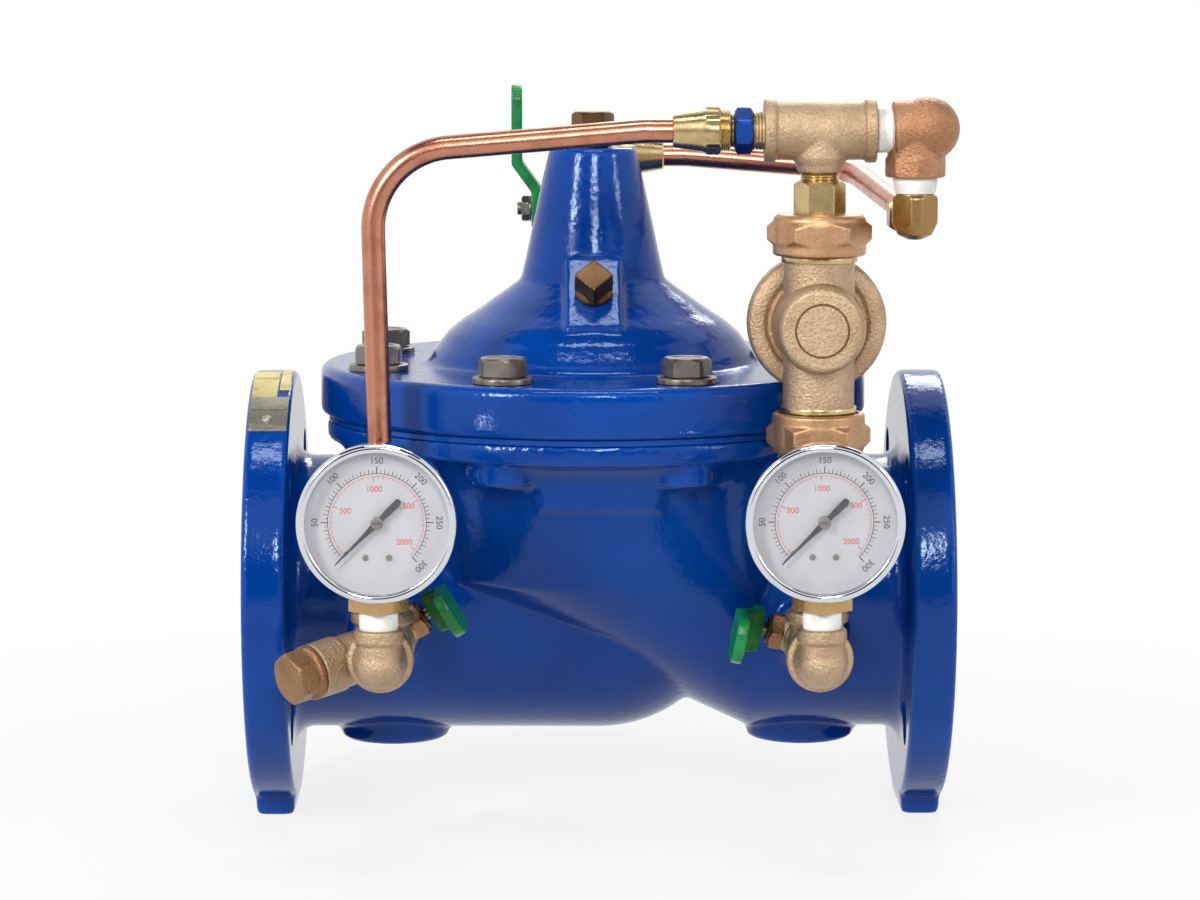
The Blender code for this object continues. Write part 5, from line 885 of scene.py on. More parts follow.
@dataclass
class Cover:
    """The blue cover: bolting flange, ring, cone, neck and its two tapping pads."""

    low: float = 0.0782
    radius: float = 0.1204
    thick: float = 0.0215
    ring: float = 0.070
    ring_rise: float = 0.013
    foot: float = 0.0318
    foot_z: float = 0.1365
    neck: float = 0.0193
    neck_z: float = 0.1945
    tilt: float = math.radians(42)
    pad_y: float = 0.045
    pad_z: float = 0.134

    def pad(self, side: int) -> tuple[Vector, Vector]:
        """Return the centre and the normal of the front or rear tapping pad."""
        face = Vector((SEAT_X, side * self.pad_y, self.pad_z))
        return face, Vector((0, side * math.cos(self.tilt), math.sin(self.tilt)))

    def outside(self) -> Solid:
        """Turn the cover and set the pads into its neck."""
        high = self.low + self.thick
        ring_top = high + self.ring_rise
        profile = [(0, self.neck_z), *arc((self.neck - 0.002, self.neck_z - 0.002), 0.002, 90, 0, 4)]
        profile += [(0.0219, 0.1817), (0.0259, 0.1636), (0.0297, 0.1455), (self.foot, self.foot_z)]
        profile += [(0.0377, 0.1320), (0.0442, 0.1274), (0.0504, 0.1229), (0.0576, 0.1184),
                    (0.0625, ring_top + 0.0018)]
        profile += arc((0.0632, ring_top - 0.0015), 0.0020, 70, 10, 3)
        profile += arc((self.ring + 0.0065, high + 0.0055), 0.0055, 188, 268, 6)
        profile += arc((self.radius - 0.004, high - 0.004), 0.004, 90, 0, 6)
        profile += [(self.radius, self.low + 0.0015), (self.radius - 0.0015, self.low), (0, self.low)]
        solids = [Solid.turned(profile, (SEAT_X, 0, 0), Z, 160)]
        for side in (-1, 1):
            face, normal = self.pad(side)
            size = (0.0250, 0.040, 0.030)
            solids.append(Solid.block(size, face - normal * 0.015, normal, X, 0.0012))
        return several(solids)

    def rooms(self) -> list[Solid]:
        """Return the spring room, the stem's guide and the holes."""
        room = [(0, 0.1805), (0.0095, 0.1805), (0.0095, 0.164), (0.00735, 0.162), (0.00735, 0.1465),
                (0.013, 0.1465)]
        room += [(0.013, 0.1315), (0.0262, 0.1315), (0.0262, 0.1187), (0.059, 0.0997), (0.068, 0.0917)]
        room += [(0.086, self.low + 0.003), (0.086, self.low - OVER), (0, self.low - OVER)]
        tools = [Solid.turned(room, (SEAT_X, 0, 0), Z, 96)]
        tools.append(Solid.rod(TAPPED, (SEAT_X, 0, 0.1795), (SEAT_X, 0, 0.2045)))
        for side in (-1, 1):
            face, normal = self.pad(side)
            tools.append(Solid.rod(TAPPED, face - normal * 0.028, face + normal * 0.01))
        high = self.low + self.thick
        for x, y in bolt_places():
            tools.append(Solid.rod(BOLT_HOLE, (x, y, self.low - 0.01), (x, y, high + 0.01), steps=32))
            tools.append(Solid.rod(0.0140, (x, y, high - 0.0001), (x, y, high + 0.01), steps=48))
        return tools

    def build(self, bench: Bench) -> None:
        """Cast the cover and machine it."""
        cover = self.outside().cast(0.0012, 5)
        cover.cut(Solid.rod(self.radius + OVER, (SEAT_X, 0, self.low - 0.01), (SEAT_X, 0, self.low)))
        cover.cut(*self.rooms())
        bench.piece("cover_casting", cover, EPOXY, nodes=["cover"], sharp=40)
        low, high = self.low - 0.0029, self.low - 0.0001
        edge = [(0.1140, low), (0.1168, low), (0.1171, low + 0.0004), (0.1171, high - 0.0004), (0.1168, high),
                (0.1140, high)]
        bench.piece("painted_seam", Solid.turned(edge, (SEAT_X, 0, 0), Z, 160, True), EPOXY)


@dataclass
class CoverBolts:
    """The eight hexagon bolts with washers that hold the cover."""

    seat: float = 0.1000
    washer: float = 0.0130
    washer_thick: float = 0.0024
    head: float = 0.0082
    flats: float = 0.019

    def shape(self) -> Solid:
        """Make one bolt standing at the origin."""
        top = self.seat + self.washer_thick
        rim = arc((self.washer - 0.0007, top - 0.0007), 0.0007, 90, 0, 3)
        profile = [(0, top + 0.0008), (0.0088, top + 0.0008), (0.0088, top), *rim, (self.washer, self.seat)]
        profile += [(0.006, self.seat), (0.006, top - 0.0415), (0, top - 0.0415)]
        bolt = Solid.turned(profile, steps=48)
        head = Solid.prism(self.flats, top + 0.0006, top + self.head, chamfer=0.0017, both=False)
        dish = Solid.turned([(0, top + self.head + 0.001), (0.0072, top + self.head + 0.001),
                             (0.0066, top + self.head - 0.0003), (0, top + self.head - 0.0003)], steps=48)
        return bolt.join(head.cut(dish))

    def build(self, bench: Bench) -> None:
        """Set a bolt in each hole, each turned its own way."""
        for number, (x, y) in enumerate(bolt_places(), 1):
            turn = Matrix.Rotation(math.radians(17) * number, 4, "Z")
            bolt = self.shape().moved(Matrix.Translation((x, y, 0)) @ turn)
            bench.piece(f"bolt_{number}", bolt, ZINC, nodes=[f"cover_bolt_{number}"])


# Pipe fittings

def threaded(radius: float, start: Sequence[float], end: Sequence[float], pitch: float = 0.0010) -> Solid:
    """Turn a short thread as a stack of fine ridges between two points."""
    start = Vector(start)
    span = Vector(end) - start
    ridges = max(2, round(span.length / pitch))
    step = span.length / ridges
    profile = [(0, span.length)]
    for ridge in range(ridges):
        profile += [(radius - 0.0004, span.length - ridge * step),
                    (radius, span.length - (ridge + 0.5) * step)]
    return Solid.turned([*profile, (radius - 0.0004, 0), (0, 0)], start, span, 40)


def nut(flats: float, low: float, high: float, at: Sequence[float], along: Vector,
        side: Vector | None = None) -> Solid:
    """Make a hexagon with turned chamfers at both ends."""
    return Solid.prism(flats, low, high, at, along, side, chamfer=flats * 0.075)


@dataclass
class Plugs:
    """The hexagon plug on the neck and the square-headed plug in the cover's front pad."""

    neck_z: float = 0.1945

    def build(self, bench: Bench) -> None:
        """Screw both plugs in."""
        at = (SEAT_X, 0, self.neck_z)
        plug = Solid.prism(0.0165, 0.0040, 0.0155, at, Z, chamfer=0.0014, both=False)
        plug.join(Solid.turned([(0, 0.0042), (0.0084, 0.0042), (0.0090, 0.0036), (0.0090, 0.0009),
                                (0.0084, GAP),
                                (0, GAP)], at, Z, 64))
        plug.join(threaded(THREAD, (SEAT_X, 0, self.neck_z - 0.006), (SEAT_X, 0, self.neck_z + 0.002)))
        bench.piece("neck_plug", plug, DARK_BRONZE, nodes=["top_plug"])
        face, normal = Cover().pad(-1)
        head = Solid.prism(0.0122, 0.0022, 0.0126, face, normal, X, 4)
        collar = Solid.turned([(0, 0.0034), (0.0066, 0.0034), (0.0082, 0.0016), (0.0082, GAP), (0, GAP)],
                              face, normal)
        plug = several([head, collar]).cast(FINE_VOXEL, 3)
        plug.join(threaded(THREAD, face - normal * 0.009, face + normal * 0.001))
        bench.piece("pad_plug", plug, DARK_BRONZE, nodes=["cover_plug"])


@dataclass
class Cock:
    """A small ball cock with a vinyl-dipped lever, drawn open."""

    name: str
    centre: Vector
    flow: Vector
    stem: Vector
    length: float
    male: float
    radius: float = 0.0112
    ball: float = 0.0070
    seat: float = 0.0250
    lever: float = 0.056
    width: float = 0.0190
    thick: float = 0.0050
    offset: float = 0.0090

    def body(self) -> Solid:
        """Cast the body and machine its ends, ball room and stem hole."""
        half = self.length / 2
        at, flow, stem = self.centre, self.flow, self.stem
        parts = [
            Solid.rod(self.radius, at - flow * (half - 0.008), at + flow * half, 0.0012),
            Solid.prism(0.0215, -half, -half + 0.0105, at, flow, stem, chamfer=0.0014),
            Solid.rod(0.0126, at + flow * (half - 0.0045), at + flow * half, 0.0012) if half > 0.02 else
            Solid.rod(0.0108, at, at + flow * half * 0.9, 0.001),
            Solid.turned([(0, 0.0155), (0.0068, 0.0155), (0.0078, 0.0115), (0.0100, 0.0080), (0, 0.0080)], at,
                         stem),
        ]
        body = several(parts).cast(FINE_VOXEL, 3)
        body.join(threaded(0.0062, at + stem * 0.0150, at + stem * 0.0200, 0.0009))
        body.join(threaded(THREAD, at - flow * (half + self.male), at - flow * (half - 0.002)))
        body.cut(
            Solid.rod(NARROW_WAY, at - flow * (half + self.male + OVER), at + flow * half),
            Solid.rod(TAPPED, at + flow * (half - 0.005), at + flow * (half + OVER)),
            Solid.rod(0.0032, at + stem * OVER, at + stem * 0.0225, steps=32),
        )
        return body

    def gland(self) -> Solid:
        """Turn the packing nut round the stem."""
        gland = nut(0.0146, 0.0128, 0.0190, self.centre, self.stem, self.flow)
        gland.join(Solid.rod(0.0058, self.centre + self.stem * 0.018, self.centre + self.stem * 0.0202,
                             0.0005, 40))
        return gland.cut(Solid.rod(0.0034, self.centre, self.centre + self.stem * 0.03, steps=32))

    def closure(self) -> Solid:
        """Make the bored ball with its stem, the washer and the lever nut."""
        at, stem = self.centre, self.stem
        top = self.seat + self.thick / 2
        ball = Solid.ball(self.ball, at)
        ball.join(Solid.rod(0.0029, at + stem * 0.003, at + stem * (top + 0.0064), 0.0004, 32))
        ball.join(nut(0.0100, top + 0.0006, top + 0.0045, at, stem, self.flow))
        ball.join(Solid.rod(0.0058, at + stem * (top + 0.0001), at + stem * (top + 0.0009), 0.0002, 40))
        return ball.cut(Solid.rod(NARROW_WAY, at - self.flow * 0.02, at + self.flow * 0.02, steps=40))

    def blade(self) -> Solid:
        """Bend the lever's strip, thicken it and round it as dipping does."""
        rise = 0.4 * math.pi / 2
        run = self.offset / math.tan(rise)
        stations = [(-0.0085, 0.0, 0.30), (-0.0068, 0.0, 0.44), (0.0085, 0.0, 0.48),
                    (0.0085 + run, self.offset, 0.50),
                    (self.lever - 0.006, self.offset, 0.50), (self.lever - 0.0015, self.offset, 0.40),
                    (self.lever, self.offset, 0.20)]
        bm = bmesh.new()
        rows = [[bm.verts.new((x, side * share * self.width, z)) for side in (-1, 1)]
                for x, z, share in stations]
        for row, after in zip(rows, rows[1:]):
            bm.faces.new((row[0], after[0], after[1], row[1]))
        blade = Solid(bm, place(self.centre + self.stem * self.seat, self.stem, self.flow))
        blade.apply([("SOLIDIFY", {"thickness": self.thick * 0.98, "offset": 0.0, "use_even_offset": True})])
        blade.cast(0.0006, 9)
        return blade.cut(Solid.rod(0.0032, self.centre, self.centre + self.stem * 0.04, steps=32))

    def build(self, bench: Bench) -> None:
        """Finish the cock's pieces."""
        bench.piece(f"{self.name}_casting", self.body(), BRONZE, nodes=[f"{self.name}_body"])
        bench.piece(f"{self.name}_gland_nut", self.gland(), CAP_BRONZE)
        bench.piece(f"{self.name}_stem_nut", self.closure(), ZINC, self.name, [f"{self.name}_ball"])
        bench.piece(f"{self.name}_grip", self.blade(), VINYL, self.name, [f"{self.name}_lever"])


@dataclass
class Tee:
    """A cast threaded tee whose run ends are banded; its branch may be banded too."""

    name: str
    centre: Vector
    run: Vector
    branch: Vector
    half: float
    rise: float
    nipple: bool = False
    banded: bool = True
    radius: float = 0.0120
    band: float = 0.0132
    width: float = 0.0048
    arms: list[Solid] = field(default_factory=list)

    def shape(self) -> Solid:
        """Cast the tee and tap it."""
        at, run, branch = self.centre, self.run, self.branch
        parts = [Solid.rod(self.radius, at - run * (self.half - 0.001), at + run * (self.half - 0.001)),
                 *self.arms]
        ends = [(run, self.half), (-run, self.half)]
        if self.banded:
            ends.append((branch, self.rise))
            parts.append(Solid.rod(self.radius - 0.0006, at, at + branch * (self.rise - 0.001)))
        else:
            neck = [(0, self.rise), (0.0088, self.rise), (0.0094, self.rise - 0.0010),
                    (0.0099, self.rise - 0.0030),
                    (0.0108, self.rise - 0.0046), (0.0114, self.rise - 0.0062), (0.0114, 0), (0, 0)]
            parts.append(Solid.turned(neck, at, branch))
        for way, reach in ends:
            parts.append(Solid.rod(self.band, at + way * (reach - self.width), at + way * reach, 0.0008))
        tee = several(parts).cast(FINE_VOXEL, 3)
        back = self.half + OVER
        if self.nipple:
            end = at - run * (self.half + 0.0047)
            tee.join(threaded(THREAD, at - run * 0.012, end))
            tee.cut(Solid.rod(NARROW_WAY, at, end - run * OVER))
            back = OVER
        tee.cut(Solid.rod(TAPPED, at - run * back, at + run * (self.half + OVER)))
        return tee.cut(Solid.rod(TAPPED, at, at + branch * (self.rise + OVER)))

    def build(self, bench: Bench, *tools: Solid) -> None:
        """Finish the tee."""
        bench.piece(f"{self.name}_casting", self.shape().cut(*tools), BRONZE, nodes=[self.name])


@dataclass
class Strainer:
    """The Y-strainer on the inlet tapping: a tee with a slanting basket chamber and a cap."""

    way: Vector = Vector((-0.79, -0.59, -0.175)).normalized()
    radius: float = 0.0118
    length: float = 0.0362
    basket: float = 0.0084
    flats: float = 0.0200

    def build(self, bench: Bench) -> None:
        """Cast the strainer's body and screw its cap in."""
        centre = Vector((-TAP_X, LOOP_Y, TAP_Z))
        root = centre + Y * 0.0075
        end = root + self.way * self.length
        arm = Solid.rod(self.radius - 0.0008, root, end)
        lip = Solid.rod(self.radius, end - self.way * 0.013, end, 0.0008)
        tee = Tee("inlet_strainer", centre, -Y, Z, TEE_HALF, TEE_RISE, True, arms=[arm, lip])
        tee.build(bench, Solid.rod(self.basket, root, end + self.way * OVER))
        face = end + self.way * GAP
        cap = Solid.turned([(0, 0.0030), (self.radius - 0.0006, 0.0030), (self.radius, 0.0024),
                            (self.radius, 0.0004),
                            (self.radius - 0.0004, 0), (0, 0)], face, self.way)
        head = Solid.prism(self.flats, 0.0022, 0.0125, face, self.way, Z, chamfer=0.0012, both=False)
        cap = several([cap, head]).cast(FINE_VOXEL, 1)
        cap.join(threaded(self.basket - GAP, face - self.way * 0.006, face + self.way * 0.001))
        bench.piece("strainer_plug", cap, CAP_BRONZE, nodes=["strainer_cap"])
        wall = [(0.0066, 0.0), (0.0066, 0.0160), (0.0058, 0.0160), (0.0058, 0.0)]
        screen = Solid.turned(wall, root + self.way * 0.0130, self.way, 48, True)
        bench.piece("strainer_basket", screen, STEEL, nodes=["strainer_screen"])


@dataclass
class Gauge:
    """A pressure gauge on its elbow: case, bezel, window, dial, marks and pointer."""

    side: str
    x: float
    centre_z: float = 0.0488
    radius: float = 0.0329
    case: float = 0.0314
    back: float = 0.1335
    front: float = 0.1600
    dial: float = 0.1530
    top: float = 300.0
    red_top: float = 2068.0
    scale: float = 0.0202
    red_scale: float = 0.0190
    start: float = math.radians(225)
    sweep: float = math.radians(270)

    @property
    def centre(self) -> tuple[float, float, float]:
        """The middle of the case, in the plane of the pipe's axis."""
        return self.x, 0, self.centre_z

    def elbow(self) -> Solid:
        """Cast the elbow that turns the tapping line up to the gauge."""
        back = LOOP_Y - TEE_HALF - GAP
        centre = Vector((self.x, GAUGE_STEM_Y, TAP_Z))
        run = back - GAUGE_STEM_Y
        parts = [
            Solid.rod(0.0094, centre, (self.x, GAUGE_STEM_Y, 0.0025)),
            Solid.ball(0.0100, centre),
            Solid.rod(0.0103, (self.x, GAUGE_STEM_Y, -0.0026), (self.x, GAUGE_STEM_Y, 0.0030), 0.0006),
            Solid.turned([(0, run), (0.0130, run), (0.0140, run - 0.001), (0.0140, run - 0.0052),
                          (0.0131, run - 0.0062), (0.0112, run - 0.0066), (0.0104, 0), (0, 0)], centre, Y),
        ]
        elbow = several(parts).cast(FINE_VOXEL, 3)
        elbow.join(threaded(THREAD, (self.x, back - 0.002, TAP_Z), (self.x, back + 0.0065, TAP_Z)))
        elbow.cut(Solid.rod(NARROW_WAY, centre, (self.x, back + 0.010, TAP_Z)))
        return elbow.cut(Solid.rod(TAPPED, (self.x, GAUGE_STEM_Y, -0.011), (self.x, GAUGE_STEM_Y, 0.01)))

    def shell(self) -> Solid:
        """Draw the cup of the case and join its socket."""
        inner = self.case - 0.0013
        outline = [(0, self.dial), (inner, self.dial), (inner, self.front - 0.004),
                   (self.case, self.front - 0.004)]
        outline += [(self.case, self.back + 0.003),
                    *arc((self.case - 0.003, self.back + 0.003), 0.003, 0, -90, 8)]
        return Solid.turned([*outline, (0, self.back)], self.centre, -Y, 96)

    def bezel(self) -> Solid:
        """Roll the bezel ring over the case's edge."""
        front, radius = self.front, self.radius
        lip = [(radius - 0.0034, front - 0.0012), (radius - 0.0034, front - 0.0006),
               (radius - 0.0030, front - 0.0002)]
        outline = [*lip, (radius - 0.0022, front), *arc((radius - 0.0020, front - 0.0020), 0.0020, 80, 0, 8)]
        outline += [(radius, front - 0.0069), *arc((radius - 0.0006, front - 0.0069), 0.0006, 0, -90, 3)]
        outline += [(self.case - 0.0002, front - 0.0075), (self.case - 0.0002, front - 0.0022)]
        return Solid.turned(outline, self.centre, -Y, 128, True)

    def at(self, radius: float, value: float, lift: float) -> Vector:
        """Return a place on the dial for a scale value, so far from its centre and above its face."""
        angle = self.start - self.sweep * value / self.top
        return Vector((self.x + radius * math.cos(angle), -self.dial - lift,
                       self.centre_z + radius * math.sin(angle)))

    def ticks(self, values: Sequence[float], inner: float, outer: float, width: float) -> Solid:
        """Print strokes across the scale at these values."""
        bm = bmesh.new()
        for value in values:
            low, high = self.at(inner, value, 0), self.at(outer, value, 0)
            across = (high - low).normalized().cross(Y) * width / 2
            corners = [low - across, low + across, high + across, high - across]
            bmesh.ops.create_cube(bm, size=1.0, matrix=stroke(corners))
        return Solid(bm)

    def line(self, radius: float, width: float) -> Solid:
        """Print the arc that the strokes stand on."""
        bm = bmesh.new()
        for step in range(90):
            ends = [self.at(radius, self.top * (step + share) / 90, 0) for share in (-0.02, 1.02)]
            across = (ends[1] - ends[0]).normalized().cross(Y) * width / 2
            corners = [ends[0] - across, ends[0] + across, ends[1] + across, ends[1] - across]
            bmesh.ops.create_cube(bm, size=1.0, matrix=stroke(corners))
        return Solid(bm)

    def number(self, text: str, value: float, radius: float, size: float, turned: bool) -> Solid:
        """Print one plain number of the scale."""
        curve = bpy.data.curves.new("number", "FONT")
        curve.body = text
        curve.size = size
        curve.align_x = "CENTER"
        curve.align_y = "CENTER"
        curve.extrude = 0.00005
        holder = shown("number", curve)
        bpy.context.view_layer.update()
        graph = bpy.context.evaluated_depsgraph_get()
        mesh = bpy.data.meshes.new_from_object(holder.evaluated_get(graph), depsgraph=graph)
        bpy.data.objects.remove(holder)
        lean = self.start - self.sweep * value / self.top - math.pi / 2
        tilt = Matrix.Rotation(-lean if turned else 0.0, 4, "Y")
        bm = bmesh.new()
        bm.from_mesh(mesh)
        upright = Matrix.Rotation(math.pi / 2, 4, "X")
        return Solid(bm, Matrix.Translation(self.at(radius, value, 0.00016)) @ tilt @ upright)

    def pointer(self) -> Solid:
        """Stamp the pointer: a fine tapered tip, a round-ended tail and its hub."""
        angle = math.radians(-135)
        tip = Matrix.Rotation(angle, 3, "Y") @ Z
        centre = Vector((self.x, -self.dial - 0.0022, self.centre_z))
        outline = [(0.0245, 0.00022), (0.0080, 0.0008), (0.0020, 0.0013), (-0.0040, 0.0011),
                   (-0.0065, 0.0014)]
        outline += [(-0.0121 - 0.0014 * math.cos(a), 0.0014 * math.sin(a)) for a in (1.57, 1.2, 0.8, 0.4)]
        outline += [(-0.0135, 0.0)] + [(u, -v) for u, v in outline[::-1]]
        side = tip.cross(Y)
        bm = bmesh.new()
        low = [bm.verts.new(centre + tip * u + side * v + Y * 0.0003) for u, v in outline]
        high = [bm.verts.new(centre + tip * u + side * v - Y * 0.0003) for u, v in outline]
        bm.faces.new(low)
        bm.faces.new(high[::-1])
        for index in range(len(outline)):
            after = (index + 1) % len(outline)
            bm.faces.new((low[index], low[after], high[after], high[index]))
        return Solid(bm)

    def dress_case(self, bench: Bench) -> None:
        """Finish the elbow, the case and its bezel, and a dark chrome ring of painted shade inside the bezel.
        """
        name, front = self.side, self.front - 0.0009
        bench.piece(f"{name}_elbow_casting", self.elbow(), BRONZE, nodes=[f"{name}_gauge_elbow"])
        bench.piece(f"{name}_gauge_cup", self.shell(), CHROME, nodes=[f"{name}_gauge_case"])
        bench.piece(f"{name}_gauge_bezel", self.bezel(), CHROME)
        # This dark chrome ring inside the bezel's lip is painted shade, standing for the shadow in the gap
        # between bezel and pane.
        groove = [(0.0301, front), (0.0301, front + 0.0003), *arc((0.0309, front), 0.0007, 120, 60, 3)]
        groove += [(0.0317, front + 0.0003), (0.0317, front)]
        bench.piece(f"{name}_bezel_groove", Solid.turned(groove, self.centre, -Y, 128, True), PAINTED_SHADE_CHROME)

    def dress_socket(self, bench: Bench) -> None:
        """Finish the square socket and the tape on its thread."""
        at = (self.x, GAUGE_STEM_Y, 0)
        socket = Solid.prism(0.0178, 0.0105, 0.0172, at, Z, Y, 4)
        socket.join(threaded(THREAD, (self.x, GAUGE_STEM_Y, -0.003), (self.x, GAUGE_STEM_Y, 0.0110)))
        bench.piece(f"{self.side}_gauge_socket", socket, FORGED)
        tape = [(0, 0.0104), (0.0078, 0.0104), (0.0081, 0.0098), (0.0080, 0.0060), (0.0081, 0.0045)]
        tape += [(0.0079, 0.0031), (0, 0.0031)]
        bench.piece(f"{self.side}_gauge_tape", Solid.turned(tape, at, Z, 48), TAPE)

    def dress_dial(self, bench: Bench) -> None:
        """Finish the dial and print its black scale and the red one inside it."""
        high = self.dial + 0.00012
        face = [(0, high), (0.0300, high), (0.0300, self.dial), (0, self.dial)]
        bench.piece(f"{self.side}_dial", Solid.turned(face, self.centre, -Y, 96), DIAL)
        strokes = ((5, 0.0217, 0.00020), (10, 0.0222, 0.00026), (50, 0.0230, 0.00040))
        black = [self.ticks(range(0, 301, every), self.scale, outer,
                            width) for every, outer, width in strokes]
        black.append(self.line(self.scale, 0.00024))
        black += [self.number(str(v), v, 0.0254, 0.0037, True) for v in range(50, 301, 50)]
        black.append(self.number("0", 0, 0.0180, 0.0032, True))
        bench.piece(f"{self.side}_dial_scale", several(black), BLACK)
        inner = [value * self.top / self.red_top for value in range(0, 2001, 50)]
        red = [self.ticks(inner, 0.0181, self.red_scale, 0.00018), self.line(0.0191, 0.00016)]
        red.append(self.ticks(inner[::10], 0.0170, self.red_scale, 0.00030))
        red += [self.number(str(500 * n), 500 * n * self.top / self.red_top, 0.0138, 0.0034, False)
                for n in range(1, 5)]
        bench.piece(f"{self.side}_dial_red_scale", several(red), RED)

    def dress_hand(self, bench: Bench) -> None:
        """Finish the pointer, its slotted hub and the dial's screws."""
        name, x, face, z = self.side, self.x, -self.dial, self.centre_z
        bench.piece(f"{name}_hand", self.pointer(), BLACK, f"{name}_pointer", [f"{name}_gauge_pointer"])
        hub = Solid.rod(0.0026, (x, face - 0.0004, z), (x, face - 0.0036, z), 0.0006, 40)
        hub.cut(Solid.block((0.0034, 0.0010, 0.0006), (x, face - 0.0036, z)))
        bench.piece(f"{name}_hub", hub, ZINC, f"{name}_pointer")
        low = z - 0.0145
        screws = [Solid.rod(0.0013, (x + side, face - 0.0001, low), (x + side, face - 0.0008, low), 0.0003,
                            24)
                  for side in (-0.0048, 0.0048)]
        bench.piece(f"{name}_dial_screws", several(screws), ZINC)

    def build(self, bench: Bench) -> None:
        """Finish every piece of the gauge."""
        self.dress_case(bench)
        self.dress_socket(bench)
        self.dress_dial(bench)
        self.dress_hand(bench)
        high, low = self.front - 0.0014, self.front - 0.0030
        pane = Solid.turned([(0, high), (0.0312, high), (0.0312, low), (0, low)], self.centre, -Y, 96)
        bench.piece(f"{self.side}_pane", pane, PANE)


def stroke(corners: list[Vector]) -> Matrix:
    """Return the matrix that fits a unit cube to a flat printed stroke between four corners."""
    middle = sum(corners, Vector()) / 4 - Y * 0.00016
    along, across = corners[3] - corners[0], corners[1] - corners[0]
    matrix = Matrix((across, Y * 0.00008, along)).transposed().to_4x4()
    matrix.translation = middle
    return matrix


def rounded_path(corners: Sequence[Sequence[float]], radius: float) -> list[Vector]:
    """Return a path through corners, each inner corner replaced by a smooth arc."""
    points = [Vector(corners[0])]
    for before, corner, after in zip(corners, corners[1:], corners[2:]):
        corner = Vector(corner)
        back = (Vector(before) - corner).normalized()
        ahead = (Vector(after) - corner).normalized()
        half = back.angle(ahead) / 2
        centre = corner + (back + ahead).normalized() * (radius / math.sin(half))
        first = corner + back * (radius / math.tan(half)) - centre
        last = corner + ahead * (radius / math.tan(half)) - centre
        turn = first.angle(last)
        steps = max(2, round(math.degrees(turn) / 3))
        normal = first.cross(last).normalized()
        turns = [Matrix.Rotation(turn * step / steps, 3, normal) for step in range(steps + 1)]
        points += [centre + rotation @ first for rotation in turns]
    return [*points, Vector(corners[-1])]


@dataclass
class FrontLine:
    """The copper line from the inlet strainer over to the pilot tee, with its fittings."""

    tube: float = 0.0050
    bend: float = 0.034
    nut_x: float = 0.0302
    fitting_top: float = 0.0420
    flats: float = 0.0175
    restriction: float = 0.0560
    tee_face: float = TAP_X - PILOT_TEE_HALF

    def lower_fitting(self) -> Solid:
        """Turn the fitting that stands on the strainer and takes the tube's lower end."""
        at = Vector((-TAP_X, LOOP_Y, 0))
        low, top = TEE_TOP_Z + GAP, self.fitting_top
        fitting = nut(0.0165, low, low + 0.0078, at, Z)
        fitting.join(Solid.rod(0.0072, (*at.xy, low + 0.006), (*at.xy, low + 0.015)))
        fitting.join(nut(self.flats, low + 0.0140, low + 0.0225, at, Z))
        cone = [(0, top), (0.0058, top), (0.0064, top - 0.0006), (0.0078, top - 0.008), (0.0085, low + 0.022)]
        fitting.join(Solid.turned([*cone, (0, low + 0.0215)], at, Z))
        fitting.join(threaded(THREAD, (*at.xy, low - 0.009), (*at.xy, low + 0.002)))
        return fitting.cut(Solid.rod(self.tube + GAP, (*at.xy, top - 0.0125), (*at.xy, top + OVER)))

    def upper_nut(self) -> Solid:
        """Turn the nut with its long cone that holds the tube's upper end."""
        at = Vector((self.nut_x, LOOP_Y, LOOP_Z))
        cone = [(0, 0.0203), *arc((0.0073, 0.0196), 0.0007, 60, 0, 3), (0.0090, 0.0190), (0.0091, 0.0135)]
        cone += [(0.0086, 0.0120), (0.0072, 0.0022), (0.0068, 0.0004), (0.0060, 0), (0, 0)]
        upper = Solid.turned(cone, at, X).join(nut(self.flats, 0.0130, 0.0203, at, X, Z))
        upper.join(threaded(0.0086, at + X * 0.0195, at + X * 0.0240))
        upper.cut(Solid.rod(self.tube + GAP, at - X * OVER, at + X * 0.0185))
        return upper.cut(Solid.rod(0.0072, at + X * 0.018, at + X * 0.026))

    def build(self, bench: Bench) -> None:
        """Finish the line."""
        bench.piece("lower_fitting", self.lower_fitting(), BRASS, nodes=["lower_tube_fitting"])
        top = self.fitting_top
        corners = [(-TAP_X, LOOP_Y, top - 0.012), (-TAP_X, LOOP_Y, top + 0.006)]
        corners += [(-TAP_X - 0.0035, LOOP_Y, LOOP_Z - 0.0095), (self.nut_x - 0.012, LOOP_Y, LOOP_Z)]
        corners += [(self.nut_x + 0.017, LOOP_Y, LOOP_Z)]
        line = Solid.tube(rounded_path(corners, self.bend), self.tube, 40)
        bench.piece("copper_front_line", line, COPPER, nodes=["front_tube"])
        bench.piece("upper_nut", self.upper_nut(), BRASS, nodes=["upper_tube_nut"])
        at = Vector((0, LOOP_Y, LOOP_Z))
        x = self.restriction
        hexed = nut(0.0170, x, x + 0.0076, at, X, Z)
        bench.piece("restriction_hex", hexed, BLUE_HEX, nodes=["restriction_fitting"])
        neck = threaded(THREAD, at + X * (self.nut_x + 0.020), at + X * (x + 0.001))
        neck.join(threaded(0.0081, at + X * (x + 0.006), at + X * (self.tee_face + 0.006), 0.0013))
        bench.piece("restriction_neck", neck, BRASS)


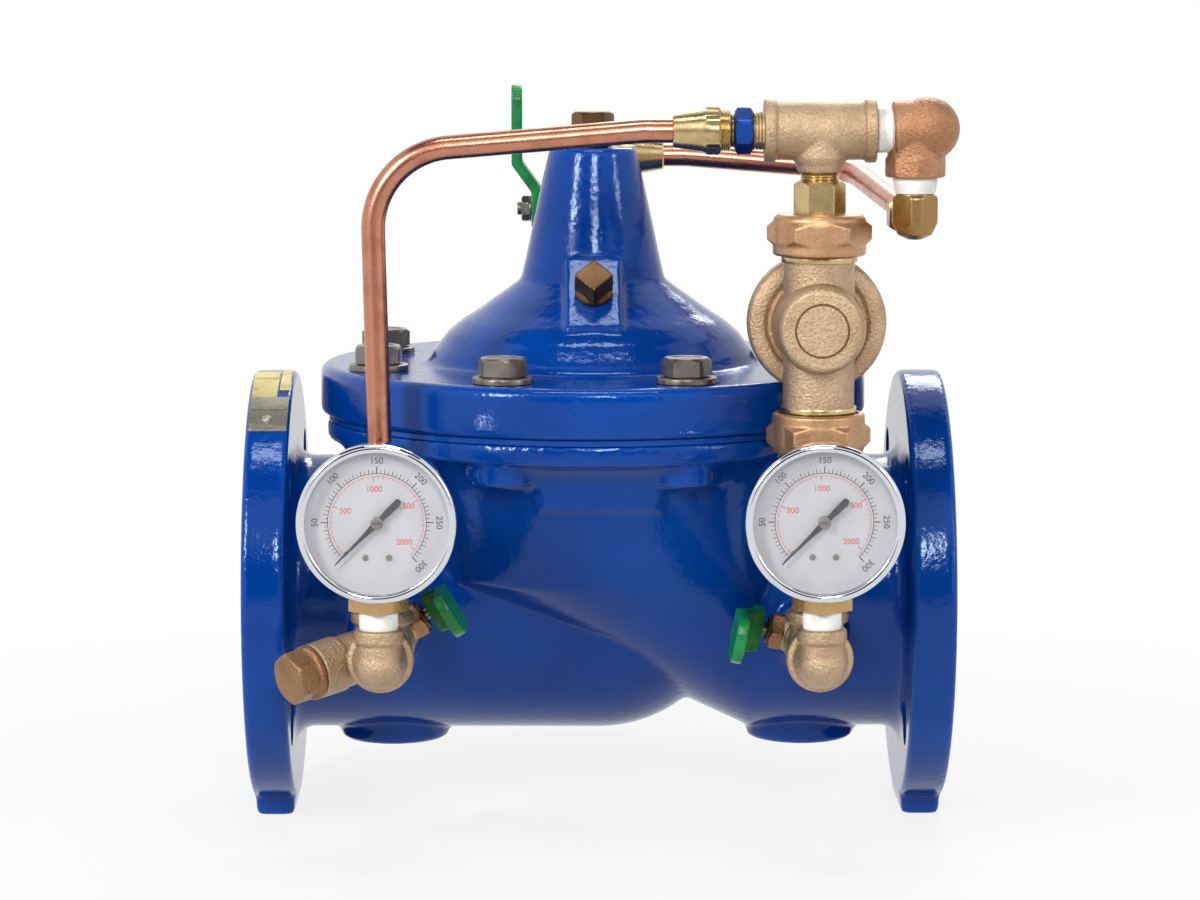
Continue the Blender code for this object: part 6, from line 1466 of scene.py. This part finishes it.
@dataclass
class ReturnLine:
    """The line from the pilot tee round the back to the cover: elbows, copper tube and fittings."""

    street_x: float = 0.1362
    ball: float = 0.0134
    skirt_x: float = 0.1312
    skirt_z: float = 0.1872
    elbow_z: float = 0.1700
    face: float = TAP_X + PILOT_TEE_HALF
    nut_end: float = 0.0325

    def street(self) -> Solid:
        """Cast the street elbow with its eight-sided skirt."""
        centre = Vector((self.street_x, LOOP_Y, LOOP_Z + 0.0008))
        down = (self.skirt_x, LOOP_Y, 0)
        parts = [
            Solid.ball(self.ball, centre),
            Solid.rod(0.0124, (self.face + 0.0072, LOOP_Y, LOOP_Z), centre, 0.0008),
            Solid.rod(0.0117, (*down[:2], self.skirt_z + 0.001), (*down[:2], LOOP_Z)),
            Solid.prism(0.0235, self.skirt_z, 0.1958, down, Z, sides=8, chamfer=0.0005),
        ]
        elbow = several(parts).cast(FINE_VOXEL, 3)
        elbow.join(threaded(THREAD, (self.face - 0.009, LOOP_Y, LOOP_Z), (self.face + 0.008, LOOP_Y, LOOP_Z)))
        return elbow.cut(Solid.rod(TAPPED, (*down[:2], self.skirt_z - 0.01), (*down[:2], LOOP_Z)))

    def tube_elbow(self, centre: Vector, way: Vector) -> Solid:
        """Forge the compression elbow under the street elbow, with its nut and cone."""
        body = Solid.prism(0.0162, -0.0100, 0.0100, centre, Z, -Y, sides=4)
        form = [(0, 0.0098), (0.0088, 0.0098), (0.0095, 0.0085), (0.0095, -0.0015), (0.0072, -0.0066)]
        form += [(0.0030, -0.0086), (0, -0.0088)]
        body.work(Operation.TRIM, Solid.turned(form, centre, Z, 64))
        elbow = several([body, Solid.rod(0.0078, centre, centre + way * 0.0100)]).cast(0.0004, 1)
        elbow.join(Solid.rod(0.0080, centre, centre + Z * 0.0105, 0.0004))
        elbow.join(threaded(THREAD, centre + Z * 0.010, (self.skirt_x, LOOP_Y, self.skirt_z + 0.008)))
        elbow.join(threaded(0.0076, centre + way * 0.0075, centre + way * 0.0110))
        elbow.join(nut(0.0176, 0.0098, 0.0180, centre, way, Z))
        cone = [(0, 0.0290), (0.0058, 0.0290), (0.0063, 0.0284), (0.0078, 0.0195), (0.0082, 0.0178),
                (0, 0.0170)]
        elbow.join(Solid.turned(cone, centre, way))
        return elbow.cut(Solid.rod(0.0053, centre + way * 0.0130, centre + way * 0.04))

    def rear_fitting(self) -> Solid:
        """Make the compression elbow on top of the cover's cock."""
        centre = Vector((SEAT_X, REAR_Y, REAR_Z))
        foot = REAR_COCK_Z + REAR_COCK_HALF + GAP
        parts = [Solid.ball(0.0088, centre), Solid.rod(0.0080, centre, centre + X * 0.0115),
                 Solid.rod(0.0080, centre, (SEAT_X, REAR_Y, foot + 0.004)),
                 Solid.prism(0.0162, foot, foot + 0.0060, (SEAT_X, REAR_Y, 0), Z, chamfer=0.001)]
        elbow = several(parts).cast(FINE_VOXEL, 3)
        elbow.join(threaded(THREAD, (SEAT_X, REAR_Y, foot - 0.0048), (SEAT_X, REAR_Y, foot + 0.001)))
        elbow.join(nut(0.0175, 0.0115, 0.0202, centre, X, Z))
        cone = [(0, 0.0325), (0.0058, 0.0325), (0.0064, 0.0319), (0.0080, 0.0225), (0.0085, 0.0200),
                (0, 0.0190)]
        elbow.join(Solid.turned(cone, centre, X))
        return elbow.cut(Solid.rod(0.0053, centre + X * 0.0220, centre + X * 0.05))

    def cover_elbow(self) -> Solid:
        """Cast the angled nipple that rises from the rear pad."""
        face, normal = Cover().pad(1)
        foot = REAR_COCK_Z - REAR_COCK_HALF - GAP
        knee = face + normal * ((REAR_Y - face.y) / normal.y)
        parts = [Solid.ball(0.0092, knee), Solid.rod(0.0090, knee, face + normal * GAP),
                 Solid.rod(0.0090, knee, (SEAT_X, REAR_Y, foot))]
        elbow = several(parts).cast(FINE_VOXEL, 3)
        elbow.join(threaded(THREAD, face - normal * 0.009, face + normal * 0.001))
        return elbow.cut(Solid.rod(TAPPED, (SEAT_X, REAR_Y, knee.z + 0.001), (SEAT_X, REAR_Y, foot + OVER)))

    def build(self, bench: Bench) -> None:
        """Finish the line."""
        bench.piece("street_elbow_casting", self.street(), RED_BRONZE, nodes=["street_elbow"])
        tape = [(0, 0.0071), (0.0086, 0.0071), (0.0092, 0.0062), (0.0090, 0.0035), (0.0092, 0.0010),
                (0.0088, 0.0004), (0, 0.0004)]
        bench.piece("street_tape", Solid.turned(tape, (self.face, LOOP_Y, LOOP_Z), X, 48), TAPE)
        tape = [(0, 0.1870), (0.0090, 0.1870), (0.0093, 0.1860), (0.0088, 0.1830), (0.0083, 0.1806),
                (0, 0.1806)]
        bench.piece("drop_tape", Solid.turned(tape, (self.skirt_x, LOOP_Y, 0), Z, 48), TAPE)
        centre = Vector((self.skirt_x, LOOP_Y, self.elbow_z))
        corner = Vector((self.face, REAR_Y, REAR_Z - 0.006))
        way = (corner - centre).normalized()
        bench.piece("compression_elbow", self.tube_elbow(centre, way), ELBOW_BRASS, nodes=["tube_elbow"])
        path = [centre + way * 0.0133, corner, (SEAT_X + self.nut_end + 0.010, REAR_Y, REAR_Z),
                (SEAT_X + self.nut_end - 0.010, REAR_Y, REAR_Z)]
        bench.piece("copper_return_line", Solid.tube(rounded_path(path, 0.0272), 0.0050, 40), COPPER,
                    nodes=["rear_tube"])
        bench.piece("rear_fitting", self.rear_fitting(), BRASS, nodes=["rear_tube_fitting"])
        bench.piece("cover_nipple", self.cover_elbow(), BRONZE, nodes=["cover_elbow"])


@dataclass
class PilotValve:
    """The pilot: riser, unions, column with its round nose, bonnet and adjusting screw."""

    z: float = 0.1252
    column: float = 0.0149
    end: float = 0.0167
    flange: float = 0.0293
    flange_y: float = 0.0930
    thick: float = 0.0055
    nose: float = 0.0184
    nose_y: float = 0.1340
    lower: float = 0.0717
    upper: float = 0.1548
    union: float = 0.0172
    lip: float = 0.0037
    flats: float = 0.0385

    def body(self) -> Solid:
        """Cast the column, nose and flange."""
        at = Vector((TAP_X, 0, self.z))
        front = self.flange_y + self.thick
        profile = [(0, self.nose_y - 0.0008), (0.0164, self.nose_y - 0.0010), (0.0178, self.nose_y - 0.0030)]
        profile += [(self.nose, self.nose_y - 0.0070), (self.nose, front + 0.0040),
                    (self.nose + 0.0008, front - 0.0010)]
        profile += [(self.nose + 0.0026, front - 0.0012), (self.nose + 0.0040, front + 0.0002),
                    (self.flange - 0.0040, front + 0.0002)]
        profile += [(self.flange - 0.0012, front - 0.0008), (self.flange, front - 0.0026),
                    (self.flange, self.flange_y), (0, self.flange_y)]
        low = self.lower + self.union
        face_low = self.lower + self.lip + 0.0048
        face_high = self.upper + self.union - self.lip - 0.0048
        base = COLUMN
        parts = [Solid.turned(profile, at, -Y, 96),
                 Solid.rod(self.column, base + Z * (low - 0.004), base + Z * (self.upper + 0.004))]
        body = several(parts).cast(0.0006, 4)
        groove = [(0.0114, self.nose_y + OVER), (0.0114, self.nose_y - 0.0022),
                  (0.0104, self.nose_y - 0.0022), (0.0104, self.nose_y + OVER)]
        body.cut(Solid.turned(groove, at, -Y, 96, True))
        body.join(threaded(0.0158, base + Z * (low - 0.006), base + Z * (low + 0.0016), 0.0014))
        body.join(threaded(0.0158, base + Z * (self.upper - 0.0016), base + Z * (self.upper + 0.006), 0.0014))
        body.join(Solid.rod(self.end, base + Z * face_low, base + Z * (low - 0.001)))
        body.join(Solid.rod(self.end, base + Z * (self.upper + 0.001), base + Z * face_high))
        body.cut(Solid.rod(WAY, base + Z * (face_low - OVER), base + Z * (self.z - 0.004)))
        return body.cut(Solid.rod(WAY, base + Z * (self.z + 0.020), base + Z * (face_high + OVER)))

    def union_nut(self, bottom: float, up: bool) -> Solid:
        """Cast a union nut: a chamfered hexagon between two turned crowns."""
        way = Z if up else -Z
        at = Vector((TAP_X, LOOP_Y, bottom + (0 if up else self.union)))
        height = self.union
        crown = self.flats / 2
        outline = [(0, height), (crown - 0.0019, height), (crown - 0.0004, height - 0.0012),
                   (crown + 0.0004, height - 0.0042)]
        outline += [(crown + 0.0004, 0.0052), (crown + 0.0002, 0.0044), (crown + 0.0002, 0.0008),
                    (crown - 0.0008, 0), (0, 0)]
        ring = Solid.turned(outline, at, way, 96)
        hexed = Solid.prism(self.flats, 0.0038, height - 0.0022, at, way, X, chamfer=0.0030)
        made = several([ring, hexed]).cast(FINE_VOXEL, 2)
        return made.cut(Solid.rod(0.0170, at - way * OVER, at + way * (height - self.lip)),
                        Solid.rod(0.0095, at, at + way * (height + OVER)))

    def tail(self) -> Solid:
        """Turn the upper tailpiece with its long hexagon."""
        at = COLUMN
        top = self.upper + self.union
        lip = top - self.lip - GAP
        face = LOOP_Z - PILOT_TEE_RISE
        tail = Solid.rod(self.end, at + Z * (lip - 0.0042), at + Z * lip)
        tail.join(Solid.rod(0.0092, at + Z * (lip - 0.001), at + Z * (top + 0.001)))
        tail.join(Solid.prism(0.0190, top + 0.0001, 0.1858, at, Z, X, chamfer=0.0016, both=False))
        tail.join(threaded(0.0082, at + Z * 0.1850, at + Z * (face - GAP), 0.0011),
                  threaded(THREAD, at + Z * (face - 0.001), at + Z * (face + 0.009)))
        return tail.cut(Solid.rod(WAY, at + Z * (lip - 0.02), at + Z * (face + 0.03)))

    def riser(self) -> Solid:
        """Turn the nipple between the outlet tee and the lower union."""
        at = COLUMN
        low = TEE_TOP_Z + GAP
        lip = self.lower + self.lip + GAP
        riser = nut(0.0190, low, low + 0.012, at, Z)
        riser.join(Solid.rod(0.0092, at + Z * (low + 0.008), at + Z * (lip + 0.001)),
                   Solid.rod(self.end, at + Z * lip, at + Z * (lip + 0.0042)))
        riser.join(threaded(THREAD, at + Z * (low - 0.009), at + Z * (low + 0.001)))
        return riser.cut(Solid.rod(WAY, at + Z * (low - 0.02), at + Z * (lip + 0.02)))

    def bonnet(self) -> Solid:
        """Cast the spring bonnet behind the diaphragm."""
        base = 0.0020 - self.flange_y
        at = (TAP_X, base, self.z)
        outline = [(0, 0.0450), (0.0083, 0.0450), (0.0094, 0.0440), (0.0098, 0.0404), (0.0128, 0.0396),
                   (0.0146, 0.0380), (0.0150, 0.0362)]
        outline += [(0.0190, 0.0122), (0.0208, 0.0082), (0.0240, 0.0062), (0.0278, 0.0056),
                    (self.flange, 0.0042), (self.flange, 0), (0, 0)]
        bonnet = Solid.turned(outline, at, Y, 96).cast(0.0006, 3)
        room = [(0, 0.0355), (0.0125, 0.0355), (0.0125, 0.0080), (0.0180, -OVER), (0, -OVER)]
        bonnet.cut(Solid.turned(room, at, Y, 64))
        return bonnet.cut(Solid.rod(0.0042, (TAP_X, base + 0.03, self.z), (TAP_X, base + 0.06, self.z)))

    def build(self, bench: Bench) -> None:
        """Finish the pilot valve."""
        bench.piece("riser_nipple", self.riser(), FORGED, nodes=["outlet_riser"])
        bench.piece("lower_union", self.union_nut(self.lower, False), UNION_BRONZE, nodes=["lower_union_nut"])
        bench.piece("upper_union", self.union_nut(self.upper, True), UNION_BRONZE, nodes=["upper_union_nut"])
        bench.piece("upper_tailpiece", self.tail(), BRASS, nodes=["upper_union_tail"])
        bench.piece("pilot_casting", self.body(), BRONZE, nodes=["pilot_body"])
        base = COLUMN
        for end, low, high in (("lower", self.lower + self.union, 0.0026),
                               ("upper", self.upper - 0.0026, 0.0026)):
            ring = [(0.0145, 0), (0.0158, 0), (0.0160, 0.0004), (0.0160, high - 0.0004), (0.0158, high),
                    (0.0145, high)]
            bench.piece(f"{end}_column_ring", Solid.turned(ring, base + Z * low, Z, 64, True), BRASS)
        bench.piece("pilot_cap", self.bonnet(), BRONZE, nodes=["pilot_bonnet"])
        foot = -0.0497
        screw = threaded(0.0039, (TAP_X, foot, self.z), (TAP_X, foot + 0.0285, self.z), 0.0012)
        screw.join(Solid.prism(0.0062, 0.0280, 0.0340, (TAP_X, foot, self.z), Y, sides=4, chamfer=0.0008,
                               both=False))
        bench.piece("screw_shank", screw, STEEL, "screw", ["adjusting_screw"])


@dataclass
class TagPlate:
    """The bare film, strip and riveted band bent over the inlet flange's rim."""

    radius: float = 0.09525
    rivet_x: float = -0.1432
    rivet_angle: float = 33.6

    def plate(self, span: tuple[float, float], angles: tuple[float, float], low: float, high: float) -> Solid:
        """Bend a plate over the rim.

        Args:
            span: Its ends along the pipe.
            angles: Its ends round the rim, in degrees from the top towards the front.
            low: Its underside above the rim.
            high: Its top above the rim.

        Returns:
            The plate.
        """
        steps = 24
        start, end = (math.radians(angle) for angle in angles)
        bm = bmesh.new()
        rows = []
        for step in range(steps + 1):
            angle = start + (end - start) * step / steps
            way = Vector((0, -math.sin(angle), math.cos(angle)))
            rows.append([bm.verts.new(X * x + way * (self.radius + rise))
                         for rise in (low, high) for x in span])
        for row, after in zip(rows, rows[1:]):
            for first, second in ((0, 1), (1, 3), (3, 2), (2, 0)):
                bm.faces.new((row[first], row[second], after[second], after[first]))
        for row in (rows[0], rows[-1]):
            bm.faces.new((row[0], row[1], row[3], row[2]))
        return Solid(bm)

    def build(self, bench: Bench) -> None:
        """Bend the plates and set the rivet."""
        film = self.plate((-0.1508, -0.1397), (4.0, 25.0), -0.0002, 0.0003)
        bench.piece("tag_film", film.join(self.plate((-0.1508, -0.1397), (4.0, 11.0), 0.0001, 0.0006)),
                    CHROMATE)
        bench.piece("tag_strip", self.plate((-0.1388, -0.1346), (3.0, 20.0), -0.0002, 0.0008), CHROMATE)
        band = self.plate((-0.1511, -0.1344), (23.5, 38.0), -0.0001, 0.0005)
        band.join(self.plate((-0.1505, -0.1350), (26.5, 29.5), 0.0003, 0.0009))
        bench.piece("tag_band", band, BAND)
        angle = math.radians(self.rivet_angle)
        way = Vector((0, -math.sin(angle), math.cos(angle)))
        rivet = Solid.turned([(0, 0.0014), (0.0010, 0.0013), (0.0020, 0.0007), (0.0023, 0), (0, 0)],
                             X * self.rivet_x + way * (self.radius + 0.0004), way, 32)
        bench.piece("tag_rivet", rivet, STEEL)


@dataclass
class Inside:
    """The rubber and the springs that give way as the valve and its pilot work."""

    bore: float = 0.0073
    plate_radius: float = 0.0570
    roll_radius: float = 0.0850
    rim_radius: float = 0.1163
    plate_z: float = 0.0633
    rim_z: float = 0.0755
    thickness: float = 0.0024
    hole_radius: float = 0.0063
    lift: float = 0.014
    spring_foot: float = 0.0723
    spring_top: float = 0.1311
    pilot_front: float = -0.0910
    pilot_back: float = -0.0588
    pilot_travel: float = 0.005
    pilot_z: float = 0.1252

    def diaphragm(self) -> Solid:
        """Return the rubber, clamped at its rim, with one roll down to the plates on the stem."""
        roll = []
        for step in range(17):
            share = step / 16
            radius = self.roll_radius + (self.plate_radius - self.roll_radius) * share
            roll.append((radius,
                         self.rim_z + (self.plate_z - self.rim_z) * (0.5 - 0.5 * math.cos(math.pi * share))))
        under = [(self.rim_radius, self.rim_z), *roll, (self.bore, self.plate_z)]
        over = [(radius, height + self.thickness) for radius, height in under[::-1]]
        rubber = Solid.turned([*under, *over], (SEAT_X, 0, 0), steps=96, closed=True)
        holes = [Solid.rod(self.hole_radius, (x, y, self.rim_z - OVER),
                           (x, y, self.rim_z + self.thickness + OVER),
                           steps=24) for x, y in bolt_places()]
        return rubber.cut(*holes)

    @staticmethod
    def coil(at: Sequence[float], along: Vector, length: float, radius: float, wire: float,
             turns: int = 6) -> Solid:
        """Return a spring with a closed turn at each end.

        Args:
            at: The middle of its foot.
            along: Its axis.
            length: Its length over the wire.
            radius: Radius of the coil at the middle of the wire.
            wire: Radius of the wire.
            turns: Turns in all.

        Returns:
            The spring.
        """
        matrix = place(at, along)
        closed = 2.08 * wire
        rise = (length - 2 * wire - 2 * closed) / (turns - 2)
        points = []
        for step in range(turns * 32 + 1):
            turn = step / 32
            dead = min(turn, 1) + max(turn - turns + 1, 0)
            height = wire + dead * closed + (turn - dead) * rise
            angle = math.tau * turn
            points.append(matrix @ Vector((radius * math.cos(angle), radius * math.sin(angle), height)))
        return Solid.tube(points, wire, 16)

    def build(self, bench: Bench) -> None:
        """Make the diaphragms and the springs."""
        made = bench.piece("rolling_diaphragm", self.diaphragm(), RUBBER, None, ("main_diaphragm",))
        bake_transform(made)
        length = self.spring_top - self.spring_foot
        coil = self.coil((SEAT_X, 0, self.spring_foot), Z, length, 0.0215, 0.0019)
        made = bench.piece("main_coil_spring", coil, STEEL, nodes=("main_spring",), sharp=60)
        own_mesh(made)
        length = self.pilot_back - self.pilot_front
        coil = self.coil((TAP_X, self.pilot_front, self.pilot_z), Y, length, 0.0095, 0.0011, 7)
        made = bench.piece("pilot_coil_spring", coil, STEEL, nodes=("pilot_spring",), sharp=60)
        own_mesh(made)
        disc = [(0, 0.0013), (0.0275, 0.0013), (0.0281, 0.0010), (0.0281, 0.0004), (0.0275, 0.0001),
                (0, 0.0001)]
        rubber = Solid.turned(disc, (TAP_X, -0.0927, self.pilot_z), Y, 64)
        bench.piece("pilot_rubber", rubber, RUBBER, nodes=("pilot_diaphragm",))


def dress_frame(frame: dict, paints: Paintbox) -> None:
    """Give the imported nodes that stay, mostly inside, their finishes."""
    finishes = {
        "blue": EPOXY, "bronze": BRONZE, "street": RED_BRONZE, "brass": BRASS, "copper": COPPER,
        "steel": STEEL,
        "zinc": ZINC, "plug": DARK_BRONZE, "vinyl": VINYL, "rubber": RUBBER, "chrome": CHROME,
        "pointer": BLACK,
    }
    for node in frame["nodes"].values():
        for index, old in enumerate(node.data.materials):
            if old and old.name in finishes:
                node.data.materials[index] = paints.get(finishes[old.name])


# Studio

class Studio:
    """Floor, backdrop, lamps and camera."""

    eye = Vector((-0.01674, -1.8252, 0.38727))
    pitch = 0.1227
    yaw = -0.0097
    lens = 125.33
    floor_colour = (0.80, 0.80, 0.80)
    shadow = 0.80
    fade = (0.22, 0.62)
    room_light = 0.35
    aim = Vector((0, 0, 0.15))
    cards = (
        ("front_card", (0, -3.4, 0.95), math.pi / 2, (3.4, 1.8)),
        ("ceiling_card", (0, -0.3, 2.6), 0.0, (3.4, 2.8)),
    )
    lamps = (
        ("key", (-1.3, -1.5, 1.2), (0.30, 0.80), 27),
        ("front", (0.15, -2.4, 1.3), (0.36, 0.50), 21.5),
        ("side", (1.6, -1.0, 0.9), (0.10, 0.60), 5.5),
        ("top", (0.0, -0.3, 1.9), (0.90, 0.25), 9.5),
        ("back", (0.3, 1.6, 1.2), (0.80, 0.60), 9),
    )

    @staticmethod
    def screen(name: str, reach: float, graph: Graph, factor: Signal, other: Signal) -> bpy.types.Object:
        """Make a flat screen that is no part of the valve.

        Args:
            name: The screen's name.
            reach: Half its width.
            graph: Its material.
            factor: How much of another shader is mixed in.
            other: That shader.

        Returns:
            The screen, lying at the origin.
        """
        bm = bmesh.new()
        bmesh.ops.create_grid(bm, x_segments=1, y_segments=1, size=reach)
        mesh = bpy.data.meshes.new(name)
        bm.to_mesh(mesh)
        bm.free()
        plain = Signal(graph, graph.shader.outputs[0])
        mixed = graph.node("ShaderNodeMixShader", {}, {0: factor, 1: plain, 2: other})
        graph.feed(graph.tree.nodes["Material Output"].inputs["Surface"], mixed)
        mesh.materials.append(graph.material)
        return shown(name, mesh)

    def floor(self) -> None:
        """Lay a pale floor that stands against white."""
        graph = Graph("pale_floor")
        graph.set(Base_Color=(*self.floor_colour, 1.0), Roughness=0.6)
        away = graph.node("ShaderNodeVectorMath", {"operation": "LENGTH"}, {0: graph.place}, "Value")
        white = away.above(*self.fade) * (1 - self.shadow) + self.shadow
        glow = graph.node("ShaderNodeEmission", {}, {"Color": (1, 1, 1, 1), "Strength": 1.0})
        self.screen("floor", 6.0, graph, graph.seen() * white, glow)

    def sky(self) -> None:
        """Light the room evenly, and show white behind the valve."""
        world = bpy.data.worlds.new("studio")
        bpy.context.scene.world = world
        world.use_nodes = True
        tree = world.node_tree
        back = tree.nodes["Background"]
        back.inputs["Color"].default_value = (1, 1, 1, 1)
        back.inputs["Strength"].default_value = self.room_light
        white = tree.nodes.new("ShaderNodeBackground")
        white.inputs["Color"].default_value = (1, 1, 1, 1)
        white.inputs["Strength"].default_value = 1.0
        path = tree.nodes.new("ShaderNodeLightPath")
        mixed = tree.nodes.new("ShaderNodeMixShader")
        seen = path.outputs[f"Is {RAYS[0]} Ray"]
        for kind in RAYS[1:]:
            either = tree.nodes.new("ShaderNodeMath")
            either.operation = "MAXIMUM"
            tree.links.new(seen, either.inputs[0])
            tree.links.new(path.outputs[f"Is {kind} Ray"], either.inputs[1])
            seen = either.outputs[0]
        tree.links.new(seen, mixed.inputs[0])
        tree.links.new(back.outputs[0], mixed.inputs[1])
        tree.links.new(white.outputs[0], mixed.inputs[2])
        tree.links.new(mixed.outputs[0], tree.nodes["World Output"].inputs["Surface"])

    def card(self, name: str, at: Sequence[float], tilt: float, size: tuple[float, float]) -> None:
        """Hang a dark card, which shows in the polish but not to the camera."""
        graph = Graph(name)
        graph.set(Base_Color=(0.03, 0.03, 0.035, 1.0), Roughness=0.9)
        clear = graph.node("ShaderNodeBsdfTransparent", {}, {})
        seen = graph.node("ShaderNodeLightPath", {}, {}, "Is Camera Ray")
        card = self.screen(name, 0.5, graph, seen, clear)
        card.location = at
        card.rotation_euler = (tilt, 0, 0)
        card.scale = (*size, 1)

    def lamp(self, name: str, at: Sequence[float], size: tuple[float, float], power: float) -> None:
        """Hang a soft box, so wide and so high, that looks at the valve."""
        light = bpy.data.lights.new(name, "AREA")
        light.shape = "RECTANGLE"
        light.size, light.size_y = size
        light.energy = power
        lamp = shown(name, light)
        lamp.location = at
        lamp.rotation_euler = (self.aim - Vector(at)).to_track_quat("-Z", "Y").to_euler()

    def camera(self) -> None:
        """Stand the camera where the photograph was taken."""
        data = bpy.data.cameras.new("camera")
        data.lens = self.lens
        data.sensor_width = 36.0
        camera = shown("camera", data)
        camera.location = self.eye
        camera.rotation_euler = (math.pi / 2 - self.pitch, 0, self.yaw)
        bpy.context.scene.camera = camera

    def build(self) -> None:
        """Set up the studio."""
        bpy.context.scene.view_settings.view_transform = "Standard"
        self.camera()
        self.floor()
        self.sky()
        for card in self.cards:
            self.card(*card)
        for lamp in self.lamps:
            self.lamp(*lamp)


def main() -> None:
    """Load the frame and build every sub-assembly."""
    logging.basicConfig(level=logging.INFO, format="%(message)s")
    for obj in list(bpy.data.objects):
        bpy.data.objects.remove(obj)
    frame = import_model()
    Studio().build()
    bench = Bench(Paintbox())
    GlobeBody().build(bench)
    Cover().build(bench)
    CoverBolts().build(bench)
    Plugs().build(bench)
    cock_y = TAP_BOSS_Y - GAP - COCK_LENGTH / 2
    low, high = math.radians(32), math.radians(12)
    Cock("inlet_cock", Vector((-TAP_X, cock_y, TAP_Z)), -Y, Vector((math.cos(low), 0, math.sin(low))),
         COCK_LENGTH, 0.009).build(bench)
    Cock("outlet_cock", Vector((TAP_X, cock_y, TAP_Z)), -Y, Vector((-math.cos(high), 0, math.sin(high))),
         COCK_LENGTH, 0.009).build(bench)
    Cock("cover_cock", Vector((SEAT_X, REAR_Y, REAR_COCK_Z)), Z, -X, 2 * REAR_COCK_HALF, 0.005).build(bench)
    Strainer().build(bench)
    Tee("outlet_tee", Vector((TAP_X, LOOP_Y, TAP_Z)), -Y, Z, TEE_HALF, TEE_RISE, True).build(bench)
    Tee("pilot_tee", Vector((TAP_X, LOOP_Y, LOOP_Z)), X, -Z, PILOT_TEE_HALF, PILOT_TEE_RISE,
        banded=False).build(bench)
    Gauge("inlet", -TAP_X).build(bench)
    Gauge("outlet", TAP_X).build(bench)
    FrontLine().build(bench)
    ReturnLine().build(bench)
    PilotValve().build(bench)
    TagPlate().build(bench)
    Inside().build(bench)
    dress_frame(frame, bench.paints)
    LOG.info("%d nodes in the frame", len(frame["nodes"]))


if __name__ == "__main__":
    main()
